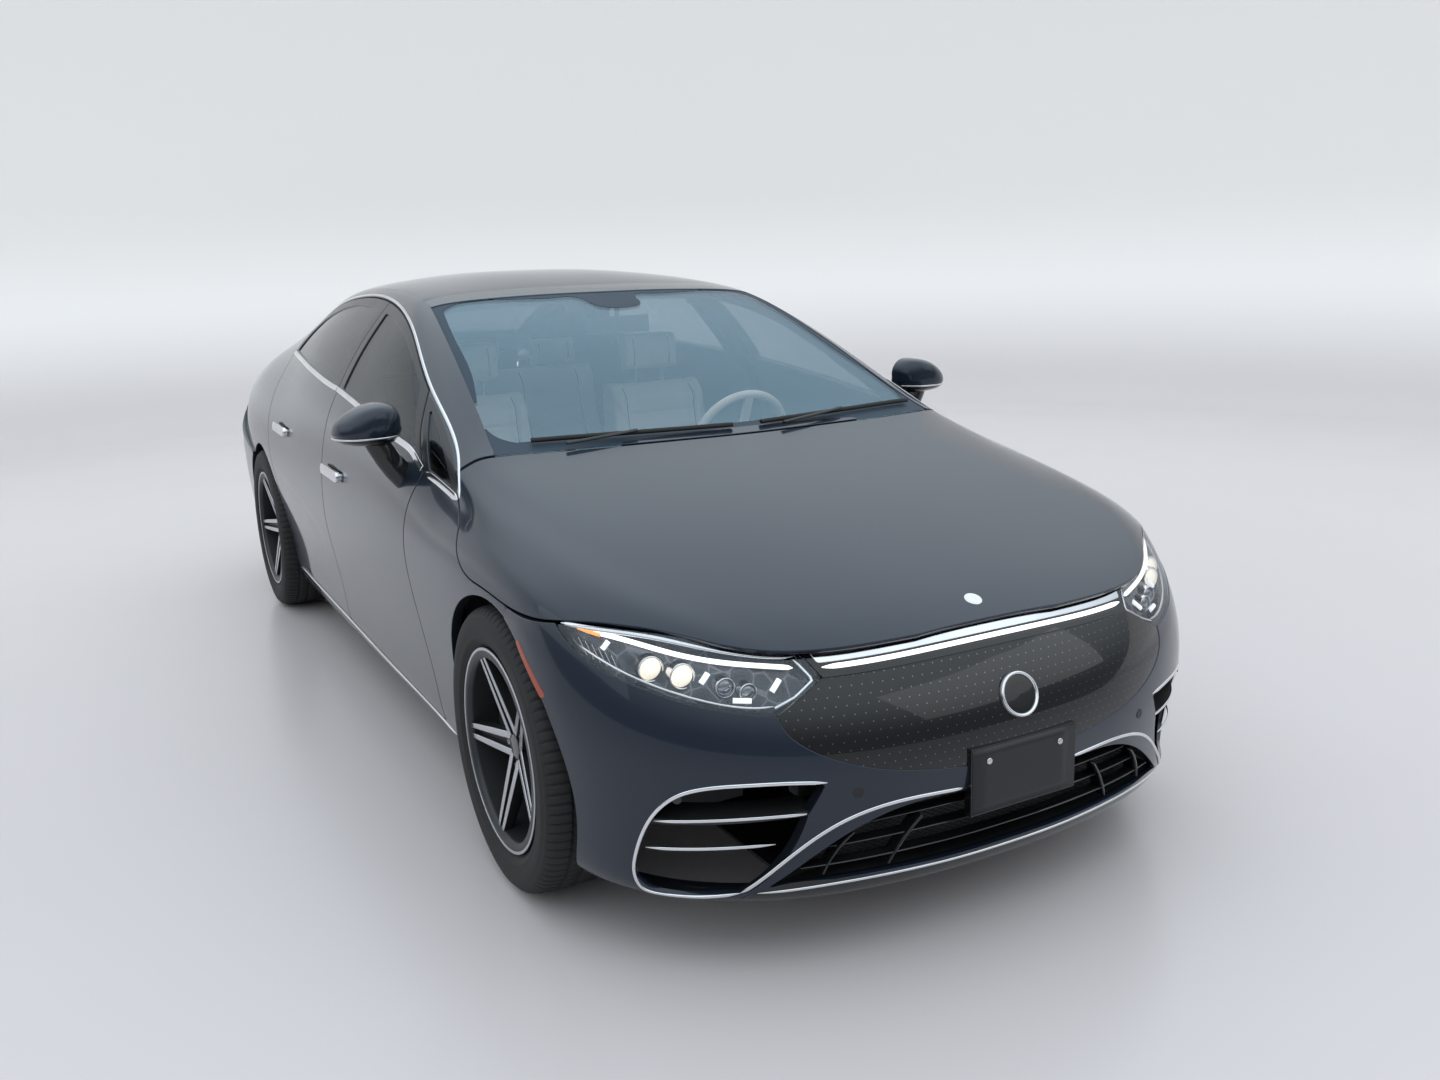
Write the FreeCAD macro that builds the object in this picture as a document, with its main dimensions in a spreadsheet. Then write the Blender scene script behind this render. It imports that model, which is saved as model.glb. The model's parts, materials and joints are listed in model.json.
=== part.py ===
import FreeCAD, Part
import math
import os

V = FreeCAD.Vector
doc = FreeCAD.newDocument("car")

# Driving dimensions in millimetres and degrees, one spreadsheet row each
SIZES = [
    ("body_length", 5216), ("body_width", 1934), ("body_height", 1514),
    ("wheelbase_length", 3210), ("front_overhang", 876), ("front_track", 1667), ("rear_track", 1682),
    ("tyre_radius", 369), ("tyre_width", 255), ("rim_radius", 262), ("rim_flange", 9),
    ("spoke_depth", 34), ("spoke_count", 5), ("hub_radius", 78), ("disc_radius", 183), ("disc_thickness", 32),
    ("arch_radius", 398), ("liner_radius", 438), ("liner_wall", 4),
    ("shut_gap", 6), ("cowl_gap", 8), ("hatch_gap", 12), ("seat_clearance", 0.3),
    ("hood_thickness", 26), ("bumper_thickness", 26), ("quarter_thickness", 36),
    ("glass_thickness", 5), ("glass_depth", 3), ("roof_thickness", 34),
    ("lamp_thickness", 60), ("grille_thickness", 20),
    ("hinge_pin_radius", 6), ("pin_clearance", 0.08), ("hinge_height", 24), ("hood_pin_radius", 7),
    ("floor_height", 300), ("floor_thickness", 26), ("underbody_height", 150), ("underbody_thickness", 8),
    ("battery_width", 1300), ("battery_length", 2060),
    ("rocker_inner", 740), ("rocker_outer", 838), ("rocker_top", 300), ("rocker_base", 186),
    ("kingpin_offset", 80), ("knuckle_post_radius", 26), ("knuckle_post_height", 112), ("spindle_radius", 20),
    ("arm_thickness", 18), ("strut_radius", 28), ("plate_width", 310), ("plate_height", 160),
    ("plate_bolt_spacing", 210), ("plate_bolt_radius", 3.5),
    ("steering_wheel_radius", 182), ("steering_rim_radius", 15), ("seat_width", 520), ("bench_width", 1240),
]
sheet = doc.addObject("Spreadsheet::Sheet", "sizes")
for row, (alias, value) in enumerate(SIZES, start=1):
    sheet.set("A%d" % row, alias)
    sheet.set("B%d" % row, str(value))
    sheet.setAlias("B%d" % row, alias)
doc.recompute()


class Sizes:
    """The spreadsheet's cells as attributes."""


size = Sizes()
for alias, value in SIZES:
    setattr(size, alias, float(getattr(sheet, alias)))

# The curves below are real sizes of a car of this length, width and height, and stretch with them
CURVE_LENGTH, CURVE_WIDTH, CURVE_HEIGHT = 5216.0, 1934.0, 1514.0
kx = size.body_width / CURVE_WIDTH
ky = size.body_length / CURVE_LENGTH
kz = size.body_height / CURVE_HEIGHT

FRONT_AXLE = -size.body_length / 2 + size.front_overhang
REAR_AXLE = FRONT_AXLE + size.wheelbase_length
FAR = 4000.0


def spline(knots, at):
    """Smooth curve through (place, value) knots, carried on in a straight line past its ends."""
    places = [k[0] for k in knots]
    values = [k[1] for k in knots]
    last = len(knots) - 1
    rise = [(values[i + 1] - values[i]) / (places[i + 1] - places[i]) for i in range(last)]
    if at <= places[0]:
        return values[0] + rise[0] * (at - places[0])
    if at >= places[-1]:
        return values[-1] + rise[-1] * (at - places[-1])
    slope = [rise[0]]
    for i in range(1, last):
        before, after = places[i] - places[i - 1], places[i + 1] - places[i]
        slope.append((rise[i - 1] * after + rise[i] * before) / (before + after))
    slope.append(rise[-1])
    i = max(j for j in range(last) if places[j] <= at)
    step = places[i + 1] - places[i]
    s = (at - places[i]) / step
    return ((2 * s**3 - 3 * s * s + 1) * values[i] + (s**3 - 2 * s * s + s) * step * slope[i]
            + (3 * s * s - 2 * s**3) * values[i + 1] + (s**3 - s * s) * step * slope[i + 1])


# Body sides and top: cross-sections along the car, front to rear, as (place along the car, size)
STATIONS = [-2640, -2540, -2440, -2320, -2180, -2020, -1860, -1700, -1550, -1420, -1330, -1250, -1150,
            -1000, -820, -620, -430, -260, -60, 200, 480, 760, 1020, 1260, 1480, 1680, 1860, 2030,
            2190, 2330, 2440, 2520]
CENTRE_Z = [(-2640, 660), (-2540, 715), (-2440, 762), (-2320, 806), (-2180, 850), (-2020, 896),
            (-1860, 938), (-1700, 976), (-1550, 1010), (-1400, 1045), (-1300, 1075), (-1100, 1170),
            (-900, 1262), (-700, 1340), (-500, 1402), (-322, 1444), (-150, 1474), (50, 1502), (300, 1519),
            (550, 1520), (800, 1508), (1050, 1483), (1300, 1443), (1500, 1392), (1700, 1338), (1900, 1275),
            (2100, 1206), (2300, 1138), (2440, 1098), (2560, 1080)]
RAIL_X = [(-2640, 270), (-2450, 390), (-2300, 490), (-2100, 590), (-1900, 655), (-1700, 705), (-1500, 745),
          (-1284, 768), (-1100, 752), (-900, 725), (-700, 695), (-500, 660), (-346, 634), (-100, 610),
          (200, 598), (600, 592), (1000, 580), (1300, 562), (1500, 548), (1700, 540), (1900, 545),
          (2100, 560), (2300, 572), (2520, 560)]
RAIL_Z = [(-2640, 640), (-2450, 745), (-2300, 795), (-2100, 850), (-1900, 903), (-1700, 948), (-1500, 990),
          (-1284, 1040), (-1100, 1110), (-900, 1203), (-700, 1290), (-500, 1368), (-346, 1422),
          (-100, 1456), (200, 1474), (600, 1474), (1000, 1448), (1300, 1405), (1500, 1362), (1700, 1305),
          (1900, 1240), (2100, 1172), (2300, 1106), (2520, 1046)]
BELT_X = [(-2640, 420), (-2450, 590), (-2300, 728), (-2200, 800), (-2100, 852), (-1900, 890), (-1700, 898),
          (-1500, 896), (-1290, 882), (-900, 892), (-200, 892), (600, 872), (1300, 805), (1700, 790),
          (2000, 800), (2200, 788), (2330, 752), (2440, 700), (2520, 640)]
BELT_Z = [(-2640, 600), (-2450, 690), (-2300, 755), (-2100, 812), (-1900, 850), (-1700, 880), (-1500, 900),
          (-1290, 925), (-900, 1010), (-200, 1088), (600, 1130), (1300, 1152), (1700, 1130), (2000, 1088),
          (2300, 1036), (2520, 996)]
SHOULDER_X = [(-2640, 500), (-2450, 670), (-2300, 795), (-2200, 862), (-2100, 905), (-1900, 940),
              (-1700, 950), (-1000, 956), (0, 958), (1000, 955), (1500, 948), (1800, 936), (2000, 918),
              (2200, 880), (2330, 832), (2440, 764), (2520, 690)]
SHOULDER_Z = [(-2640, 590), (-2450, 640), (-2300, 690), (-2100, 745), (-1900, 780), (-1700, 800),
              (-1000, 838), (0, 865), (1000, 905), (1500, 930), (1900, 930), (2520, 890)]
MAX_X = [(-2640, 560), (-2450, 720), (-2300, 835), (-2200, 888), (-2100, 925), (-1900, 955), (-1700, 962),
         (-1000, 966), (0, 967), (1000, 967), (1500, 966), (1800, 957), (2000, 944), (2200, 908),
         (2330, 860), (2440, 790), (2520, 712)]
MAX_Z = [(-2640, 560), (-1900, 690), (-1700, 700), (0, 660), (1500, 720), (2520, 760)]


def section(y):
    """Poles (x, z) of the half cross-section at y, from under the sill up to the centre line."""
    top = spline(CENTRE_Z, y)
    rail_x, rail_z = spline(RAIL_X, y), spline(RAIL_Z, y)
    belt_x, belt_z = spline(BELT_X, y), spline(BELT_Z, y)
    side_x, side_z = spline(MAX_X, y), spline(MAX_Z, y)
    shoulder_x, shoulder_z = spline(SHOULDER_X, y), spline(SHOULDER_Z, y)
    # 1 beside the cabin, fading to 0 over the front and rear wings
    cabin = max(0.0, min(1.0, (y + 1330) / 500.0)) * max(0.0, min(1.0, (2100 - y) / 700.0))
    outer_x = rail_x + 0.40 * (1 - cabin) * (belt_x - rail_x) + 52 * cabin
    outer_z = rail_z + 0.24 * (1 - cabin) * (belt_z - rail_z) - 48 * cabin
    glass_x = 0.5 * (outer_x + belt_x) + 22 * cabin + 14 * (1 - cabin)
    glass_z = 0.5 * (outer_z + belt_z) + 10 * (1 - cabin)
    return [(side_x - 130, 165), (side_x - 62, 175), (side_x - 52, 330), (side_x - 30, 490),
            (side_x + 2, side_z), (shoulder_x, shoulder_z),
            (belt_x + 0.42 * (shoulder_x - belt_x) + 12, belt_z - 0.38 * (belt_z - shoulder_z)),
            (belt_x, belt_z), (glass_x, glass_z), (outer_x, outer_z), (rail_x, rail_z),
            (0.62 * rail_x, top - 0.30 * (top - rail_z)), (0.30 * rail_x, top), (0, top)]


# Nose and tail: rings of plan curves |x/w|^n + |y/l|^n = 1 that wrap round the end of the car, bottom to
# top, each as (height at the centre, height at the side, end of the car, half width, exponent n)
NOSE_JOIN = -1900
NOSE_RINGS = [(152, 165, -2470, 850, 2.5), (158, 172, -2535, 905, 2.5), (200, 215, -2560, 925, 2.5),
              (275, 300, -2574, 930, 2.45), (350, 385, -2590, 938, 2.4), (430, 470, -2606, 948, 2.35),
              (510, 550, -2606, 956, 2.3), (590, 620, -2586, 958, 2.25), (660, 690, -2540, 956, 2.2),
              (722, 745, -2484, 950, 2.18), (775, 790, -2425, 938, 2.15), (815, 835, -2370, 915, 2.15)]
TAIL_JOIN = 1900
TAIL_RINGS = [(165, 172, 2440, 850, 2.7), (172, 178, 2500, 900, 2.7), (225, 232, 2540, 918, 2.7),
              (310, 316, 2576, 930, 2.7), (410, 414, 2592, 942, 2.7), (520, 520, 2600, 952, 2.7),
              (630, 628, 2600, 958, 2.7), (730, 728, 2592, 960, 2.7), (820, 818, 2566, 956, 2.7),
              (905, 898, 2534, 946, 2.7), (990, 965, 2506, 924, 2.7), (1062, 1020, 2484, 880, 2.7)]
RING_ANGLES = [0, 5, 14, 24, 35, 46, 57, 67, 76, 84, 90]


def ring_columns(rings, join, beyond):
    """Half net of an end of the car: one column of poles per angle from the centre line to the side."""
    columns = []
    for angle in RING_ANGLES:
        s, c = math.sin(math.radians(angle)), math.cos(math.radians(angle))
        column = []
        for centre_z, side_z, end, half, n in rings:
            x = half * s ** (2.0 / n) if angle > 0 else 0.0
            y = join + (end - join) * (c ** (2.0 / n) if angle < 90 else 0.0)
            column.append((x, y, centre_z + (side_z - centre_z) * s * s))
        columns.append(column)
    columns[1] = [(p[0], q[1], q[2]) for p, q in zip(columns[1], columns[0])]
    for y in beyond:
        columns.append([(half + 4, y, side_z) for centre_z, side_z, end, half, n in rings])
    return columns


def stretched(net):
    """A net of poles as vectors, stretched with the car's driving dimensions."""
    return [[V(x * kx, y * ky, z * kz) for x, y, z in line] for line in net]


def mirrored(line):
    return [V(-p.x, p.y, p.z) for p in line]


half_body = stretched([[(x, y, z) for x, z in section(y)] for y in STATIONS])
whole_body = [line + mirrored(line)[-2::-1] for line in half_body]
nose_half = stretched(ring_columns(NOSE_RINGS, NOSE_JOIN, (-1800, -1680)))
nose = [mirrored(line) for line in nose_half[:0:-1]] + nose_half
tail_half = stretched(ring_columns(TAIL_RINGS, TAIL_JOIN, (1780, 1640)))
tail = tail_half[:0:-1] + [mirrored(line) for line in tail_half]


def bspline(net):
    """Clamped cubic surface with even knots over a net of poles."""
    def knots(n):
        return [i / float(n - 3) for i in range(n - 2)]

    def mults(n):
        return [4] + [1] * (n - 4) + [4]

    rows, columns = len(net), len(net[0])
    surface = Part.BSplineSurface()
    surface.buildFromPolesMultsKnots(net, mults(rows), mults(columns), knots(rows), knots(columns),
                                     False, False, 3, 3)
    return surface


def sunk(net, depth):
    """The net moved inwards, along its own normals, by depth(line, column)."""
    rows, columns = len(net), len(net[0])
    result = []
    for i in range(rows):
        line = []
        for j in range(columns):
            along = net[min(i + 1, rows - 1)][j] - net[max(i - 1, 0)][j]
            across = net[i][min(j + 1, columns - 1)] - net[i][max(j - 1, 0)]
            normal = along.cross(across)
            normal.normalize()
            line.append(net[i][j] - normal * depth(i, j))
        result.append(line)
    return result


def slab(net, outer_depth, inner_depth, along=(0.0, 1.0), across=(0.0, 1.0)):
    """Closed solid between two depths under a net, each a function of its line and column.

    along and across are the stretch of the surface that is kept, as shares of its parameters.
    """
    outer = bspline(sunk(net, outer_depth))
    inner = bspline(sunk(net, inner_depth))
    for surface in (outer, inner):
        if along != (0.0, 1.0) or across != (0.0, 1.0):
            surface.segment(along[0], along[1], across[0], across[1])
    faces = [outer.toShape(), inner.toShape()]
    for curves in ([s.uIso(along[0]) for s in (outer, inner)], [s.uIso(along[1]) for s in (outer, inner)],
                   [s.vIso(across[0]) for s in (outer, inner)], [s.vIso(across[1]) for s in (outer, inner)]):
        faces.append(Part.makeRuledSurface(curves[0].toShape(), curves[1].toShape()))
    shell = Part.makeShell(faces)
    shell.sewShape()
    solid = Part.makeSolid(shell)
    if solid.Volume < 0:
        solid.reverse()
    return solid


def even(depth):
    return lambda i, j: depth


# Depth of a wall at each pole of the half section, sill to centre line
DOOR_DEPTH = [25, 35, 50, 70, 80, 80, 70, 50, 36, 34, 34, 34, 34, 34]
FRAME_DEPTH = [60, 70, 80, 80, 80, 80, 66, 56, 56, 56, 56, 46, 40, 40]
POST_GAP, POST_DEPTH = 8, 56


def by_row(depths, more=0.0):
    """Depth by the pole's place round the section, on the half or the whole body net."""
    return lambda i, j: depths[j if j < len(depths) else 2 * len(depths) - 2 - j] + more


def along_body(front, cabin, rear):
    """Blend a front, cabin and rear depth along the body, changing ahead of and behind the doors."""
    def depth(i, j):
        y = STATIONS[i]
        if y < -1150:
            share = max(0.0, min(1.0, (y + 1330) / 180.0))
            return front(i, j) * (1 - share) + cabin(i, j) * share
        share = max(0.0, min(1.0, (y - 1020) / 400.0))
        return cabin(i, j) * (1 - share) + rear(i, j) * share
    return depth


# Outlines are closed rings of runs; a run of two points is a straight edge and a longer one a smooth curve
def grown(runs, by):
    """The same outline with every point moved outwards by a distance, or inwards if it is negative."""
    points = [p for run in runs for p in run[:-1]]
    count = len(points)
    area = sum(points[i][0] * points[(i + 1) % count][1] - points[(i + 1) % count][0] * points[i][1]
               for i in range(count))
    turn = 1.0 if area > 0 else -1.0
    moved = []
    for i in range(count):
        before, here, after = points[i - 1], points[i], points[(i + 1) % count]
        normals = []
        for a, b in ((before, here), (here, after)):
            length = math.hypot(b[0] - a[0], b[1] - a[1])
            normals.append(((b[1] - a[1]) / length * turn, (a[0] - b[0]) / length * turn))
        mid = (normals[0][0] + normals[1][0], normals[0][1] + normals[1][1])
        scale = 2.0 / max(mid[0] ** 2 + mid[1] ** 2, 0.5)
        moved.append((here[0] + mid[0] * scale * by, here[1] + mid[1] * scale * by))
    result, at = [], 0
    for run in runs:
        result.append([moved[(at + k) % count] for k in range(len(run))])
        at += len(run) - 1
    return result


def prism(runs, axis, low, high):
    """Solid of an outline seen along an axis, between two places on that axis."""
    def place(a, b, at=low):
        if axis == "x":
            return V(at, a * ky, b * kz)
        if axis == "y":
            return V(a * kx, at, b * kz)
        return V(a * kx, b * ky, at)

    edges = []
    for run in runs:
        points = [place(*p) for p in run]
        if len(points) == 2:
            edges.append(Part.LineSegment(points[0], points[1]).toShape())
        else:
            curve = Part.BSplineCurve()
            curve.interpolate(points)
            edges.append(curve.toShape())
    face = Part.Face(Part.Wire(edges))
    reach = high - low
    return face.extrude(V(reach if axis == "x" else 0, reach if axis == "y" else 0,
                          reach if axis == "z" else 0))


def polygon(points):
    """An outline of straight edges."""
    return [[points[i], points[(i + 1) % len(points)]] for i in range(len(points))]


def side(runs):
    return prism(runs, "x", 150.0, FAR)


def front(runs):
    return prism(runs, "y", -FAR, -1700.0)


def rear(runs):
    return prism(runs, "y", 1700.0, FAR)


def plan(runs):
    return prism(runs, "z", 0.0, FAR)


def mirror_x(shape):
    return shape.mirror(V(0, 0, 0), V(1, 0, 0))


def box(x0, x1, y0, y1, z0, z1):
    return Part.makeBox(x1 - x0, y1 - y0, z1 - z0, V(x0, y0, z0))


def cylinder(radius, start, end):
    return Part.makeCylinder(radius, (end - start).Length, start, end - start)


# Lines that several pieces share, seen from the side as (y, z) or from above as (x, y)
HOOD_SIDE = [(-1215, 1006), (-1290, 962), (-1352, 926), (-1440, 884), (-1505, 832), (-1570, 802),
             (-1700, 790), (-1866, 778), (-1950, 775), (-2020, 778), (-2080, 785), (-2139, 789),
             (-2200, 786), (-2256, 778), (-2306, 766), (-2353, 753), (-2402, 741), (-2436, 735),
             (-2462, 734), (-2484, 736)]
DLO_TOP = [(-1344, 928), (-1190, 1012), (-1024, 1088), (-780, 1180), (-560, 1266), (-351, 1340),
           (-150, 1386), (115, 1420), (384, 1432), (640, 1424), (998, 1386), (1150, 1350),
           (1270, 1290), (1345, 1215), (1362, 1172)]
DOOR_FRONT = [(-1100, 240), (-1082, 350), (-1062, 500), (-1046, 610), (-1022, 720), (-1010, 790),
              (-1014, 850), (-1030, 910), (-1040, 974)]
B_SHUT = [(92, 262), (106, 480), (106, 700), (94, 900), (72, 1108), (92, 1260), (115, 1420)]
DOOR_REAR = [(1362, 1172), (1318, 1110), (1268, 1000), (1240, 880), (1200, 750), (1130, 640),
             (1075, 530), (1044, 420), (1034, 286)]
SILL_FRONT, SILL_MID, SILL_REAR = (-1100, 240), (92, 262), (1034, 286)
TOP = 1700


def part_of(line, first, last):
    """The points of a line from one end point to another, both on the line."""
    a, b = line.index(first), line.index(last)
    return line[a:b + 1] if a <= b else line[b:a + 1][::-1]


# Lines that cross the hood, glass and roof from above, as (x, y)
COWL = [(-752, -1276), (-560, -1338), (-300, -1384), (0, -1400), (300, -1384), (560, -1338), (752, -1276)]
HEADER = [(622, -306), (300, -318), (0, -322), (-300, -318), (-622, -306)]
ROOF_Y = 1148
PILLAR_EDGE = [(752, -1276), (700, -900), (658, -560), (622, -306)]
ROOF_EDGE = [(622, -306), (600, 0), (584, 400), (572, 800), (560, ROOF_Y)]
HATCH_EDGE = [(560, ROOF_Y), (556, 1500), (580, 1900), (618, 2250), (640, 2505)]
ROOF_END = [(560, ROOF_Y), (-560, ROOF_Y)]
DECK_END = [(640, 2505), (-640, 2505)]


def across_car(line):
    """The same line on the car's other side, run the other way."""
    return [(-a, b) for a, b in reversed(line)]


windscreen_plan = [COWL, PILLAR_EDGE, HEADER, across_car(PILLAR_EDGE)]
roof_plan = [HEADER[::-1], ROOF_EDGE, ROOF_END, across_car(ROOF_EDGE)]
hatch_plan = [ROOF_END[::-1], HATCH_EDGE, DECK_END, across_car(HATCH_EDGE)]
REAR_GLASS_SIDE = [(500, 1196), (498, 1500), (512, 1800), (530, 2080)]
rear_glass_plan = [[(-500, 1196), (0, 1222), (500, 1196)], REAR_GLASS_SIDE,
                   [(530, 2080), (300, 2160), (0, 2180), (-300, 2160), (-530, 2080)],
                   across_car(REAR_GLASS_SIDE)]
centre_plan = [COWL, PILLAR_EDGE, ROOF_EDGE, HATCH_EDGE, [(640, 2505), (640, 2700)],
               [(640, 2700), (-640, 2700)], [(-640, 2700), (-640, 2505)], across_car(HATCH_EDGE),
               across_car(ROOF_EDGE), across_car(PILLAR_EDGE)]
behind_cowl = [COWL, [(752, -1276), (852, -1228)], [(852, -1228), (905, -1352)], [(905, -1352), (905, -900)],
               [(905, -900), (-905, -900)], [(-905, -900), (-905, -1352)], [(-905, -1352), (-852, -1228)],
               [(-852, -1228), (-752, -1276)]]

# Regions seen from the side, as (y, z)
LAMP_CORNER = (2236, 905)
QUARTER_SEAM = [(1700, 700), (1850, 722), (2050, 772), (2180, 828), LAMP_CORNER]
A_SEAM = [(-1040, 974), (-1352, 926)]
FENDER_SEAM = [(-1866, 778), (-1836, 700), (-1500, 234)]
BAR = [(-1040, 974), (-1012, 992), (-800, 1162), (-780, 1180)]
hood_side = [HOOD_SIDE, [(-2484, 736), (-2484, TOP)], [(-2484, TOP), (-1150, TOP)],
             [(-1150, TOP), (-1215, 1006)]]
body_side_region = [[(-1352, 926), (-1352, TOP)], [(-1352, TOP), (2510, TOP)], [(2510, TOP), (2510, 970)],
                    [(2510, 970), (2290, 960), LAMP_CORNER], QUARTER_SEAM[::-1], [(1700, 700), (1700, 120)],
                    [(1700, 120), (-1500, 120)], [(-1500, 120), (-1500, 234)], [(-1500, 234), SILL_FRONT],
                    DOOR_FRONT, A_SEAM]
fender_region = [[(-1352, 926), (-1352, TOP)], [(-1352, TOP), (-1866, TOP)], [(-1866, TOP), (-1866, 778)],
                 FENDER_SEAM[:2], FENDER_SEAM[1:], [(-1500, 234), SILL_FRONT], DOOR_FRONT, A_SEAM]
bumper_region = [[(-1866, 778), (-1866, TOP)], [(-1866, TOP), (-2700, TOP)], [(-2700, TOP), (-2700, 100)],
                 [(-2700, 100), (-1500, 100)], [(-1500, 100), (-1500, 234)], FENDER_SEAM[1:][::-1],
                 FENDER_SEAM[:2][::-1]]
quarter_region = [[(1500, TOP), (2510, TOP)], [(2510, TOP), (2510, 970)],
                  [(2510, 970), (2290, 960), LAMP_CORNER], QUARTER_SEAM[::-1], [(1700, 700), (1500, 700)],
                  [(1500, 700), (1500, TOP)]]
front_door_side = [DOOR_FRONT, BAR, part_of(DLO_TOP, (-780, 1180), (115, 1420)), B_SHUT[::-1],
                   [SILL_MID, SILL_FRONT]]
rear_door_side = [B_SHUT, part_of(DLO_TOP, (115, 1420), (1362, 1172)), DOOR_REAR, [SILL_REAR, SILL_MID]]
doors_side = [DOOR_FRONT, BAR, part_of(DLO_TOP, (-780, 1180), (1362, 1172)), DOOR_REAR,
              [SILL_REAR, SILL_MID], [SILL_MID, SILL_FRONT]]
front_window = [[(-924, 1028), (-716, 1190)],
                [(-716, 1190), (-520, 1264), (-340, 1320), (-140, 1362), (56, 1386)],
                [(56, 1386), (30, 1250), (14, 1130)], [(14, 1130), (-200, 1112), (-600, 1070), (-924, 1028)]]
rear_window = [[(178, 1392), (420, 1404), (700, 1394), (1000, 1354), (1150, 1316), (1250, 1260),
                (1304, 1190)],
               [(1304, 1190), (900, 1176), (500, 1156), (146, 1136)], [(146, 1136), (160, 1250), (178, 1392)]]
tip_window = [[(-1262, 954), (-1070, 986)], [(-1070, 986), (-856, 1142)],
              [(-856, 1142), (-1020, 1072), (-1160, 1006), (-1262, 954)]]

# Regions of the nose and tail seen from the front or rear, as (x, z), for the car's left side
LAMP_INNER, BAR_LOW, LAMP_LOW = (479, 727), (451, 676), (566, 612)
BAR_BOTTOM = [BAR_LOW, (272, 679), (120, 683), (0, 684), (-120, 683), (-272, 679), (-451, 676)]
headlamp_front = [[(902, 820), (479, 820)], [(479, 820), LAMP_INNER], [LAMP_INNER, BAR_LOW],
                  [BAR_LOW, (513, 642), LAMP_LOW],
                  [LAMP_LOW, (610, 617), (665, 626), (733, 643), (811, 674), (867, 706), (894, 746), (902, 783)],
                  [(902, 783), (902, 820)]]
bar_front = [[(-479, 820), (479, 820)], [(479, 820), LAMP_INNER], [LAMP_INNER, BAR_LOW], BAR_BOTTOM,
             [(-451, 676), (-479, 727)], [(-479, 727), (-479, 820)]]
PANEL_SIDE = [LAMP_LOW, (560, 584), (528, 549), (466, 514), (386, 486), (290, 466), (147, 450), (0, 446)]
panel_front = [BAR_BOTTOM[::-1], [BAR_LOW, (513, 642), LAMP_LOW],
               PANEL_SIDE + [(-a, b) for a, b in PANEL_SIDE[-2::-1]], [(-566, 612), (-513, 642), (-451, 676)]]
side_intake = [[(487, 466), (579, 474), (689, 469), (757, 447), (798, 392), (822, 298), (827, 239),
                (800, 200), (735, 192), (637, 202)], [(637, 202), (560, 290), (522, 395)],
               [(522, 395), (487, 466)]]
INTAKE_TOP = [(600, 214), (533, 268), (433, 339), (334, 380), (140, 394), (0, 396)]
lower_intake = [INTAKE_TOP + [(-a, b) for a, b in INTAKE_TOP[-2::-1]],
                [(-600, 214), (-419, 221), (-197, 219), (0, 219), (197, 219), (419, 221), (600, 214)]]
blades = [polygon([(496, 402), (810, 376), (812, 364), (504, 390)]),
          polygon([(560, 330), (826, 306), (828, 294), (568, 318)])]
tail_lamp = [[(646, 868), (646, 938)], [(646, 938), (760, 944), (880, 950), (1000, 970)],
             [(1000, 970), (1000, 846)], [(1000, 846), (900, 846), (780, 856), (646, 868)]]
tail_bar = [[(-600, 870), (600, 870)], [(600, 870), (600, 936)], [(600, 936), (-600, 936)],
            [(-600, 936), (-600, 870)]]
HATCH_SIDE, HATCH_LOW = 634, 760
hatch_rear = polygon([(-HATCH_SIDE, HATCH_LOW), (HATCH_SIDE, HATCH_LOW), (HATCH_SIDE, TOP),
                      (-HATCH_SIDE, TOP)])

shapes = {}
width_share = bspline(half_body)


def along_at(y):
    """The body surface's parameter at a place along the car."""
    low, high = 0.0, 1.0
    for step in range(30):
        mid = 0.5 * (low + high)
        if width_share.value(mid, 0.5).y < y * ky:
            low = mid
        else:
            high = mid
    return low


frame_depth = along_body(even(size.hood_thickness), by_row(FRAME_DEPTH), even(size.quarter_thickness))
front_span = (along_at(-2620), along_at(-1000))
cabin_span = (along_at(-1400), along_at(1700))
rear_span = (along_at(1000), 1.0)
glass_in = size.glass_depth + size.glass_thickness
hood_wall = slab(whole_body, even(0), even(size.hood_thickness), front_span)
side_wall = slab(half_body, even(0), frame_depth)
fender_wall = slab(half_body, even(0), even(size.hood_thickness), front_span)
door_wall = slab(half_body, even(0), by_row(DOOR_DEPTH), cabin_span)
post_wall = slab(half_body, by_row(DOOR_DEPTH, POST_GAP), by_row(DOOR_DEPTH, POST_GAP + POST_DEPTH), cabin_span)
hinge_post_wall = slab(half_body, even(size.hood_thickness + size.seat_clearance), even(112), cabin_span)
side_glass = slab(half_body, even(size.glass_depth), even(glass_in), cabin_span)
MIDDLE, LID = (0.3, 0.7), (0.2, 0.8)
screen_glass = slab(whole_body, even(size.glass_depth), even(glass_in), (along_at(-1500), along_at(-200)), MIDDLE)
rear_glass_wall = slab(whole_body, even(size.glass_depth), even(glass_in), (along_at(1100), along_at(2300)),
                       MIDDLE)
roof_wall = slab(whole_body, even(0), even(size.roof_thickness), (along_at(-420), along_at(1260)), MIDDLE)
hatch_wall = slab(whole_body, even(0), even(size.quarter_thickness), (along_at(1060), 1.0), LID)
nose_wall = slab(nose, even(0), even(size.bumper_thickness))
tail_wall = slab(tail, even(0), even(size.bumper_thickness))


def prism_x(runs):
    return prism(runs, "x", -FAR, FAR)


def arch(y, radius):
    """Cylinder across the car round an axle."""
    return cylinder(radius, V(-FAR, y, size.tyre_radius), V(FAR, y, size.tyre_radius))


front_arch, rear_arch = arch(FRONT_AXLE, size.arch_radius), arch(REAR_AXLE, size.arch_radius)


# Room that a steered front tyre sweeps round its kingpin
swept_radius = math.hypot(size.kingpin_offset + size.tyre_width / 2 - 22, size.tyre_radius - 7) + 6
steering_room = Part.makeSphere(swept_radius, V(size.front_track / 2 - size.kingpin_offset, FRONT_AXLE,
                                                size.tyre_radius))


def both(name, left):
    """Give a shape on the car's left to two nodes, one each side."""
    shapes[name + "_left"] = left
    shapes[name + "_right"] = mirror_x(left)


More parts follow.
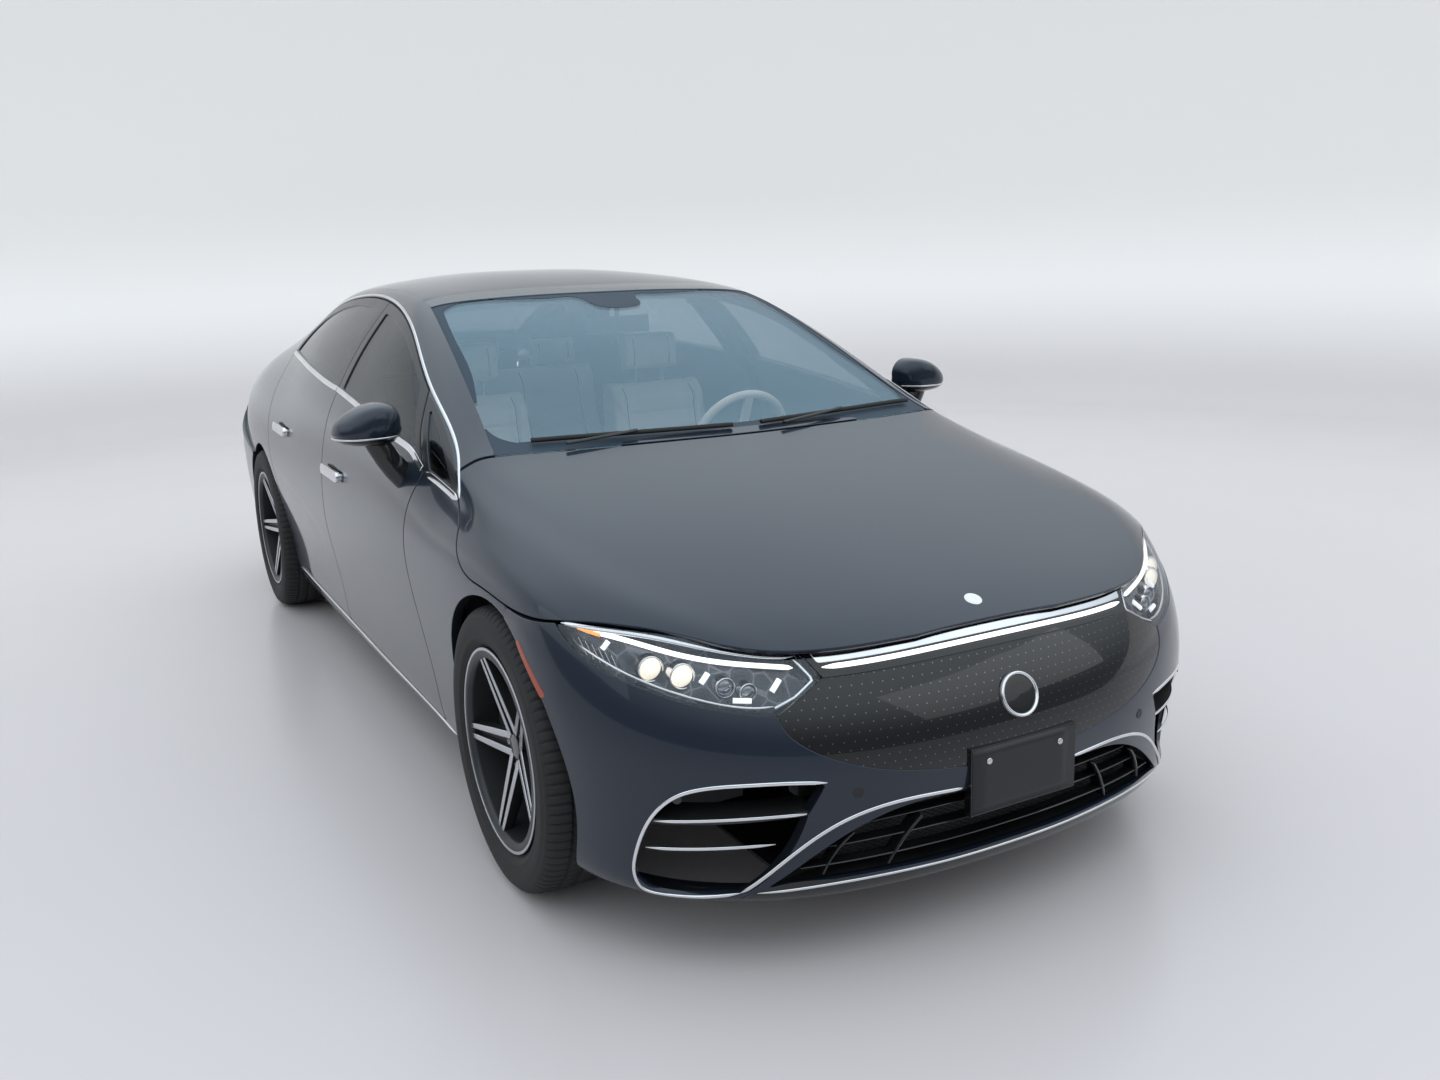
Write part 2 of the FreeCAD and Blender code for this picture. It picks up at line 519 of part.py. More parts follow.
def pair(left):
    """The shape on the car's left and its mirror image as one compound."""
    return Part.makeCompound([left, mirror_x(left)])


def main_piece(shape):
    """The largest solid, without the splinters that a trim leaves beside it."""
    return max(shape.Solids, key=lambda s: s.Volume)


def shifted(line, by):
    """The line moved along the car."""
    return [(y + by, z) for y, z in line]


def skin_height(x, y):
    """Height of the body's skin above a point of the plan."""
    u, low, high = along_at(y), 0.5, 1.0
    for step in range(30):
        mid = 0.5 * (low + high)
        if width_share.value(u, mid).x > x:
            low = mid
        else:
            high = mid
    return width_share.value(u, low).z


# Hood, windscreen, roof and fixed body sides
hood = main_piece(hood_wall.common(prism_x(hood_side)).cut(plan(grown(behind_cowl, size.cowl_gap))))
hood_clear = prism_x(grown(hood_side, size.shut_gap)).cut(plan(grown(behind_cowl, -size.shut_gap)))
windscreen = screen_glass.common(plan(grown(windscreen_plan, -size.seat_clearance)))
shapes["windscreen"] = windscreen.cut(hood_clear)
roof = roof_wall.common(plan(grown(roof_plan, -size.seat_clearance)))
doors_clear = side(grown(doors_side, size.shut_gap))
REBATE_DEPTH, REBATE = 6, 8
rebate_wall = slab(half_body, even(REBATE_DEPTH), even(200), cabin_span)
doors_rebate = rebate_wall.common(side(grown(doors_side, size.shut_gap + REBATE)))
body_side = side_wall.common(side(body_side_region)).cut(
    [plan(centre_plan), doors_clear, doors_rebate, side(tip_window), front_arch, rear_arch, hood_clear])
rocker = box(size.rocker_inner, size.rocker_outer, -1130 * ky, 1060 * ky, size.rocker_base, 232)
rocker = rocker.fuse(box(size.rocker_inner, size.rocker_inner + 30, -1130 * ky, 1060 * ky, size.rocker_base,
                         size.rocker_top))
b_post = post_wall.common(prism(polygon([(16, 196), (86, 196), (86, 1400), (16, 1400)]), "x", 560, FAR))
POST_LINE = [(-1112, 196), (-1100, 240)] + DOOR_FRONT[1:]
post_ahead, post_behind = shifted(POST_LINE, -96), shifted(POST_LINE, -10)
a_post = hinge_post_wall.common(side([post_behind, [post_behind[-1], post_ahead[-1]], post_ahead[::-1],
                                      [post_ahead[0], post_behind[0]]]))
body_side = main_piece(body_side.fuse([rocker, b_post, a_post]).cut([hood_clear, front_arch, steering_room]))
shapes["front_quarter_glass"] = pair(side_glass.common(side(grown(tip_window, -size.seat_clearance))))
fender = fender_wall.common(side(fender_region)).cut([hood_clear, doors_clear, doors_rebate, front_arch])
shapes["fenders"] = pair(main_piece(fender))

# The rear door's inner edge swings back a little as it opens, and is cut away behind its outer skin
REAR_EDGE = [(1226, 800), (1226, 880), (1254, 1000), (1304, 1110), (1342, 1164), (1326, 1208), (1266, 1262),
             (1230, 1292), (1420, 1340), (1420, 800)]
rear_edge_room = rebate_wall.common(side(polygon(REAR_EDGE)))

# Doors with their glass. Each door turns on two upright pins held by arms from the post ahead of it; the arms
# reach the pins from inboard through notches, and the pins' ends run in bores above and below each notch.
roof_room = plan(grown(roof_plan, size.shut_gap))
front_door = door_wall.common(side(front_door_side)).cut([side(front_window), roof_room])
rear_door = door_wall.common(side(rear_door_side)).cut(
    [side(rear_window), roof_room, rear_edge_room, side(grown(front_door_side, size.shut_gap)),
     rebate_wall.common(side(grown(front_door_side, size.shut_gap + REBATE)))])
shapes["front_door_glass"] = side_glass.common(side(grown(front_window, -size.seat_clearance)))
shapes["rear_door_glass"] = side_glass.common(side(grown(rear_window, -size.seat_clearance)))
FRONT_HINGE, REAR_HINGE = V(934 * kx, -955 * ky, 0), V(936 * kx, 170 * ky, 0)
HINGE_Z = (585 * kz, 850 * kz)
PIN_REACH, NOTCH_ROOM, ARM_X = 16, 6, 826


def door_hinge(axis, z, post_y):
    """Arm with its pin, the notch for the arm and the bore for the pin of one hinge."""
    half = size.hinge_height / 2
    radius = size.hinge_pin_radius
    arm_x = ARM_X * kx
    arm = box(arm_x, arm_x + 20, post_y, axis.y + radius, z - half, z + half)
    arm = arm.fuse([box(arm_x, axis.x, axis.y - radius, axis.y + radius, z - half, z + half)])
    reach = half + NOTCH_ROOM + PIN_REACH
    pin = cylinder(radius, V(axis.x, axis.y, z - reach), V(axis.x, axis.y, z + reach))
    notch = box(arm_x - 100, axis.x + radius + 2, axis.y - 220, axis.y + radius + 6,
                z - half - NOTCH_ROOM, z + half + NOTCH_ROOM)
    bore = cylinder(radius + size.pin_clearance, V(axis.x, axis.y, z - reach - 1),
                    V(axis.x, axis.y, z + reach + 1))
    return arm.fuse(pin), notch, bore


front_hinges = [door_hinge(FRONT_HINGE, z, -1130 * ky) for z in HINGE_Z]
rear_hinges = [door_hinge(REAR_HINGE, z, 40 * ky) for z in HINGE_Z]
front_door = main_piece(front_door.cut([s for hinge in front_hinges for s in hinge[1:]]))
rear_door = main_piece(rear_door.cut([s for hinge in rear_hinges for s in hinge[1:]]))
body_side = body_side.fuse([hinge[0] for hinge in front_hinges + rear_hinges])


def handle(y, z):
    """A pull handle that stands off the door on two feet."""
    grip = slab(half_body, even(-20), even(-10), cabin_span)
    foot = slab(half_body, even(-14), even(6), cabin_span)
    outline = [[(y - 118, z - 12), (y + 118, z - 9)], [(y + 118, z - 9), (y + 128, z + 3), (y + 118, z + 14)],
               [(y + 118, z + 14), (y - 118, z + 12)], [(y - 118, z + 12), (y - 128, z), (y - 118, z - 12)]]
    feet = [foot.common(side(polygon([(a - 16, z - 9), (a + 16, z - 9), (a + 16, z + 10), (a - 16, z + 10)])))
            for a in (y - 102, y + 102)]
    return grip.common(side(outline)).fuse(feet)


front_door = front_door.fuse(handle(-92, 848))
rear_door = rear_door.fuse(handle(905, 893))

# Front bumper, lamps, grille panel and intakes
lamp_out, lamp_in = even(1), even(1 + size.lamp_thickness)
lamp_wall = slab(nose, lamp_out, lamp_in)
panel_wall = slab(nose, even(2), even(2 + size.grille_thickness))
duct_wall = slab(nose, even(size.bumper_thickness + size.seat_clearance), even(100))
duct_bore = slab(nose, even(0), even(94))
left_cuts = [front(headlamp_front), front(side_intake)]
bumper = nose_wall.common(prism_x(bumper_region))
bumper = bumper.cut(left_cuts + [mirror_x(c) for c in left_cuts]
                    + [front(bar_front), front(panel_front), front(lower_intake), hood_clear, front_arch,
                       steering_room, mirror_x(steering_room)])
headlamp = lamp_wall.common(front(grown(headlamp_front, -size.seat_clearance))).cut(hood_clear)
shapes["headlamps"] = pair(headlamp)
shapes["front_light_bar"] = lamp_wall.common(front(grown(bar_front, -size.seat_clearance))).cut(hood_clear)
shapes["grille_panel"] = panel_wall.common(front(grown(panel_front, -size.seat_clearance)))
behind_skin = slab(nose, even(-12), even(size.bumper_thickness + size.seat_clearance))


def duct(outline, back):
    """A recess behind an opening of the bumper: walls that follow the opening and a flat back."""
    start = -size.body_length / 2 - 40
    shell = prism(grown(outline, 5), "y", start, back).cut(prism(outline, "y", start - 1, back - 6))
    return main_piece(shell.cut(behind_skin))


blade_wall = slab(nose, even(8), even(90))
side_duct = duct_wall.common(front(grown(side_intake, 5))).cut(duct_bore.common(front(side_intake)))
side_duct = side_duct.fuse([blade_wall.common(front(b)) for b in blades])
side_duct = main_piece(side_duct.cut([bumper, steering_room]))
shapes["intake_ducts"] = Part.makeCompound([side_duct, mirror_x(side_duct),
                                            duct(lower_intake, -2436 * ky - size.seat_clearance)])
plate_face = -size.body_length / 2
plate = box(-size.plate_width / 2, size.plate_width / 2, plate_face, plate_face + 22, 330, 330 + size.plate_height)


def plate_holes(z):
    """Bolt holes of a number plate, right along the car."""
    return [cylinder(size.plate_bolt_radius, V(x, -FAR, z), V(x, FAR, z))
            for x in (-size.plate_bolt_spacing / 2, size.plate_bolt_spacing / 2)]


FRONT_BOLT_Z, REAR_BOLT_Z = 454, 644
bumper = bumper.cut(plate_holes(FRONT_BOLT_Z))
shapes["grille_panel"] = shapes["grille_panel"].cut(plate_holes(FRONT_BOLT_Z))
shapes["front_plate_holder"] = plate.cut([bumper, shapes["grille_panel"]] + plate_holes(FRONT_BOLT_Z))

# Hatch, tail lamps and rear bumper. The hatch swings on two arms that drop from it, run under the roof's end
# and turn on pins there; its front edge is cut round the pins' axis so that it lifts clear of the roof.
HATCH_AXIS = V(0, (ROOF_Y - 98) * ky, 1408 * kz)
HATCH_FRONT = ROOF_Y + size.hatch_gap


def turned(runs):
    """Solid of revolution about the X axis of an outline given as (place along the axis, radius)."""
    edges = []
    for run in runs:
        points = [V(a, 0, r) for a, r in run]
        if len(points) == 2:
            edges.append(Part.LineSegment(points[0], points[1]).toShape())
        else:
            curve = Part.BSplineCurve()
            curve.interpolate(points)
            edges.append(curve.toShape())
    return Part.Face(Part.Wire(edges)).revolve(V(0, 0, 0), V(1, 0, 0), 360)


def edge_radius(x):
    """Distance from the hatch's axis to the front edge of its skin, at a place across the car."""
    rise = skin_height(x * kx, HATCH_FRONT) - HATCH_AXIS.z
    return math.hypot(HATCH_FRONT * ky - HATCH_AXIS.y, rise) - size.seat_clearance


half_edge = [(x * kx, edge_radius(x)) for x in (0, 150, 300, 400, 480, 540, 600)]
swing = [(-x, r) for x, r in half_edge[:0:-1]] + half_edge
swing_room = turned(polygon([(swing[0][0], 0)] + swing + [(swing[-1][0], 0)]))
swing_room.translate(HATCH_AXIS)
hatch_outline = grown(hatch_plan, -size.shut_gap)
hatch = hatch_wall.common(plan(hatch_outline)).cut([plan(rear_glass_plan), swing_room])
hatch = hatch.cut(box(-700, 700, 0, HATCH_FRONT * ky, 0, FAR))
CORNER_X, CORNER_Z = 622, 950
hatch_low = tail_wall.common(rear(hatch_rear)).cut(
    [prism_x(polygon([(1500, 1062), (2600, 1062), (2600, 1800), (1500, 1800)]))]
    + [box(x, x + 100, 0, FAR, CORNER_Z, FAR) for x in (CORNER_X, -CORNER_X - 100)])
tail_lamp_wall = slab(tail, even(1), even(50))
tail_bar_wall = slab(tail, even(1), even(22))
hatch = hatch.fuse(hatch_low.cut(rear(tail_bar)))
ARM_AT, ARM_WIDTH = 440, 16
arm_line = [(-9, 8), (-9, -8), (1, -51), (12, -101), (26, -116), (58, -112), (83, -100), (122, -53), (146, 30),
            (116, 30), (106, -46), (70, -86), (55, -94), (36, -98), (30, -96), (18, -48), (8, 7)]
hatch_arm = prism(polygon([(a + HATCH_AXIS.y / ky, b + HATCH_AXIS.z / kz) for a, b in arm_line]), "x",
                  ARM_AT * kx, ARM_AT * kx + ARM_WIDTH)
under_hatch = slab(whole_body, even(-200), even(size.quarter_thickness - 4), (along_at(1060), along_at(1400)),
                   LID)
hatch_arm = hatch_arm.cut(under_hatch)
pin_run = (ARM_AT * kx - 14, ARM_AT * kx + ARM_WIDTH + 2)
hatch_pin = cylinder(size.hood_pin_radius, V(pin_run[0], HATCH_AXIS.y, HATCH_AXIS.z),
                     V(pin_run[1], HATCH_AXIS.y, HATCH_AXIS.z))
pin_bore = cylinder(size.hood_pin_radius + size.pin_clearance, V(pin_run[0], HATCH_AXIS.y, HATCH_AXIS.z),
                    V(pin_run[1], HATCH_AXIS.y, HATCH_AXIS.z))
hatch_arm = hatch_arm.cut(pin_bore)
hatch = hatch.fuse([hatch_arm, mirror_x(hatch_arm)])
hanger = box(pin_run[0], pin_run[0] + 12, HATCH_AXIS.y - 16, HATCH_AXIS.y + 12, HATCH_AXIS.z - 10,
             HATCH_AXIS.z + 60)
hanger = hanger.cut(slab(whole_body, even(-200), even(4), (along_at(900), along_at(1300)), LID))
shapes["roof_panel"] = roof.fuse([hanger, mirror_x(hanger), hatch_pin, mirror_x(hatch_pin)])
shapes["rear_glass"] = rear_glass_wall.common(plan(grown(rear_glass_plan, -size.seat_clearance)))
shapes["tail_light_bar"] = tail_bar_wall.common(rear(grown(tail_bar, -size.seat_clearance)))
lamp = tail_lamp_wall.common(rear(grown(tail_lamp, -size.seat_clearance))).cut(side(quarter_region))
shapes["tail_lamps"] = pair(main_piece(lamp))
rear_cuts = [rear(tail_lamp), side(quarter_region)]
rear_bumper = main_piece(tail_wall.cut(rear_cuts + [mirror_x(c) for c in rear_cuts] + plate_holes(REAR_BOLT_Z)
                                       + [rear(grown(hatch_rear, size.shut_gap)), rear_arch, body_side,
                                          mirror_x(body_side)]))
shapes["rear_bumper"] = rear_bumper
plate = box(-size.plate_width / 2, size.plate_width / 2, -plate_face - 24, -plate_face, 520,
            520 + size.plate_height)
shapes["rear_plate_holder"] = plate.cut([rear_bumper] + plate_holes(REAR_BOLT_Z))

# Hood arms: they drop from the hood, pass under the windscreen's base and turn on pins on the bulkhead
HOOD_AXIS = V(0, -1215 * ky, 1000 * kz)
HOOD_ARM_X = 710
hood_arm = prism(polygon([(a + HOOD_AXIS.y / ky, b + HOOD_AXIS.z / kz) for a, b in
                          ((10, 10), (10, -10), (-62, -54), (-122, -50), (-190, 20), (-150, 20), (-112, -28),
                           (-66, -32), (-10, 10))]), "x", HOOD_ARM_X * kx, HOOD_ARM_X * kx + ARM_WIDTH)
above_hood = slab(whole_body, even(-200), even(size.hood_thickness - 4), (along_at(-1560), along_at(-1240)), LID)
hinge_run = (HOOD_ARM_X * kx - 18, HOOD_ARM_X * kx + ARM_WIDTH + 2)


def hood_pin(radius):
    return cylinder(radius, V(hinge_run[0], HOOD_AXIS.y, HOOD_AXIS.z),
                    V(hinge_run[1], HOOD_AXIS.y, HOOD_AXIS.z))


hood_arm = hood_arm.cut([above_hood, hood_pin(size.hood_pin_radius + size.pin_clearance)])
hood = hood.fuse([hood_arm, mirror_x(hood_arm)])
bracket = box(hinge_run[0], hinge_run[0] + 14, HOOD_AXIS.y - 14, -1112 * ky, HOOD_AXIS.z - 66, HOOD_AXIS.z + 14)
bracket = bracket.fuse(hood_pin(size.hood_pin_radius))
shapes["hood"] = hood
shapes["hatch"] = hatch
shapes["front_bumper"] = main_piece(bumper)
both("body_side", body_side)
both("front_door", front_door)
both("rear_door", rear_door)
for name in ("front_door_glass", "rear_door_glass"):
    both(name, shapes.pop(name))


# Door mirrors: a rounded housing, cut from a front and a plan outline, on a foot on the door's shoulder
mirror_front = [[(906, 1108), (914, 1140), (950, 1164), (1010, 1173), (1070, 1166), (1104, 1138), (1110, 1104),
                 (1098, 1070), (1060, 1050), (1000, 1044), (940, 1052), (912, 1076), (906, 1108)]]
mirror_plan = [[(900, -868), (908, -920), (940, -958), (1000, -976), (1060, -962), (1100, -922), (1114, -868)],
               [(1114, -868), (900, -868)]]
housing = prism(mirror_front, "y", -1000 * ky, -860 * ky).common(plan(mirror_plan))
foot = prism(polygon([(934, 905), (962, 905), (1000, 1070), (930, 1070)]), "y", -934 * ky, -884 * ky)
both("mirror", main_piece(housing.fuse(foot).cut(front_door)))

# Wheels, built round the origin with the axle along X and the outer face at +X
half_tyre = size.tyre_width / 2
bead = size.rim_radius - 12
lip = half_tyre - 10
tyre = turned([
    [(-half_tyre + 7, size.tyre_radius - 21), (-half_tyre + 22, size.tyre_radius - 7),
     (-half_tyre + 57, size.tyre_radius - 1), (0, size.tyre_radius),
     (half_tyre - 57, size.tyre_radius - 1), (half_tyre - 22, size.tyre_radius - 7),
     (half_tyre - 7, size.tyre_radius - 21)],
    [(half_tyre - 7, size.tyre_radius - 21), (half_tyre, size.rim_radius + 56),
     (half_tyre - 3, size.rim_radius + 24), (lip - size.rim_flange, size.rim_radius + 4)],
    [(lip - size.rim_flange, size.rim_radius + 4), (lip - size.rim_flange, bead)],
    [(lip - size.rim_flange, bead), (-lip + size.rim_flange, bead)],
    [(-lip + size.rim_flange, bead), (-lip + size.rim_flange, size.rim_radius + 4)],
    [(-lip + size.rim_flange, size.rim_radius + 4), (-half_tyre + 3, size.rim_radius + 24),
     (-half_tyre, size.rim_radius + 56), (-half_tyre + 7, size.tyre_radius - 21)]])
seat_radius = bead - size.seat_clearance
flange_in = lip - size.rim_flange + size.seat_clearance
barrel_inner = size.rim_radius - 28
barrel = turned(polygon([
    (-lip, size.rim_radius), (-flange_in, size.rim_radius), (-flange_in, seat_radius), (flange_in, seat_radius),
    (flange_in, size.rim_radius), (lip, size.rim_radius), (lip, barrel_inner + 4), (lip - 16, barrel_inner),
    (-lip + 16, barrel_inner), (-lip, barrel_inner + 6)]))
SPOKE_FACE = 96
spoke_back = SPOKE_FACE - size.spoke_depth


def ray(radius, degrees):
    angle = math.radians(degrees)
    return V(spoke_back, radius * math.sin(angle), radius * math.cos(angle))


def spoke(lean):
    """One bar of a pair of spokes, leaning from the pair's middle line by an angle at the rim."""
    inner, outer = size.hub_radius - 22, barrel_inner + 6
    corners = [ray(inner, 0.2 * lean - 10), ray(outer, lean - 3.2), ray(outer, lean + 3.2),
               ray(inner, 0.2 * lean + 10)]
    return Part.Face(Part.makePolygon(corners + corners[:1])).extrude(V(size.spoke_depth, 0, 0))


def about_axle(shape, degrees):
    copy = shape.copy()
    copy.rotate(V(0, 0, 0), V(1, 0, 0), degrees)
    return copy


disc_outer_face, disc_inner_face = 10, 10 - size.disc_thickness
count = int(size.spoke_count)
pieces = [about_axle(spoke(lean), 360.0 / count * k) for k in range(count) for lean in (-14, 14)]
pieces.append(cylinder(size.hub_radius, V(disc_inner_face, 0, 0), V(SPOKE_FACE - 4, 0, 0)))
pieces.append(cylinder(size.disc_radius, V(disc_inner_face, 0, 0), V(disc_outer_face, 0, 0)))
bore = cylinder(size.spindle_radius + size.pin_clearance, V(disc_inner_face - 1, 0, 0), V(32, 0, 0))
rim = barrel.fuse(pieces).cut(bore)


# Hub carriers with their brake callipers, round the same origin
kingpin = -size.kingpin_offset
post_top, post_radius = size.knuckle_post_height, size.knuckle_post_radius
calliper_in, calliper_out = disc_inner_face - 30, disc_outer_face + 26
CALLIPER_RADIUS, CALLIPER_REACH, BRAKE_GAP = 226, 82, 6


def hub_carrier(facing):
    """Upright, spindle and calliper; facing is +1 if the calliper is behind the axle, -1 if ahead of it."""
    post = cylinder(post_radius, V(kingpin, 0, -post_top), V(kingpin, 0, post_top))
    pin = cylinder(10, V(kingpin, 0, -post_top - 22), V(kingpin, 0, post_top + 22))
    stub = cylinder(32, V(kingpin, 0, 0), V(disc_inner_face - BRAKE_GAP, 0, 0))
    spindle = cylinder(size.spindle_radius, V(kingpin, 0, 0), V(30, 0, 0))
    calliper = cylinder(CALLIPER_RADIUS, V(calliper_in, 0, 0), V(calliper_out, 0, 0))
    calliper = calliper.cut([
        cylinder(size.disc_radius + BRAKE_GAP, V(disc_inner_face - BRAKE_GAP, 0, 0),
                 V(disc_outer_face + BRAKE_GAP, 0, 0)),
        cylinder(128, V(calliper_in - 1, 0, 0), V(calliper_out + 1, 0, 0))])
    calliper = calliper.common(box(calliper_in, calliper_out, 60, CALLIPER_RADIUS, -CALLIPER_REACH, CALLIPER_REACH))
    bracket = box(kingpin - 10, calliper_in + 12, 0, 160, -38, 38)
    carrier = post.fuse([pin, stub, spindle, bracket, calliper])
    if facing < 0:
        carrier = carrier.mirror(V(0, 0, 0), V(0, 1, 0))
    return carrier


def placed(shape, track, axle_y):
    copy = shape.copy()
    copy.translate(V(track / 2, axle_y, size.tyre_radius))
    return copy


for end, track, axle_y in (("front", size.front_track, FRONT_AXLE), ("rear", size.rear_track, REAR_AXLE)):
    both(end + "_tyre", placed(tyre, track, axle_y))
    both(end + "_rim", placed(rim, track, axle_y))
both("front_hub_carrier", placed(hub_carrier(1), size.front_track, FRONT_AXLE))
rear_carrier = placed(hub_carrier(-1), size.rear_track, REAR_AXLE)


# Suspension, one frame for each axle: cross-beam, towers, lower and upper arms and spring struts
arm_low = size.tyre_radius - post_top - size.seat_clearance - size.arm_thickness
arm_high = size.tyre_radius + post_top + size.seat_clearance
BEAM_HALF, BEAM_LOW, BEAM_TOP = 370, arm_low - 14, arm_low + 34


def suspension(track, axle_y):
    pin_x = track / 2 - size.kingpin_offset
    arms = [box(BEAM_HALF - 10, pin_x + 24, axle_y - 24, axle_y + 24, z, z + size.arm_thickness)
            for z in (arm_low, arm_high)]
    tower = box(BEAM_HALF - 40, BEAM_HALF, axle_y - 40, axle_y + 40, BEAM_LOW, arm_high + size.arm_thickness)
    strut_x = pin_x - 112
    top = size.tyre_radius + math.sqrt(size.liner_radius ** 2 - size.strut_radius ** 2) - size.seat_clearance
    strut = cylinder(size.strut_radius, V(strut_x, axle_y, arm_high + 6), V(strut_x, axle_y, top))
    holes = cylinder(10 + size.pin_clearance, V(pin_x, axle_y, 0), V(pin_x, axle_y, FAR))
    half = arms[0].fuse([arms[1], tower, strut]).cut(holes)
    beam = box(-BEAM_HALF, BEAM_HALF, axle_y - 190, axle_y + 190, BEAM_LOW, BEAM_TOP)
    return beam.fuse([half, mirror_x(half)])


def drive_unit(half_width, half_length, top, track, axle_y):
    """Motor block on the beam with a shaft to each hub carrier."""
    block = box(-half_width, half_width, axle_y - half_length, axle_y + half_length, BEAM_TOP, top)
    shaft = cylinder(16, V(half_width - 5, axle_y, size.tyre_radius),
                     V(track / 2 - size.kingpin_offset - post_radius - 8, axle_y, size.tyre_radius))
    return block.fuse([shaft, mirror_x(shaft)])


front_wall_x, rear_wall_x = 496, 590
shapes["front_suspension"] = suspension(size.front_track, FRONT_AXLE)
shapes["rear_suspension"] = suspension(size.rear_track, REAR_AXLE)
shapes["rear_hub_carriers"] = pair(rear_carrier)
front_unit = drive_unit(180, 150, 490, size.front_track, FRONT_AXLE)
rear_unit = drive_unit(200, 180, 500, size.rear_track, REAR_AXLE)
shapes["front_drive_unit"] = front_unit.cut(shapes["front_suspension"])
shapes["rear_drive_unit"] = rear_unit.cut(shapes["rear_suspension"])


def liner(axle_y, inner_x, outer_x):
    """Wheelhouse: half a drum over the wheel with an inner wall, open towards the road."""
    radius, wall = size.liner_radius, size.liner_wall
    drum = cylinder(radius + wall, V(inner_x - wall, axle_y, size.tyre_radius),
                    V(outer_x, axle_y, size.tyre_radius))
    bore = cylinder(radius, V(inner_x, axle_y, size.tyre_radius), V(outer_x + 1, axle_y, size.tyre_radius))
    shaft_way = cylinder(70, V(0, axle_y, size.tyre_radius), V(outer_x, axle_y, size.tyre_radius))
    below = box(0, 1200, axle_y - 600, axle_y + 600, -FAR, 300)
    arm_way = box(0, inner_x, axle_y - 27, axle_y + 27, size.tyre_radius, size.tyre_radius + post_top + 40)
    return drum.cut([bore, shaft_way, below, arm_way])


front_liner = liner(FRONT_AXLE, front_wall_x, 900).cut([fender, bumper, headlamp, side_duct])
rear_liner = liner(REAR_AXLE, rear_wall_x, 900).cut(
    [body_side, rear_bumper, prism(grown(rear_door_side, size.shut_gap), "x", 860, FAR)])
shapes["front_wheelhouse_liners"] = pair(main_piece(front_liner))
shapes["rear_wheelhouse_liners"] = pair(main_piece(rear_liner))

# Bulkhead, cowl, bay cover with the hood's stops, boot floor and frame rails
bulkhead = box(-790, 790, -1130 * ky, -1112 * ky, size.floor_height, 936)
sides = [body_side, mirror_x(body_side)]
bulkhead = bulkhead.fuse([bracket, mirror_x(bracket)]).cut(sides + [shapes["front_wheelhouse_liners"]])
shapes["bulkhead"] = main_piece(bulkhead)
cowl_panel = prism(polygon([(-1446, 950), (-1330.3, 950), (-1330.3, 962), (-1446, 962)]), "x", -680, 680)
cover_wall = slab(whole_body, even(70), even(76), front_span)
stop_wall = slab(whole_body, even(size.hood_thickness + size.seat_clearance), even(74), front_span)
tower_wall = slab(whole_body, even(74), even(150), front_span)
cover = cover_wall.common(plan(polygon([(-600, -1480), (600, -1480), (520, -2100), (380, -2340), (-380, -2340),
                                        (-520, -2100)])))
stops = [cylinder(12, V(x, y * ky, 600), V(x, y * ky, 1200))
         for x, y in ((450, -1600), (-450, -1600), (300, -2250), (-300, -2250))]
towers = [box(x, x + 60, FRONT_AXLE - 50, FRONT_AXLE + 50, 700, 1000) for x in (505, -565)]
cover = cover.fuse([stop_wall.common(s) for s in stops] + [tower_wall.common(t) for t in towers])
drums = [cylinder(size.liner_radius + size.liner_wall + size.seat_clearance, V(-1000, y, size.tyre_radius),
                  V(1000, y, size.tyre_radius)) for y in (FRONT_AXLE, REAR_AXLE)]
shapes["bay_cover"] = Part.makeCompound([cover.cut(drums[0]), cowl_panel])
rail = box(380, 470, -2430 * ky, -1131 * ky, 400, 480)
front_beam = box(-500, 500, -2436 * ky, -2396 * ky, 400, 500)
shapes["front_rails"] = main_piece(front_beam.fuse([rail, mirror_x(rail)]).cut(shapes["intake_ducts"]))
boot_floor = box(-575, 575, 1245 * ky, 2440 * ky, 548, 560)
rear_rail = box(480, 560, 1060 * ky, 2440 * ky, 508, 548)
rear_beam = box(-520, 520, 2440 * ky, 2476 * ky, 440, 560)
striker = slab(tail, even(size.bumper_thickness + size.seat_clearance), even(140)).common(
    box(-30, 30, 2300, FAR, 765, 800)).fuse(box(-30, 30, 2440 * ky, 2480 * ky, 550, 800))
shapes["boot_floor"] = boot_floor.fuse([rear_rail, mirror_x(rear_rail), rear_beam, striker])

# Cabin: dashboard, console, seats and steering wheel
dash = prism(polygon([(-1330, 940), (-1330, 985), (-1100, 1000), (-880, 990), (-740, 940), (-715, 880),
                      (-760, 800), (-880, 730), (-1112, 700), (-1112, 940)]), "x", -686, 686)
screen = prism(polygon([(-716, 880), (-700, 870), (-735, 700), (-752, 704)]), "x", -560, 560)
console = prism(polygon([(-1100, 300), (-1100, 720), (-880, 760), (-740, 620), (-560, 560), (-100, 560),
                         (-100, 300)]), "x", -125, 125)


def seat(width):
    """Front seat on its base, seen from the side: cushion, leaning back and head restraint."""
    half = width / 2
    base = prism(polygon([(-520, 300), (-520, 350), (-60, 350), (-60, 300)]), "x", -half + 60, half - 60)
    cushion = prism([[(-570, 350), (-585, 430), (-540, 486), (-300, 470), (-60, 450)],
                     [(-60, 450), (-60, 350)], [(-60, 350), (-570, 350)]], "x", -half, half)
    back = prism([[(-90, 420), (-70, 600), (0, 850), (50, 1060)], [(50, 1060), (90, 1085), (150, 1060)],
                  [(150, 1060), (130, 850), (60, 600), (20, 400)], [(20, 400), (-90, 420)]],
                 "x", -half + 10, half - 10)
    head = prism([[(66, 1110), (60, 1180), (88, 1262)], [(88, 1262), (150, 1262)],
                  [(150, 1262), (166, 1190), (152, 1110)], [(152, 1110), (66, 1110)]], "x", -125, 125)
    rods = [cylinder(7, V(x, 108 * ky, 1040 * kz), V(x, 108 * ky, 1140 * kz)) for x in (-60, 60)]
    return base.fuse([cushion, back, head] + rods)


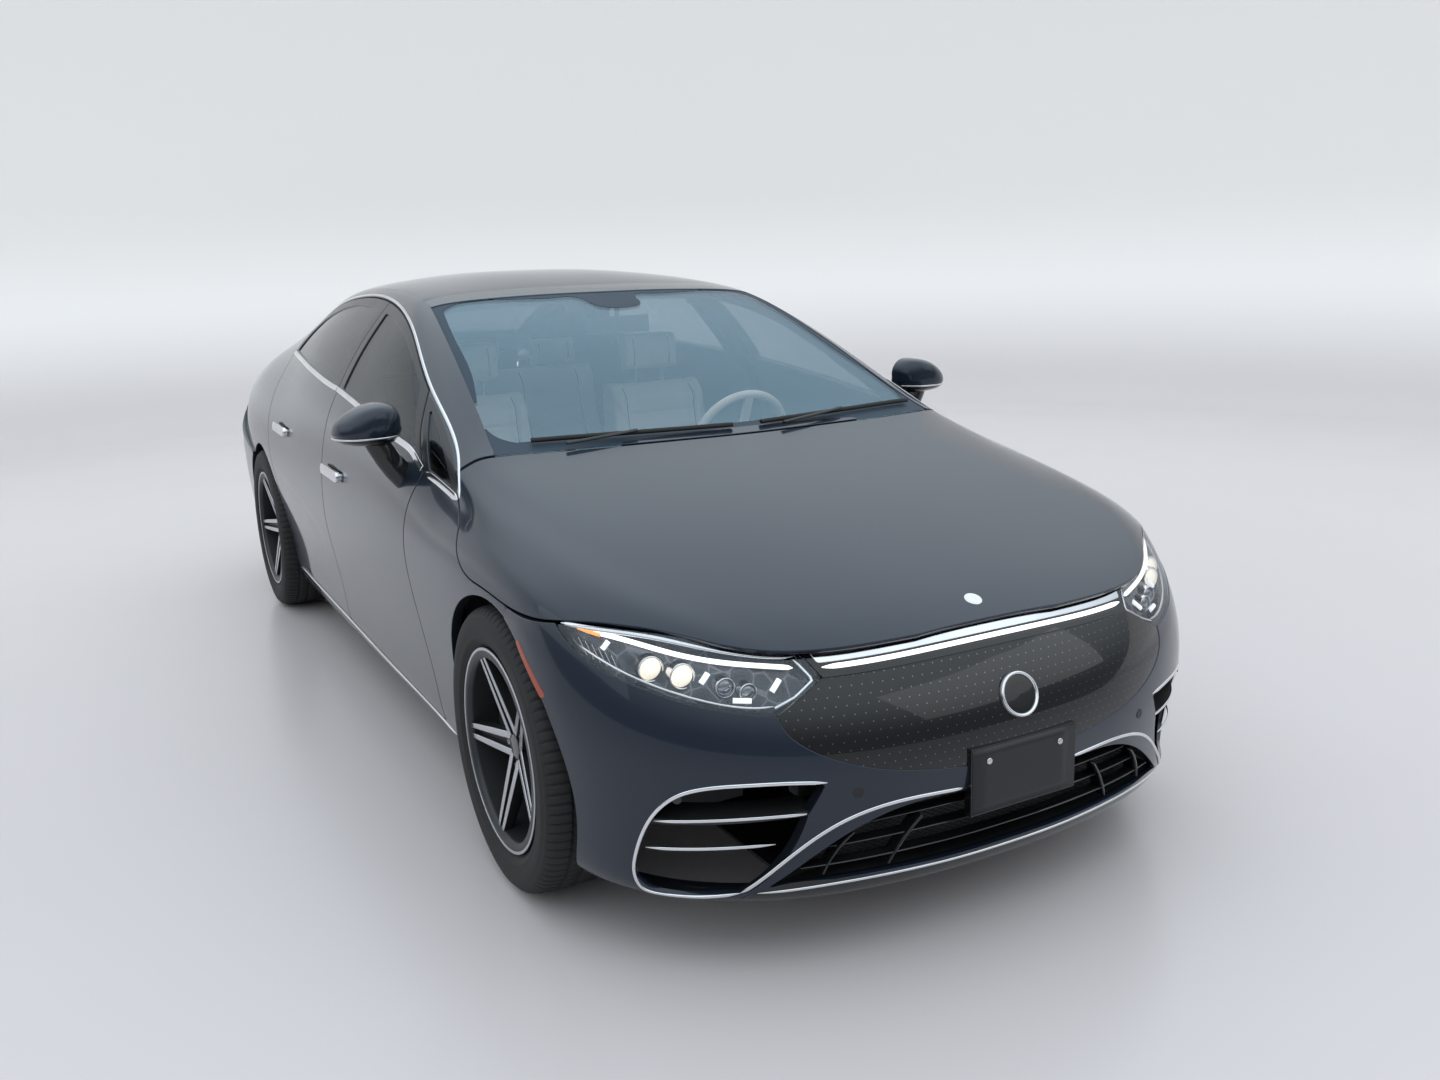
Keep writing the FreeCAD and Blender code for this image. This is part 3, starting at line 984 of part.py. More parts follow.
def at_x(shape, x):
    copy = shape.copy()
    copy.translate(V(x, 0, 0))
    return copy


SEAT_X = 385
shapes["front_seats"] = Part.makeCompound([at_x(seat(size.seat_width), x) for x in (SEAT_X, -SEAT_X)])
half_bench = size.bench_width / 2
bench_seat = prism([[(450, 300), (440, 440), (480, 500), (700, 480), (1000, 460)], [(1000, 460), (1000, 300)],
                    [(1000, 300), (450, 300)]], "x", -half_bench, half_bench)
bench_back = prism([[(930, 430), (960, 600), (1080, 900), (1140, 1070)],
                    [(1140, 1070), (1190, 1080), (1230, 1050)], [(1230, 1050), (1150, 800), (1040, 430)],
                    [(1040, 430), (930, 430)]],
                   "x", -half_bench + 30, half_bench - 30)
heads = [at_x(prism(polygon([(1150, 1060), (1160, 1190), (1230, 1190), (1240, 1040)]), "x", -120, 120), x)
         for x in (-380, 0, 380)]
wheelhouses = [cylinder(size.liner_radius + 12, V(x, REAR_AXLE, size.tyre_radius),
                        V(x + 500, REAR_AXLE, size.tyre_radius))
               for x in (rear_wall_x - 14, -rear_wall_x + 14 - 500)]
bench = bench_seat.fuse([bench_back] + heads).cut(wheelhouses + [rear_rail, mirror_x(rear_rail)])
shapes["rear_bench"] = main_piece(bench)

WHEEL_CENTRE = V(SEAT_X, -640 * ky, 905 * kz)
COLUMN_TILT = math.radians(24)
column_way = V(0, math.cos(COLUMN_TILT), math.sin(COLUMN_TILT))
steering_rim = Part.makeTorus(size.steering_wheel_radius, size.steering_rim_radius, WHEEL_CENTRE, column_way)
hub_plate = cylinder(70, WHEEL_CENTRE - column_way * 38, WHEEL_CENTRE + column_way * 4)
arms = []
for turn in (0, 180, 90):
    arm = box(0, size.steering_wheel_radius, -16, 16, -14, -2)
    arm.rotate(V(0, 0, 0), V(0, 0, 1), -turn)
    facing = FreeCAD.Placement(WHEEL_CENTRE, FreeCAD.Rotation(V(0, 0, 1), column_way))
    arm.Placement = facing.multiply(arm.Placement)
    arms.append(arm)
shapes["steering_wheel"] = steering_rim.fuse([hub_plate] + arms)
column = cylinder(32, WHEEL_CENTRE - column_way * 250, WHEEL_CENTRE - column_way * (38 + size.seat_clearance))
shapes["dashboard"] = dash.fuse([screen, console, column])
glass_mirror = box(-120, 120, -470 * ky, -450 * ky, 1300 * kz, 1360 * kz)
stalk = cylinder(9, V(0, -462 * ky, 1340 * kz), V(0, -462 * ky, 1420 * kz))
shapes["inner_mirror"] = main_piece(glass_mirror.fuse(stalk).cut(shapes["windscreen"]))

for name, shape in shapes.items():
    feature = doc.addObject("Part::Feature", name)
    feature.Label = name
    feature.Shape = shape


def bound_box(name, length, width, height, x, y, z):
    """A box whose sizes and place are expressions on the sheet."""
    block = doc.addObject("Part::Box", name)
    block.Label = name
    for field, formula in (("Length", length), ("Width", width), ("Height", height), ("Placement.Base.x", x),
                           ("Placement.Base.y", y), ("Placement.Base.z", z)):
        block.setExpression(field, formula)
    return block


FRONT = "(sizes.front_overhang - sizes.body_length / 2)"
bound_box("battery_pack", "sizes.battery_width", "sizes.battery_length",
          "sizes.floor_height - sizes.floor_thickness - sizes.underbody_height - sizes.underbody_thickness",
          "-sizes.battery_width / 2", FRONT + " + (sizes.wheelbase_length - sizes.battery_length) / 2",
          "sizes.underbody_height + sizes.underbody_thickness")
bound_box("floor", "2 * sizes.rocker_inner", "2190 * sizes.body_length / 5216", "sizes.floor_thickness",
          "-sizes.rocker_inner", "-1130 * sizes.body_length / 5216", "sizes.floor_height - sizes.floor_thickness")
bound_box("underbody", "960", "4640 * sizes.body_length / 5216", "sizes.underbody_thickness", "-480",
          "-2300 * sizes.body_length / 5216", "sizes.underbody_height")
doc.recompute()

os.makedirs("parts", exist_ok=True)
nodes = [o for o in doc.Objects if hasattr(o, "Shape")]
for node in nodes:
    if "Invalid" in node.State or "Error" in node.State or node.Shape.isNull() or not node.Shape.isValid():
        raise RuntimeError("%s was not made: %s" % (node.Label, node.State))
for node in nodes:
    node.Shape.exportStep("parts/%s.step" % node.Label)
print("%d sub-parts, %d solids" % (len(nodes), sum(len(n.Shape.Solids) for n in nodes)))
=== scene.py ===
"""Looks of a large electric liftback sedan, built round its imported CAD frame.

Every length is in metres and in the frame of the CAD model: the car faces -Y, +X is its left side and +Z is
up. Tables copied from the body's drawings are in millimetres and turned into metres where they are used.
"""

from __future__ import annotations

import json
import logging
import math
from dataclasses import dataclass, field
from enum import Enum
from typing import Callable, Iterable, Protocol, Sequence

import bpy
import numpy as np
from mathutils import Matrix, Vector
from mathutils.bvhtree import BVHTree

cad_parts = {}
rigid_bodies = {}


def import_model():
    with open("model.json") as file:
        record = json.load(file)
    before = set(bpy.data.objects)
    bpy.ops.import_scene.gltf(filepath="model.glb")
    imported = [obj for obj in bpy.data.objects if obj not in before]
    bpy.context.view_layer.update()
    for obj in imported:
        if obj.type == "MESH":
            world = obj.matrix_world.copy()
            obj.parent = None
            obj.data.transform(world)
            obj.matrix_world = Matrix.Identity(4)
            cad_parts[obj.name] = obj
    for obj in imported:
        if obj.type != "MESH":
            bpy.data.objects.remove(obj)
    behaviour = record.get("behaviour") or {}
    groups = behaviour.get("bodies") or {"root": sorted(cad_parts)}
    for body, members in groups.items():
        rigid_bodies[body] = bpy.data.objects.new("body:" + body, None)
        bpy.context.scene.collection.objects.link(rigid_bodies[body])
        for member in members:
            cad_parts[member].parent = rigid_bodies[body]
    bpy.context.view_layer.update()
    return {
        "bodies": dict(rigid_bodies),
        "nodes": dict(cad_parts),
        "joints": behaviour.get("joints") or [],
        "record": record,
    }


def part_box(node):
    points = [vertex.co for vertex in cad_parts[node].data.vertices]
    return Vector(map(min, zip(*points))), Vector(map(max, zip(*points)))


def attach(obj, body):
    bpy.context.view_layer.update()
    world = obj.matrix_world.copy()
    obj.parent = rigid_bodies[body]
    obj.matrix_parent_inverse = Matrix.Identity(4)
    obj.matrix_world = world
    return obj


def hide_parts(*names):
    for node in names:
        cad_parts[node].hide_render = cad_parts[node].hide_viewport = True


log = logging.getLogger("sedan")
MM = 0.001
Point2 = tuple[float, float]
Runs = list[list[Point2]]


# Smooth surfaces

def basis(count: int, t: np.ndarray) -> np.ndarray:
    """Weights of a clamped cubic B-spline with even knots, by the Cox-de Boor recursion.

    Args:
        count: number of poles.
        t: parameters from 0 to 1.

    Returns:
        One row of weights per parameter.
    """
    knots = np.concatenate([np.zeros(3), np.linspace(0.0, 1.0, count - 2), np.ones(3)])
    t = np.clip(t, 0.0, 1.0 - 1e-9)[:, None]
    weights = ((knots[:-1] <= t) & (t < knots[1:])).astype(float)
    for degree in (1, 2, 3):
        size = len(knots) - 1 - degree
        rise, fall = knots[degree:degree + size] - knots[:size], knots[degree + 1:] - knots[1:1 + size]
        up = np.divide(t - knots[:size], rise, out=np.zeros((len(t), size)), where=rise > 0)
        down = np.divide(knots[degree + 1:] - t, fall, out=np.zeros((len(t), size)), where=fall > 0)
        weights = up * weights[:, :size] + down * weights[:, 1:1 + size]
    return weights


def eased(knots: Sequence[Point2], at: np.ndarray) -> np.ndarray:
    """Smooth curve through (place, value) knots: cubic Hermite pieces whose slope at a knot blends its
    neighbours'.

    Args:
        knots: places in rising order with their values.
        at: places to read; past the ends the end pieces' straight lines carry on.

    Returns:
        The curve's values.
    """
    place, value = np.array(knots, float).T
    rise = np.diff(value) / np.diff(place)
    before, after = np.diff(place)[:-1], np.diff(place)[1:]
    slope = np.concatenate([rise[:1], (rise[:-1] * after + rise[1:] * before) / (before + after), rise[-1:]])
    i = np.clip(np.searchsorted(place, at, side="right") - 1, 0, len(place) - 2)
    step = place[i + 1] - place[i]
    s = (at - place[i]) / step
    inside = ((2 * s**3 - 3 * s**2 + 1) * value[i] + (s**3 - 2 * s**2 + s) * step * slope[i]
              + (3 * s**2 - 2 * s**3) * value[i + 1] + (s**3 - s**2) * step * slope[i + 1])
    low, high = value[0] + rise[0] * (at - place[0]), value[-1] + rise[-1] * (at - place[-1])
    return np.where(at < place[0], low, np.where(at > place[-1], high, inside))


class View(Enum):
    """Direction from which an outline is drawn, as the two coordinates that it uses."""

    SIDE = (1, 2)
    PLAN = (0, 1)
    FRONT = (0, 2)


class Skin:
    """A smooth surface over a net of poles, in metres, whose normals point out of the car."""

    def __init__(self, poles: np.ndarray) -> None:
        """Keep the net, given in millimetres."""
        self.poles = np.asarray(poles, float) * MM

    def bare(self, u: np.ndarray, v: np.ndarray) -> np.ndarray:
        """Points at parameters u along the rows and v along the columns: the pole weights of u and v,
        multiplied.

        Args:
            u: parameters along the rows.
            v: parameters along the columns.

        Returns:
            The points.
        """
        rows, columns = self.poles.shape[:2]
        along = np.tensordot(basis(rows, u), self.poles, 1)
        return (basis(columns, v)[:, :, None] * along).sum(1)

    def frame(self, u: np.ndarray, v: np.ndarray) -> tuple[np.ndarray, np.ndarray]:
        """Points and unit normals: the normal is the cross product of the two central differences.

        Args:
            u: parameters along the rows.
            v: parameters along the columns.

        Returns:
            The points and the normals.
        """
        h = 2e-4
        du = self.bare(np.minimum(u + h, 1), v) - self.bare(np.maximum(u - h, 0), v)
        dv = self.bare(u, np.minimum(v + h, 1)) - self.bare(u, np.maximum(v - h, 0))
        normal = np.cross(du, dv)
        return self.bare(u, v), normal / np.maximum(np.linalg.norm(normal, axis=1, keepdims=True), 1e-12)

    def spread(self, axis: int, low: float, high: float, other: float, step: float) -> np.ndarray:
        """Parameters along one axis whose points lie about one step apart, measured along the surface.

        Args:
            axis: 0 for u, 1 for v.
            low: first parameter.
            high: last parameter.
            other: the parameter of the other axis along which the lengths are measured.
            step: wanted distance.

        Returns:
            The parameters, both ends included.
        """
        t = np.linspace(low, high, 400)
        fixed = np.full_like(t, other)
        line = self.bare(t, fixed) if axis == 0 else self.bare(fixed, t)
        length = np.concatenate([[0.0], np.cumsum(np.linalg.norm(np.diff(line, axis=0), axis=1))])
        count = max(2, int(math.ceil(length[-1] / step)) + 1)
        return np.interp(np.linspace(0.0, length[-1], count), length, t)

    def locate(self, view: View, flat: np.ndarray, v_span: Point2 = (0.0,
                                                                     1.0)) -> tuple[np.ndarray, np.ndarray]:
        """Parameters of the points that show at places of a view.

        Newton's method starts from the nearest point of a coarse grid.

        Args:
            view: direction of the view.
            flat: places in millimetres, as rows of two coordinates.
            v_span: part of the surface to search.

        Returns:
            u and v of each place.
        """
        axes, h = list(view.value), 1e-4
        gu, gv = (g.ravel() for g in np.meshgrid(np.linspace(0, 1, 160), np.linspace(*v_span, 160),
                                                 indexing="ij"))
        seen, wanted = self.bare(gu, gv)[:, axes], np.asarray(flat, float) * MM
        near = np.argmin(((wanted[:, None] - seen[None]) ** 2).sum(2), 1)
        u, v = gu[near], gv[near]
        for _ in range(12):
            here = self.bare(u, v)[:, axes]
            u1, v1 = np.where(u + h > 1, u - h, u + h), np.where(v + h > 1, v - h, v + h)
            du = (self.bare(u1, v)[:, axes] - here) / (u1 - u)[:, None]
            dv = (self.bare(u, v1)[:, axes] - here) / (v1 - v)[:, None]
            gap = wanted - here
            size = du[:, 0] * dv[:, 1] - du[:, 1] * dv[:, 0]
            size = np.where(np.abs(size) < 1e-9, 1e-9, size)
            u = np.clip(u + np.clip((gap[:, 0] * dv[:, 1] - gap[:, 1] * dv[:, 0]) / size, -0.05, 0.05), 0, 1)
            v = np.clip(v + np.clip((du[:, 0] * gap[:, 1] - du[:, 1] * gap[:, 0]) / size, -0.05, 0.05),
                        *v_span)
        return u, v

    def spots(self, view: View, flat: Sequence[Point2], depth: float = 0.0,
              v_span: Point2 = (0.0, 1.0)) -> tuple[np.ndarray, np.ndarray]:
        """Points and normals at places of a view, sunk by a depth in metres."""
        point, normal = self.frame(*self.locate(view, np.array(flat, float), v_span))
        return point - normal * depth, normal

    def row_at(self, y: float) -> float:
        """Parameter u at a place along the car, for a net whose rows are cross-sections."""
        t = np.linspace(0.0, 1.0, 4001)
        return float(np.interp(y, self.bare(t, np.full_like(t, 0.5))[:, 1], t))


# Outlines that trim the surfaces

class Holder(Protocol):
    """Anything that can say which points it holds."""

    def holds(self, points: np.ndarray) -> np.ndarray:
        """True for the points inside."""


def smooth_run(run: Sequence[Point2]) -> np.ndarray:
    """Points of a run: a straight edge, or a cubic spline over chord length if it has more than two.

    The spline's second derivatives solve the usual three-term system. Its end slopes are those of the
    polynomial through the four points nearest the end.

    Args:
        run: its points.

    Returns:
        The points.
    """
    points = np.array(run, float)
    if len(points) == 2:
        return points[:1]
    chord = np.concatenate([[0.0], np.cumsum(np.linalg.norm(np.diff(points, axis=0), axis=1))])
    h = np.diff(chord)
    n = len(points)
    few = min(4, n)

    def end_slope(part: slice, at: float) -> np.ndarray:
        """Slope at one place of the polynomial through a few points."""
        weights = np.polyfit(chord[part] - at, points[part], few - 1)
        return weights[-2]

    system, right = np.zeros((n, n)), np.zeros((n, 2))
    k = np.arange(1, n - 1)
    system[k, k - 1], system[k, k], system[k, k + 1] = h[:-1], 2 * (h[:-1] + h[1:]), h[1:]
    slope = np.diff(points, axis=0) / h[:, None]
    right[1:-1] = 6 * np.diff(slope, axis=0)
    system[0, :2], system[-1, -2:] = (2 * h[0], h[0]), (h[-1], 2 * h[-1])
    right[0] = 6 * (slope[0] - end_slope(slice(0, few), chord[0]))
    right[-1] = 6 * (end_slope(slice(n - few, n), chord[-1]) - slope[-1])
    bend = np.linalg.solve(system, right)
    t = np.linspace(0.0, chord[-1], max(8, int(chord[-1] / 10.0)))[:-1]
    i = np.clip(np.searchsorted(chord, t, side="right") - 1, 0, n - 2)
    a, b = (chord[i + 1] - t)[:, None], (t - chord[i])[:, None]
    step = h[i][:, None]
    return ((bend[i] * a**3 + bend[i + 1] * b**3) / (6 * step) + (points[i] / step - bend[i] * step / 6) * a
            + (points[i + 1] / step - bend[i + 1] * step / 6) * b)


def grown(runs: Runs, by: float) -> Runs:
    """The same outline with every point moved outwards by a distance in millimetres, inwards if negative.

    Each point moves along the mean of its two edges' normals, lengthened so that both edges move by the
    distance.

    Args:
        runs: the outline.
        by: the distance.

    Returns:
        The moved outline.
    """
    points = np.array([p for run in runs for p in run[:-1]], float)
    after = np.roll(points, -1, axis=0) - points
    edge = after / np.linalg.norm(after, axis=1, keepdims=True)
    area = np.sum(points[:, 0] * np.roll(points[:, 1], -1) - np.roll(points[:, 0], -1) * points[:, 1])
    normal = np.stack([edge[:, 1], -edge[:, 0]], 1) * (1.0 if area > 0 else -1.0)
    mid = normal + np.roll(normal, 1, axis=0)
    moved = points + mid * (2.0 / np.maximum((mid**2).sum(1), 0.5))[:, None] * by
    result, at = [], 0
    for run in runs:
        result.append([tuple(moved[(at + k) % len(points)]) for k in range(len(run))])
        at += len(run) - 1
    return result


def across(line: Sequence[Point2]) -> list[Point2]:
    """The line on the car's other side, run the other way."""
    return [(-a, b) for a, b in reversed(line)]


def polygon(points: Sequence[Point2]) -> Runs:
    """An outline of straight edges."""
    return [[points[i], points[(i + 1) % len(points)]] for i in range(len(points))]


@dataclass
class Outline:
    """A closed outline seen from one direction, in millimetres.

    Attributes:
        view: direction it is drawn from.
        runs: its edges.
        mirrored: also holds the points of the car's other side.
    """

    view: View
    runs: Runs
    mirrored: bool = False

    def ring(self) -> np.ndarray:
        """All its points, with the curved runs filled in."""
        return np.concatenate([smooth_run(run) for run in self.runs])

    def grown(self, by: float) -> "Outline":
        """The outline moved outwards by a distance in millimetres."""
        return Outline(self.view, grown(self.runs, by), self.mirrored)

    def holds(self, points: np.ndarray) -> np.ndarray:
        """Even-odd test: a point is inside if a ray from it crosses the ring an odd number of times.

        Args:
            points: points to test.

        Returns:
            Whether each point is inside.
        """
        flat = points[:, self.view.value] / MM
        if self.mirrored:
            flat = np.stack([np.abs(flat[:, 0]), flat[:, 1]], 1)
        ring = self.ring()
        following = np.roll(ring, -1, axis=0)
        odd = np.zeros(len(flat), bool)
        for part in np.array_split(np.arange(len(flat)), max(1, len(flat) * len(ring) // 4_000_000)):
            x, y = flat[part, 0][:, None], flat[part, 1][:, None]
            spans = (ring[:, 1] > y) != (following[:, 1] > y)
            slope = (following[:, 0] - ring[:, 0]) / np.where(following[:, 1] == ring[:, 1], 1.0,
                                                              following[:, 1] - ring[:, 1])
            odd[part] = (spans & (x < ring[:, 0] + slope * (y - ring[:, 1]))).sum(1) % 2 == 1
        return odd


@dataclass
class Circle:
    """A round wheel opening seen from the side, in metres."""

    y: float
    z: float
    radius: float

    def holds(self, points: np.ndarray) -> np.ndarray:
        """True where the distance from the centre in the side view is under the radius."""
        return np.hypot(points[:, 1] - self.y, points[:, 2] - self.z) < self.radius

    def grown(self, by: float) -> "Circle":
        """The circle with its radius changed by a distance in millimetres."""
        return Circle(self.y, self.z, self.radius + by * MM)


@dataclass
class Area:
    """What lies inside all of one set of outlines and outside all of another."""

    within: list[Holder]
    without: list[Holder] = field(default_factory=list)

    def holds(self, points: np.ndarray) -> np.ndarray:
        """Both sets' tests, joined.

        Args:
            points: points to test.

        Returns:
            Whether each point is held.
        """
        kept = np.ones(len(points), bool)
        for holder in self.within:
            kept &= holder.holds(points)
        for holder in self.without:
            kept &= ~holder.holds(points)
        return kept

    def grown(self, by: float) -> "Area":
        """The area with its edge moved outwards: the inner outlines grow and the cut-outs shrink."""
        return Area([h.grown(by) for h in self.within], [h.grown(-by) for h in self.without])


@dataclass
class Band:
    """Points whose coordinate on one axis lies between two values, in metres."""

    axis: int
    low: float
    high: float

    def holds(self, points: np.ndarray) -> np.ndarray:
        """True between the two values."""
        return (points[:, self.axis] > self.low) & (points[:, self.axis] < self.high)

    def grown(self, by: float) -> "Band":
        """The band itself; a limit of the surface isn't an edge of the panel."""
        return self


# Meshes

@dataclass
class Sheet:
    """Points with normals and faces, kept as arrays of corners by the number of corners."""

    points: np.ndarray
    normals: np.ndarray
    faces: list[np.ndarray]

    def mirrored(self) -> "Sheet":
        """The same sheet on the car's other side, with its faces turned to point outwards again."""
        flip = np.array([-1.0, 1.0, 1.0])
        return Sheet(self.points * flip, self.normals * flip, [f[:, ::-1] for f in self.faces])

    def joined(self, *others: "Sheet") -> "Sheet":
        """This sheet and others as one.

        Returns:
            The joined sheet.
        """
        points, normals, faces, start = [self.points], [self.normals], list(self.faces), len(self.points)
        for other in others:
            points.append(other.points)
            normals.append(other.normals)
            faces += [f + start for f in other.faces]
            start += len(other.points)
        return Sheet(np.concatenate(points), np.concatenate(normals), faces)

    def turned_over(self) -> "Sheet":
        """The sheet facing the other way."""
        return Sheet(self.points, -self.normals, [f[:, ::-1] for f in self.faces])

    def hemmed(self, profile: Sequence[Point2]) -> "Sheet":
        """The sheet with its free edges rolled over.

        Each step of the profile adds a ring of points, edge + outward * step[0] - normal * step[1], where
        outward is the mean over the point's free edges of edge direction x normal.

        Args:
            profile: distances outwards and downwards of each ring, in millimetres.

        Returns:
            The sheet with its hem.
        """
        count = len(self.points)
        a = np.concatenate([f.ravel() for f in self.faces])
        b = np.concatenate([np.roll(f, -1, axis=1).ravel() for f in self.faces])
        free = ~np.isin(a * count + b, b * count + a)
        a, b = a[free], b[free]
        way = np.cross(self.points[b] - self.points[a], 0.5 * (self.normals[a] + self.normals[b]))
        way /= np.maximum(np.linalg.norm(way, axis=1, keepdims=True), 1e-12)
        outward = np.zeros_like(self.points)
        np.add.at(outward, a, way)
        np.add.at(outward, b, way)
        edge = np.unique(a)
        out = outward[edge] / np.maximum(np.linalg.norm(outward[edge], axis=1, keepdims=True), 1e-12)
        index = np.full(count, -1)
        index[edge] = np.arange(len(edge))
        steps = np.array([(0.0, 0.0), *profile]) * MM
        moves = np.diff(steps, axis=0)
        lean = np.stack([moves[:, 1], moves[:, 0]], 1) / np.linalg.norm(moves, axis=1, keepdims=True)
        lean = np.concatenate([lean, lean[-1:]])
        tilt = 0.5 * (lean[:-1] + lean[1:])
        points, normals, faces = [self.points], [self.normals], list(self.faces)
        ring_a, ring_b = a, b
        for k in range(len(profile)):
            points.append(self.points[edge] + out * steps[k + 1, 0] - self.normals[edge] * steps[k + 1, 1])
            normal = out * tilt[k, 0] + self.normals[edge] * tilt[k, 1]
            normals.append(normal / np.maximum(np.linalg.norm(normal, axis=1, keepdims=True), 1e-12))
            next_a, next_b = (index[x] + count + k * len(edge) for x in (a, b))
            faces.append(np.stack([ring_b, ring_a, next_a, next_b], 1))
            ring_a, ring_b = next_a, next_b
        return Sheet(np.concatenate(points), np.concatenate(normals), faces)

    def thick(self, depth: float) -> "Sheet":
        """The sheet closed into a plate: a second copy one depth below it, joined along the free edges.

        Args:
            depth: thickness of the plate in metres.

        Returns:
            The plate.
        """
        count = len(self.points)
        a = np.concatenate([f.ravel() for f in self.faces])
        b = np.concatenate([np.roll(f, -1, axis=1).ravel() for f in self.faces])
        free = ~np.isin(a * count + b, b * count + a)
        a, b = a[free], b[free]
        below = Sheet(self.points - self.normals * depth, -self.normals, [f[:, ::-1] for f in self.faces])
        both = self.joined(below)
        both.faces.append(np.stack([b, a, a + count, b + count], 1))
        return both


def trimmed(skin: Skin, area: Holder, u_span: Point2, v_span: Point2, step: float = 0.012, lift: float = 0.0,
            relief: Callable[[np.ndarray], np.ndarray] | None = None) -> Sheet:
    """The part of a surface that an area holds, as a grid whose edge cells are cut where the area ends.

    A grid of parameters is laid over the surface. On each grid edge with one end inside, bisection finds the
    last parameter inside. Each cell then keeps the polygon of its inner corners and of the cuts on its edges.

    Args:
        skin: the surface.
        area: what to keep, tested on the bare surface's points.
        u_span: first and last u.
        v_span: first and last v.
        step: size of a cell.
        lift: height over the surface.
        relief: more height at each point, or None.

    Returns:
        The trimmed sheet.
    """
    us = skin.spread(0, *u_span, 0.5 * sum(v_span), step)
    vs = skin.spread(1, *v_span, 0.5 * sum(u_span), step)
    u, v = (g.ravel() for g in np.meshgrid(us, vs, indexing="ij"))
    inside = area.holds(skin.bare(u, v))
    rows, columns = len(us), len(vs)
    number = np.arange(rows * columns).reshape(rows, columns)
    starts = [number[:-1, :].ravel(), number[:, :-1].ravel()]
    ends = [number[1:, :].ravel(), number[:, 1:].ravel()]
    cut_index, cut_u, cut_v, total = [], [], [], rows * columns
    for a, b in zip(starts, ends):
        crossing = inside[a] != inside[b]
        index = np.full(len(a), -1)
        index[crossing] = total + np.arange(crossing.sum())
        total += int(crossing.sum())
        near = np.where(inside[a[crossing]], a[crossing], b[crossing])
        far = np.where(inside[a[crossing]], b[crossing], a[crossing])
        low, high = np.zeros(len(near)), np.ones(len(near))
        for _ in range(12):
            mid = 0.5 * (low + high)
            held = area.holds(skin.bare(u[near] + (u[far] - u[near]) * mid, v[near] + (v[far] - v[near])
                                        * mid))
            low, high = np.where(held, mid, low), np.where(held, high, mid)
        cut_index.append(index)
        cut_u.append(u[near] + (u[far] - u[near]) * low)
        cut_v.append(v[near] + (v[far] - v[near]) * low)
    u, v = np.concatenate([u, *cut_u]), np.concatenate([v, *cut_v])
    along, over = cut_index[0].reshape(rows - 1, columns), cut_index[1].reshape(rows, columns - 1)
    corners = [number[:-1, :-1], number[1:, :-1], number[1:, 1:], number[:-1, 1:]]
    cuts = [along[:, :-1], over[1:, :], along[:, 1:], over[:-1, :]]
    flags = [inside[c] for c in corners]
    faces: list[np.ndarray] = []
    for pattern in range(1, 16):
        wanted = [bool(pattern >> k & 1) for k in range(4)]
        match = np.logical_and.reduce([f == w for f, w in zip(flags, wanted)])
        if not match.any():
            continue
        ring = []
        for k in range(4):
            if wanted[k]:
                ring.append(corners[k][match])
            if wanted[k] != wanted[(k + 1) % 4]:
                ring.append(cuts[k][match])
        faces.append(np.stack(ring, 1))
    used = np.unique(np.concatenate([f.ravel() for f in faces]))
    renumber = np.full(len(u), -1)
    renumber[used] = np.arange(len(used))
    u, v = u[used], v[used]
    faces = [renumber[f] for f in faces]

    def raised(uu: np.ndarray, vv: np.ndarray) -> np.ndarray:
        """Points of the surface with its lift and relief.

        Args:
            uu: parameters along the rows.
            vv: parameters along the columns.

        Returns:
            The points.
        """
        base, normal = skin.frame(uu, vv)
        height = lift if relief is None else lift + relief(base)
        return base + normal * np.reshape(height, (-1, 1))

    points, normals = skin.frame(u, v)
    if relief is not None:
        h = 4e-4
        du = raised(np.minimum(u + h, 1), v) - raised(np.maximum(u - h, 0), v)
        dv = raised(u, np.minimum(v + h, 1)) - raised(u, np.maximum(v - h, 0))
        normals = np.cross(du, dv)
        normals /= np.maximum(np.linalg.norm(normals, axis=1, keepdims=True), 1e-12)
        points = raised(u, v)
    else:
        points = points + normals * lift
    return Sheet(points, normals, faces)


def grid_sheet(points: np.ndarray, wrap_rows: bool = False, wrap_columns: bool = False) -> Sheet:
    """A sheet over a grid of points, with normals from central differences.

    Args:
        points: array of rows x columns x 3.
        wrap_rows: join the last row to the first.
        wrap_columns: join the last column to the first.

    Returns:
        The sheet, whose normals are row direction x column direction.
    """
    rows, columns = points.shape[:2]

    def slope(axis: int, wrap: bool) -> np.ndarray:
        """Central differences along one axis, wrapped round or one-sided at the ends."""
        if wrap:
            return np.roll(points, -1, axis) - np.roll(points, 1, axis)
        return np.gradient(points, axis=axis)

    normal = np.cross(slope(0, wrap_rows), slope(1, wrap_columns))
    normal /= np.maximum(np.linalg.norm(normal, axis=2, keepdims=True), 1e-12)
    number = np.arange(rows * columns).reshape(rows, columns)
    if wrap_rows:
        number = np.concatenate([number, number[:1]], 0)
    if wrap_columns:
        number = np.concatenate([number, number[:, :1]], 1)
    faces = np.stack([number[:-1, :-1], number[1:, :-1], number[1:, 1:], number[:-1, 1:]], -1).reshape(-1, 4)
    return Sheet(points.reshape(-1, 3), normal.reshape(-1, 3), [faces])


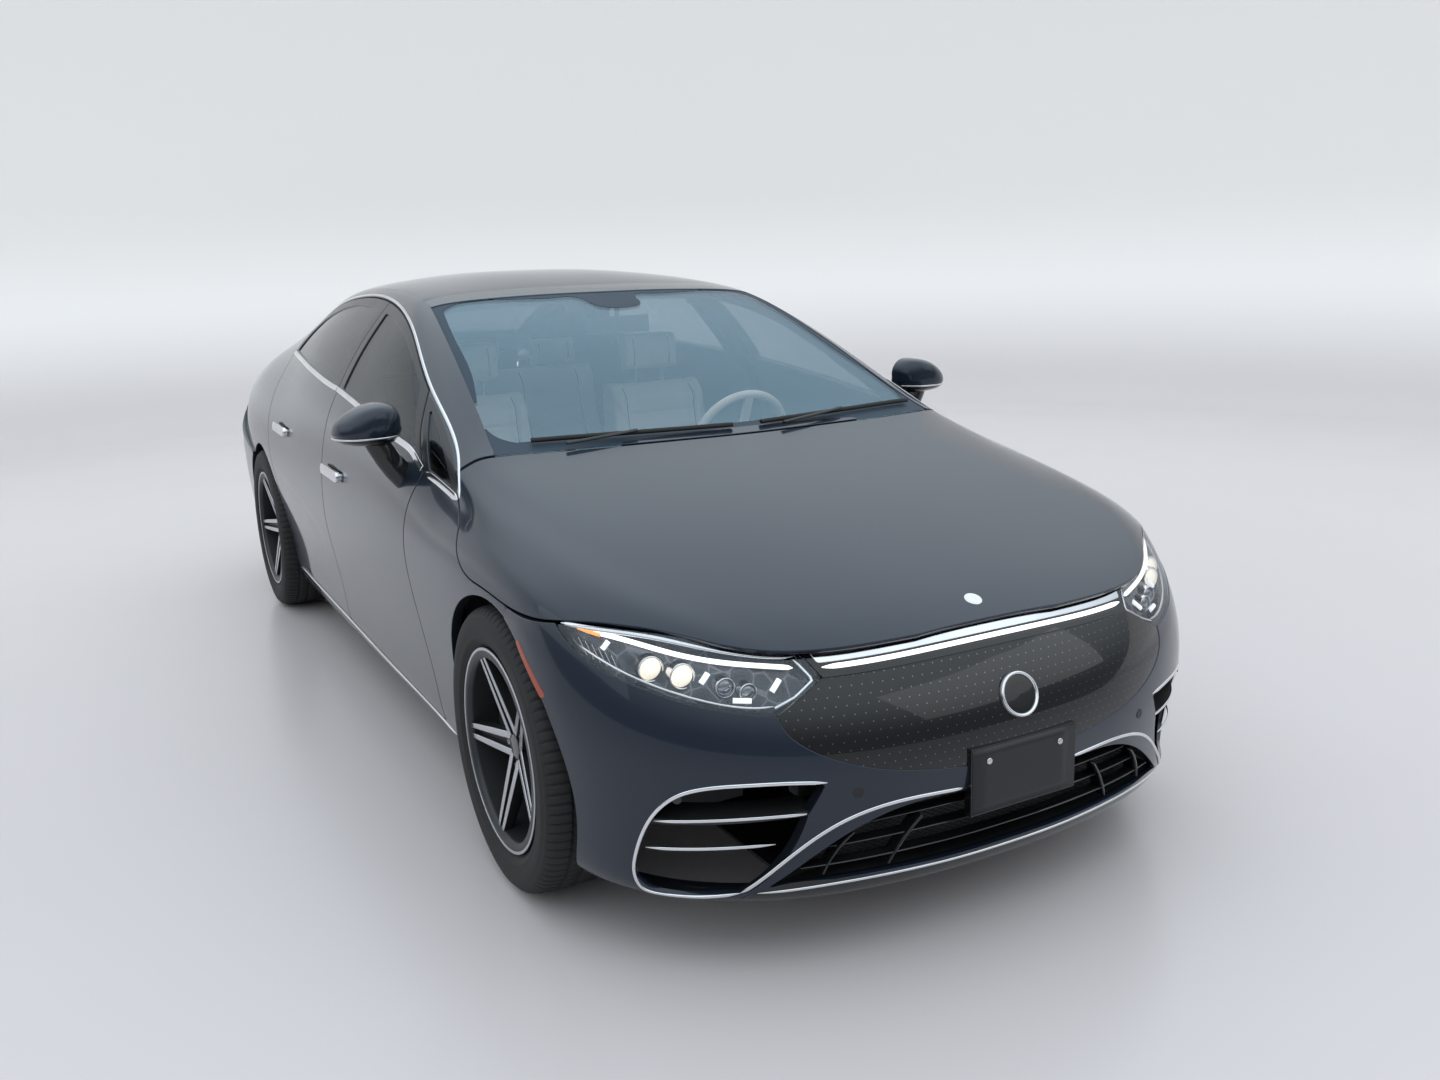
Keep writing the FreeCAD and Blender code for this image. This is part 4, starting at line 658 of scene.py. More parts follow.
def rounded_box(low: Sequence[float], high: Sequence[float], radius: float, cells: int = 6) -> Sheet:
    """A box with rounded edges: a cube's grid pushed onto the box shrunk by the radius and out again by it.

    Args:
        low: lowest corner.
        high: highest corner.
        radius: radius of the edges.
        cells: cells along each side.

    Returns:
        The closed sheet.
    """
    low_a, high_a = np.array(low, float), np.array(high, float)
    centre, half = 0.5 * (low_a + high_a), 0.5 * (high_a - low_a)
    radius = min(radius, float(half.min()) * 0.98)
    core = half - radius
    share = np.linspace(-1, 1, cells + 1)
    share = np.sign(share) * np.abs(share) ** 0.5 if cells > 2 else share
    a, b = np.meshgrid(share, share, indexing="ij")
    sides = []
    for axis in range(3):
        for sign in (-1.0, 1.0):
            grid = np.zeros(a.shape + (3,))
            grid[..., axis] = sign
            grid[..., (axis + 1) % 3] = a * sign
            grid[..., (axis + 2) % 3] = b
            on_box = grid * half
            inner = np.clip(on_box, -core, core)
            away = on_box - inner
            length = np.maximum(np.linalg.norm(away, axis=-1, keepdims=True), 1e-12)
            normal = away / length
            sheet = grid_sheet(centre + inner + normal * radius)
            sides.append(Sheet(sheet.points, normal.reshape(-1, 3), sheet.faces))
    return sides[0].joined(*sides[1:])


def swept(path: np.ndarray, section: np.ndarray, up: np.ndarray, closed: bool = False,
          scale: np.ndarray | None = None) -> Sheet:
    """A closed section carried along a path.

    Ring point = path + scale * (side * section x + top * section y), where side = tangent x up and
    top = side x tangent.

    Args:
        path: points of the path.
        section: closed section as (across, up) pairs, counter-clockwise seen along the path.
        up: the direction that is up at each path point, or one for all.
        closed: join the path's end to its start.
        scale: size of the section at each path point, or None for 1.

    Returns:
        The tube, with flat ends unless it is closed.
    """
    tangent = (np.roll(path, -1, 0) - np.roll(path, 1, 0)) if closed else np.gradient(path, axis=0)
    tangent /= np.maximum(np.linalg.norm(tangent, axis=1, keepdims=True), 1e-12)
    side = np.cross(tangent, np.broadcast_to(up, path.shape))
    side /= np.maximum(np.linalg.norm(side, axis=1, keepdims=True), 1e-12)
    top = np.cross(side, tangent)
    size = (np.ones(len(path)) if scale is None else scale)[:, None, None]
    rings = path[:, None] + size * (side[:, None] * section[None, :, :1] + top[:, None]
                                    * section[None, :, 1:])
    sheet = grid_sheet(rings, wrap_rows=closed, wrap_columns=True)
    if closed:
        return sheet
    count = len(section)
    last = (len(path) - 1) * count
    caps = [np.arange(count)[None, :], (last + np.arange(count))[None, ::-1]]
    return Sheet(sheet.points, sheet.normals, sheet.faces + caps)


def crown(width: float, height: float, foot: float = 0.001, power: float = 2.6,
          count: int = 12) -> np.ndarray:
    """Section of a raised strip: half of |x/a|^n + |y/b|^n = 1 on a straight foot.

    Args:
        width: of the strip in metres.
        height: over the surface.
        foot: depth of its foot under the surface.
        power: the exponent n.
        count: points over the crown.

    Returns:
        The closed section as (across, up) pairs.
    """
    angle = np.linspace(0.0, math.pi, count)
    c, s = np.cos(angle), np.sin(angle)
    arc = np.stack([0.5 * width * np.sign(c) * np.abs(c) ** (2 / power), height * np.abs(s) ** (2 / power)],
                   1)
    return np.concatenate([[(0.5 * width, -foot)], arc, [(-0.5 * width, -foot)]])


def oval(width: float, height: float, count: int = 14) -> np.ndarray:
    """Elliptic section as (across, up) pairs."""
    angle = np.linspace(0.0, 2 * math.pi, count, endpoint=False)
    return np.stack([0.5 * width * np.cos(angle), 0.5 * height * np.sin(angle)], 1)


def dense(line: Sequence[Point2], straight: bool = False, step: float = 8.0) -> np.ndarray:
    """A smooth line through places of a view, in steps of about 8 mm, or a broken line with straight
    parts.

    Args:
        line: the places.
        straight: whether the parts stay straight.
        step: distance between points in millimetres.

    Returns:
        The points.
    """
    if straight:
        points = np.array(line, float)
    else:
        points = np.concatenate([smooth_run(line), [line[-1]]])
    length = np.concatenate([[0.0], np.cumsum(np.linalg.norm(np.diff(points, axis=0), axis=1))])
    at = np.linspace(0.0, length[-1], max(3, int(length[-1] / step) + 1))
    return np.stack([np.interp(at, length, points[:, k]) for k in (0, 1)], 1)


def strip(skin: Skin, view: View, line: Sequence[Point2], width: float, height: float, lift: float = 0.0,
          closed: bool = False, straight: bool = False, ends: float = 0.0,
          v_span: Point2 = (0.0, 1.0)) -> Sheet:
    """A raised strip that follows a line on a surface.

    Args:
        skin: the surface.
        view: the view in which the line is drawn.
        line: the line's points in millimetres.
        width: width of the strip in metres.
        height: height of its crown over the lifted surface.
        lift: height of its foot over the surface.
        closed: join the end to the start.
        straight: keep the line's parts straight instead of smooth.
        ends: length over which the strip narrows to a point at each end, in metres.
        v_span: part of the surface to search.

    Returns:
        The strip.
    """
    flat = dense([*line, line[0]] if closed else line, straight)
    if closed:
        flat = flat[:-1]
    path, normal = skin.spots(view, flat, -lift, v_span)
    scale = None
    if ends > 0:
        length = np.concatenate([[0.0], np.cumsum(np.linalg.norm(np.diff(path, axis=0), axis=1))])
        scale = np.clip(np.minimum(length, length[-1] - length) / ends, 0.04, 1.0) ** 0.6
    return swept(path, crown(width, height), normal, closed, scale)


def block(centre: Sequence[float], axes: Sequence[Sequence[float]], size: Sequence[float], radius: float,
          cells: int = 4) -> Sheet:
    """A rounded box that stands turned.

    Args:
        centre: its middle.
        axes: three unit directions of its sides.
        size: its three sizes.
        radius: radius of its edges.
        cells: cells along each side.

    Returns:
        The closed sheet.
    """
    half = np.array(size, float) / 2
    plain = rounded_box(-half, half, radius, cells)
    turn = np.array(axes, float)
    return Sheet(plain.points @ turn + np.array(centre), plain.normals @ turn, plain.faces)


def seat_on(normal: np.ndarray, along: Sequence[float]) -> np.ndarray:
    """Three unit directions: along a surface, across it and out of it.

    Args:
        normal: the surface's normal.
        along: direction that the first one follows as nearly as it can.
    """
    out = np.array(normal, float) / np.linalg.norm(normal)
    first = np.array(along, float) - out * np.dot(along, out)
    first /= np.linalg.norm(first)
    return np.stack([first, np.cross(out, first), out])


def spun(profile: np.ndarray, centre: Sequence[float], axes: np.ndarray, segments: int = 32) -> Sheet:
    """A profile of (height, radius) pairs turned about the third of three directions.

    Args:
        profile: pairs from the rim's underside up over the top to the middle.
        centre: foot of the axis.
        axes: three unit directions, the third along the axis.
        segments: steps round the axis.

    Returns:
        The turned surface, facing away from the axis.
    """
    angle = np.linspace(0, 2 * math.pi, segments, endpoint=False)
    height, radius = profile[:, 0], profile[:, 1]
    local = np.stack([radius[:, None] * np.cos(angle), radius[:, None] * np.sin(angle),
                      np.broadcast_to(height[:, None], (len(height), segments))], -1)
    sheet = grid_sheet(local @ axes + np.array(centre), wrap_columns=True).turned_over()
    if radius[-1] < 0.001:
        sheet.faces.append((len(radius) - 1) * segments + np.arange(segments)[None])
    return sheet


def turned(profile: np.ndarray, centre: Sequence[float], segments: int = 96, closed: bool = False) -> Sheet:
    """A profile of (place along X, radius) pairs turned about an axle along X.

    Args:
        profile: the pairs, from the inside of the car outwards along the surface seen.
        centre: a point of the axle.
        segments: steps round the axle.
        closed: join the profile's end to its start.

    Returns:
        The turned surface.
    """
    angle = np.linspace(0, 2 * math.pi, segments, endpoint=False)
    a, r = profile[:, 0], profile[:, 1]
    points = np.stack([np.broadcast_to(a[:, None], (len(a), segments)), r[:, None] * np.sin(angle),
                       r[:, None] * np.cos(angle)], -1) + np.array(centre)
    return grid_sheet(points, wrap_rows=closed, wrap_columns=True)


# The body's drawings, in millimetres

STATIONS = [-2640, -2540, -2440, -2320, -2180, -2020, -1860, -1700, -1550, -1420, -1330, -1250, -1150,
            -1000, -820, -620, -430, -260, -60, 200, 480, 760, 1020, 1260, 1480, 1680, 1860, 2030,
            2190, 2330, 2440, 2520]
CENTRE_Z = [(-2640, 660), (-2540, 715), (-2440, 762), (-2320, 806), (-2180, 850), (-2020, 896),
            (-1860, 938), (-1700, 976), (-1550, 1010), (-1400, 1045), (-1300, 1075), (-1100, 1170),
            (-900, 1262), (-700, 1340), (-500, 1402), (-322, 1444), (-150, 1474), (50, 1502), (300, 1519),
            (550, 1520), (800, 1508), (1050, 1483), (1300, 1443), (1500, 1392), (1700, 1338), (1900, 1275),
            (2100, 1206), (2300, 1138), (2440, 1098), (2560, 1080)]
RAIL_X = [(-2640, 270), (-2450, 390), (-2300, 490), (-2100, 590), (-1900, 655), (-1700, 705), (-1500, 745),
          (-1284, 768), (-1100, 752), (-900, 725), (-700, 695), (-500, 660), (-346, 634), (-100, 610),
          (200, 598), (600, 592), (1000, 580), (1300, 562), (1500, 548), (1700, 540), (1900, 545),
          (2100, 560), (2300, 572), (2520, 560)]
RAIL_Z = [(-2640, 640), (-2450, 745), (-2300, 795), (-2100, 850), (-1900, 903), (-1700, 948), (-1500, 990),
          (-1284, 1040), (-1100, 1110), (-900, 1203), (-700, 1290), (-500, 1368), (-346, 1422),
          (-100, 1456), (200, 1474), (600, 1474), (1000, 1448), (1300, 1405), (1500, 1362), (1700, 1305),
          (1900, 1240), (2100, 1172), (2300, 1106), (2520, 1046)]
BELT_X = [(-2640, 420), (-2450, 590), (-2300, 728), (-2200, 800), (-2100, 852), (-1900, 890), (-1700, 898),
          (-1500, 896), (-1290, 882), (-900, 892), (-200, 892), (600, 872), (1300, 805), (1700, 790),
          (2000, 800), (2200, 788), (2330, 752), (2440, 700), (2520, 640)]
BELT_Z = [(-2640, 600), (-2450, 690), (-2300, 755), (-2100, 812), (-1900, 850), (-1700, 880), (-1500, 900),
          (-1290, 925), (-900, 1010), (-200, 1088), (600, 1130), (1300, 1152), (1700, 1130), (2000, 1088),
          (2300, 1036), (2520, 996)]
SHOULDER_X = [(-2640, 500), (-2450, 670), (-2300, 795), (-2200, 862), (-2100, 905), (-1900, 940),
              (-1700, 950), (-1000, 956), (0, 958), (1000, 955), (1500, 948), (1800, 936), (2000, 918),
              (2200, 880), (2330, 832), (2440, 764), (2520, 690)]
SHOULDER_Z = [(-2640, 590), (-2450, 640), (-2300, 690), (-2100, 745), (-1900, 780), (-1700, 800),
              (-1000, 838), (0, 865), (1000, 905), (1500, 930), (1900, 930), (2520, 890)]
MAX_X = [(-2640, 560), (-2450, 720), (-2300, 835), (-2200, 888), (-2100, 925), (-1900, 955), (-1700, 962),
         (-1000, 966), (0, 967), (1000, 967), (1500, 966), (1800, 957), (2000, 944), (2200, 908),
         (2330, 860), (2440, 790), (2520, 712)]
MAX_Z = [(-2640, 560), (-1900, 690), (-1700, 700), (0, 660), (1500, 720), (2520, 760)]


def section(y: np.ndarray) -> np.ndarray:
    """Poles of the half cross-sections at places along the car, from under the sill up to the centre line.

    Args:
        y: the places.

    Returns:
        Array of places x poles x (x, y, z).
    """
    top = eased(CENTRE_Z, y)
    rail_x, rail_z = eased(RAIL_X, y), eased(RAIL_Z, y)
    belt_x, belt_z = eased(BELT_X, y), eased(BELT_Z, y)
    side_x, side_z = eased(MAX_X, y), eased(MAX_Z, y)
    shoulder_x, shoulder_z = eased(SHOULDER_X, y), eased(SHOULDER_Z, y)
    cabin = np.clip((y + 1330) / 500.0, 0, 1) * np.clip((2100 - y) / 700.0, 0, 1)
    outer_x = rail_x + 0.40 * (1 - cabin) * (belt_x - rail_x) + 52 * cabin
    outer_z = rail_z + 0.24 * (1 - cabin) * (belt_z - rail_z) - 48 * cabin
    glass_x = 0.5 * (outer_x + belt_x) + 22 * cabin + 14 * (1 - cabin)
    glass_z = 0.5 * (outer_z + belt_z) + 10 * (1 - cabin)
    low = np.zeros_like(y)
    pairs = [(side_x - 130, low + 165), (side_x - 62, low + 175), (side_x - 52, low + 330),
             (side_x - 30, low + 490), (side_x + 2, side_z), (shoulder_x, shoulder_z),
             (belt_x + 0.42 * (shoulder_x - belt_x) + 12, belt_z - 0.38 * (belt_z - shoulder_z)),
             (belt_x, belt_z), (glass_x, glass_z), (outer_x, outer_z), (rail_x, rail_z),
             (0.62 * rail_x, top - 0.30 * (top - rail_z)), (0.30 * rail_x, top), (low, top)]
    return np.stack([np.stack([x, y, z], -1) for x, z in pairs], 1)


# Nose and tail: rings of plan curves |x/w|^n + |y/l|^n = 1 that wrap round the end of the car, bottom to
# top, each as (height at the centre, height at the side, end of the car, half width, exponent n)
NOSE_JOIN = -1900
NOSE_RINGS = [(152, 165, -2470, 850, 2.5), (158, 172, -2535, 905, 2.5), (200, 215, -2560, 925, 2.5),
              (275, 300, -2574, 930, 2.45), (350, 385, -2590, 938, 2.4), (430, 470, -2606, 948, 2.35),
              (510, 550, -2606, 956, 2.3), (590, 620, -2586, 958, 2.25), (660, 690, -2540, 956, 2.2),
              (722, 745, -2484, 950, 2.18), (775, 790, -2425, 938, 2.15), (815, 835, -2370, 915, 2.15)]
TAIL_JOIN = 1900
TAIL_RINGS = [(165, 172, 2440, 850, 2.7), (172, 178, 2500, 900, 2.7), (225, 232, 2540, 918, 2.7),
              (310, 316, 2576, 930, 2.7), (410, 414, 2592, 942, 2.7), (520, 520, 2600, 952, 2.7),
              (630, 628, 2600, 958, 2.7), (730, 728, 2592, 960, 2.7), (820, 818, 2566, 956, 2.7),
              (905, 898, 2534, 946, 2.7), (990, 965, 2506, 924, 2.7), (1062, 1020, 2484, 880, 2.7)]
RING_ANGLES = [0, 5, 14, 24, 35, 46, 57, 67, 76, 84, 90]


def ring_columns(rings: Sequence[tuple], join: float, beyond: Sequence[float]) -> np.ndarray:
    """Half net of an end of the car: one column of poles per angle from the centre line to the side.

    Column a of a ring has x = w sin(a)^(2/n), y = join + (end - join) cos(a)^(2/n) and a height between the
    two.

    Args:
        rings: (height at the centre, height at the side, end of the car, half width, exponent n).
        join: place along the car where the ring is at its full width.
        beyond: places past it where the ring runs on along the side.

    Returns:
        Array of columns x rings x 3.
    """
    centre_z, side_z, end, half, power = np.array(rings, float).T
    angle = np.radians(np.array(RING_ANGLES, float))[:, None]
    s, c = np.maximum(np.sin(angle), 0), np.maximum(np.cos(angle), 0)
    c[-1] = 0.0
    x = half * s ** (2.0 / power)
    y = join + (end - join) * c ** (2.0 / power)
    columns = np.stack([x, y, centre_z + (side_z - centre_z) * s * s], -1)
    columns[1, :, 1:] = columns[0, :, 1:]
    more = [np.stack([half + 4, np.full_like(half, place), side_z], -1) for place in beyond]
    return np.concatenate([columns, np.array(more)])


HALF_NET = section(np.array(STATIONS, float))
FLIP = np.array([-1.0, 1.0, 1.0])
BODY = Skin(np.concatenate([HALF_NET, HALF_NET[:, -2::-1] * FLIP], 1))
NOSE_HALF = ring_columns(NOSE_RINGS, NOSE_JOIN, (-1800, -1680))
NOSE = Skin(np.concatenate([NOSE_HALF[:0:-1] * FLIP, NOSE_HALF]))
TAIL_HALF = ring_columns(TAIL_RINGS, TAIL_JOIN, (1780, 1640))
TAIL = Skin(np.concatenate([TAIL_HALF[:0:-1], TAIL_HALF * FLIP]))

# Lines that several pieces share, seen from the side as (y, z) or from above as (x, y)
HOOD_SIDE = [(-1215, 1006), (-1290, 962), (-1352, 926), (-1440, 884), (-1505, 832), (-1570, 802),
             (-1700, 790), (-1866, 778), (-1950, 775), (-2020, 778), (-2080, 785), (-2139, 789),
             (-2200, 786), (-2256, 778), (-2306, 766), (-2353, 753), (-2402, 741), (-2436, 735),
             (-2462, 734), (-2484, 736)]
DLO_TOP = [(-1344, 928), (-1190, 1012), (-1024, 1088), (-780, 1180), (-560, 1266), (-351, 1340),
           (-150, 1386), (115, 1420), (384, 1432), (640, 1424), (998, 1386), (1150, 1350),
           (1270, 1290), (1345, 1215), (1362, 1172)]
DOOR_FRONT = [(-1100, 240), (-1082, 350), (-1062, 500), (-1046, 610), (-1022, 720), (-1010, 790),
              (-1014, 850), (-1030, 910), (-1040, 974)]
B_SHUT = [(92, 262), (106, 480), (106, 700), (94, 900), (72, 1108), (92, 1260), (115, 1420)]
DOOR_REAR = [(1362, 1172), (1318, 1110), (1268, 1000), (1240, 880), (1200, 750), (1130, 640),
             (1075, 530), (1044, 420), (1034, 286)]
SILL_FRONT, SILL_MID, SILL_REAR = (-1100, 240), (92, 262), (1034, 286)
TOP = 1700


def part_of(line: Sequence[Point2], first: Point2, last: Point2) -> list[Point2]:
    """The points of a line from one end point to another, both on the line."""
    a, b = line.index(first), line.index(last)
    return list(line[a:b + 1]) if a <= b else list(line[b:a + 1][::-1])


# Lines that cross the hood, glass and roof from above, as (x, y)
COWL = [(-752, -1276), (-560, -1338), (-300, -1384), (0, -1400), (300, -1384), (560, -1338), (752, -1276)]
HEADER = [(622, -306), (300, -318), (0, -322), (-300, -318), (-622, -306)]
ROOF_Y = 1148
PILLAR_EDGE = [(752, -1276), (700, -900), (658, -560), (622, -306)]
ROOF_EDGE = [(622, -306), (600, 0), (584, 400), (572, 800), (560, ROOF_Y)]
HATCH_EDGE = [(560, ROOF_Y), (556, 1500), (580, 1900), (618, 2250), (640, 2505)]
ROOF_END = [(560, ROOF_Y), (-560, ROOF_Y)]
DECK_END = [(640, 2505), (-640, 2505)]
WINDSCREEN_PLAN = [COWL, PILLAR_EDGE, HEADER, across(PILLAR_EDGE)]
ROOF_PLAN = [HEADER[::-1], ROOF_EDGE, ROOF_END, across(ROOF_EDGE)]
HATCH_PLAN = [ROOF_END[::-1], HATCH_EDGE, DECK_END, across(HATCH_EDGE)]
REAR_GLASS_SIDE = [(500, 1196), (498, 1500), (512, 1800), (530, 2080)]
REAR_GLASS_PLAN = [[(-500, 1196), (0, 1222), (500, 1196)], REAR_GLASS_SIDE,
                   [(530, 2080), (300, 2160), (0, 2180), (-300, 2160), (-530, 2080)],
                   across(REAR_GLASS_SIDE)]
CENTRE_PLAN = [COWL, PILLAR_EDGE, ROOF_EDGE, HATCH_EDGE, [(640, 2505), (640, 2700)],
               [(640, 2700), (-640, 2700)], [(-640, 2700), (-640, 2505)], across(HATCH_EDGE),
               across(ROOF_EDGE), across(PILLAR_EDGE)]
BEHIND_COWL = [COWL, [(752, -1276), (852, -1228)], [(852, -1228), (905, -1352)], [(905, -1352), (905, -900)],
               [(905, -900), (-905, -900)], [(-905, -900), (-905, -1352)], [(-905, -1352), (-852, -1228)],
               [(-852, -1228), (-752, -1276)]]

# Regions seen from the side, as (y, z)
LAMP_CORNER = (2236, 905)
QUARTER_SEAM = [(1700, 700), (1850, 722), (2050, 772), (2180, 828), LAMP_CORNER]
A_SEAM = [(-1040, 974), (-1352, 926)]
FENDER_SEAM = [(-1866, 778), (-1836, 700), (-1500, 234)]
BAR = [(-1040, 974), (-1012, 992), (-800, 1162), (-780, 1180)]
HOOD_SIDE_REGION = [HOOD_SIDE, [(-2484, 736), (-2484, TOP)], [(-2484, TOP), (-1150, TOP)],
             [(-1150, TOP), (-1215, 1006)]]
BODY_SIDE_REGION = [[(-1352, 926), (-1352, TOP)], [(-1352, TOP), (2510, TOP)], [(2510, TOP), (2510, 970)],
                    [(2510, 970), (2290, 960), LAMP_CORNER], QUARTER_SEAM[::-1], [(1700, 700), (1700, 120)],
                    [(1700, 120), (-1500, 120)], [(-1500, 120), (-1500, 234)], [(-1500, 234), SILL_FRONT],
                    DOOR_FRONT, A_SEAM]
FENDER_REGION = [[(-1352, 926), (-1352, TOP)], [(-1352, TOP), (-1866, TOP)], [(-1866, TOP), (-1866, 778)],
                 FENDER_SEAM[:2], FENDER_SEAM[1:], [(-1500, 234), SILL_FRONT], DOOR_FRONT, A_SEAM]
BUMPER_REGION = [[(-1866, 778), (-1866, TOP)], [(-1866, TOP), (-2700, TOP)], [(-2700, TOP), (-2700, 100)],
                 [(-2700, 100), (-1500, 100)], [(-1500, 100), (-1500, 234)], FENDER_SEAM[1:][::-1],
                 FENDER_SEAM[:2][::-1]]
QUARTER_REGION = [[(1500, TOP), (2510, TOP)], [(2510, TOP), (2510, 970)], [(2510, 970), (2290, 960),
                                                                           LAMP_CORNER], QUARTER_SEAM[::-1],
                  [(1700, 700), (1500, 700)], [(1500, 700), (1500, TOP)]]
FRONT_DOOR_SIDE = [DOOR_FRONT, BAR, part_of(DLO_TOP, (-780, 1180), (115, 1420)), B_SHUT[::-1],
                   [SILL_MID, SILL_FRONT]]
REAR_DOOR_SIDE = [B_SHUT, part_of(DLO_TOP, (115, 1420), (1362, 1172)), DOOR_REAR, [SILL_REAR, SILL_MID]]
DOORS_SIDE = [DOOR_FRONT, BAR, part_of(DLO_TOP, (-780, 1180), (1362, 1172)), DOOR_REAR,
              [SILL_REAR, SILL_MID], [SILL_MID, SILL_FRONT]]
FRONT_WINDOW = [[(-924, 1028), (-716, 1190)], [(-716, 1190), (-520, 1264), (-340, 1320), (-140, 1362),
                                               (56, 1386)], [(56, 1386), (30, 1250), (14, 1130)],
                [(14, 1130), (-200, 1112), (-600, 1070), (-924, 1028)]]
REAR_WINDOW = [[(178, 1392), (420, 1404), (700, 1394), (1000, 1354), (1150, 1316), (1250, 1260),
                (1304, 1190)], [(1304, 1190), (900, 1176), (500, 1156), (146, 1136)],
               [(146, 1136), (160, 1250), (178, 1392)]]
TIP_WINDOW = [[(-1262, 954), (-1070, 986)], [(-1070, 986), (-856, 1142)],
              [(-856, 1142), (-1020, 1072), (-1160, 1006), (-1262, 954)]]

# Regions of the nose and tail seen from the front or rear, as (x, z), for the car's left side
LAMP_INNER, BAR_LOW, LAMP_LOW = (479, 727), (451, 676), (566, 612)
BAR_BOTTOM = [BAR_LOW, (272, 679), (120, 683), (0, 684), (-120, 683), (-272, 679), (-451, 676)]
HEADLAMP_FRONT = [[(902, 820), (479, 820)], [(479, 820), LAMP_INNER], [LAMP_INNER, BAR_LOW],
                  [BAR_LOW, (513, 642), LAMP_LOW], [LAMP_LOW, (610, 617), (665, 626), (733, 643), (811, 674),
                                                    (867, 706), (894, 746), (902, 783)],
                  [(902, 783), (902, 820)]]
BAR_FRONT = [[(-479, 820), (479, 820)], [(479, 820), LAMP_INNER], [LAMP_INNER, BAR_LOW], BAR_BOTTOM,
             [(-451, 676), (-479, 727)], [(-479, 727), (-479, 820)]]
PANEL_SIDE = [LAMP_LOW, (560, 584), (528, 549), (466, 514), (386, 486), (290, 466), (147, 450), (0, 446)]
PANEL_FRONT = [BAR_BOTTOM[::-1], [BAR_LOW, (513, 642), LAMP_LOW],
               PANEL_SIDE + [(-a, b) for a, b in PANEL_SIDE[-2::-1]], [(-566, 612), (-513, 642), (-451, 676)]]
SIDE_INTAKE = [[(487, 466), (579, 474), (689, 469), (757, 447), (798, 392), (822, 298), (827, 239),
                (800, 200), (735, 192), (637, 202)], [(637, 202), (560, 290), (522, 395)],
               [(522, 395), (487, 466)]]
INTAKE_TOP = [(600, 214), (533, 268), (433, 339), (334, 380), (140, 394), (0, 396)]
LOWER_INTAKE = [INTAKE_TOP + [(-a, b) for a, b in INTAKE_TOP[-2::-1]],
                [(-600, 214), (-419, 221), (-197, 219), (0, 219), (197, 219), (419, 221), (600, 214)]]
TAIL_LAMP = [[(646, 868), (646, 938)], [(646, 938), (760, 944), (880, 950), (1000, 970)],
             [(1000, 970), (1000, 846)], [(1000, 846), (900, 846), (780, 856), (646, 868)]]
TAIL_BAR = [[(-600, 870), (600, 870)], [(600, 870), (600, 936)], [(600, 936), (-600, 936)],
            [(-600, 936), (-600, 870)]]
HATCH_SIDE, HATCH_LOW = 634, 760
CORNER_X, CORNER_Z = 622, 950
HATCH_REAR = polygon([(-HATCH_SIDE, HATCH_LOW), (HATCH_SIDE, HATCH_LOW), (HATCH_SIDE, TOP),
                      (-HATCH_SIDE, TOP)])


# Materials

Colour = tuple[float, float, float]


class Link:
    """An output of a node; arithmetic on it adds Math nodes."""

    def __init__(self, graph: "Graph", socket: bpy.types.NodeSocket) -> None:
        """Keep the graph and the output socket."""
        self.graph, self.socket = graph, socket

    def math(self, operation: str, *values: "Link | float", clamp: bool = False) -> "Link":
        """Math node of an operation over this output and other values."""
        return self.graph.node("ShaderNodeMath", {"operation": operation, "use_clamp": clamp},
                               dict(enumerate((self, *values))))

    def __add__(self, other: "Link | float") -> "Link":
        """Sum of this value and another."""
        return self.math("ADD", other)

    def __sub__(self, other: "Link | float") -> "Link":
        """This value less another."""
        return self.math("SUBTRACT", other)

    def __rsub__(self, other: float) -> "Link":
        """A number less this value."""
        return self.graph.number(other).math("SUBTRACT", self)

    def __mul__(self, other: "Link | float") -> "Link":
        """Product of this value and another."""
        return self.math("MULTIPLY", other)

    def __truediv__(self, other: "Link | float") -> "Link":
        """This value over another."""
        return self.math("DIVIDE", other)

    def __rtruediv__(self, other: float) -> "Link":
        """A number over this value."""
        return self.graph.number(other).math("DIVIDE", self)

    def __pow__(self, other: "Link | float") -> "Link":
        """This value to a power."""
        return self.math("POWER", other)

    def __neg__(self) -> "Link":
        """This value with its sign turned."""
        return self.math("MULTIPLY", -1.0)

    __radd__ = __add__
    __rmul__ = __mul__

    def ramp(self, low: float, high: float, start: float = 0.0, end: float = 1.0) -> "Link":
        """Smooth step from start to end as this output goes from low to high."""
        return self.graph.node("ShaderNodeMapRange", {"interpolation_type": "SMOOTHSTEP"},
                               {"Value": self, "From Min": low, "From Max": high, "To Min": start,
                                "To Max": end})


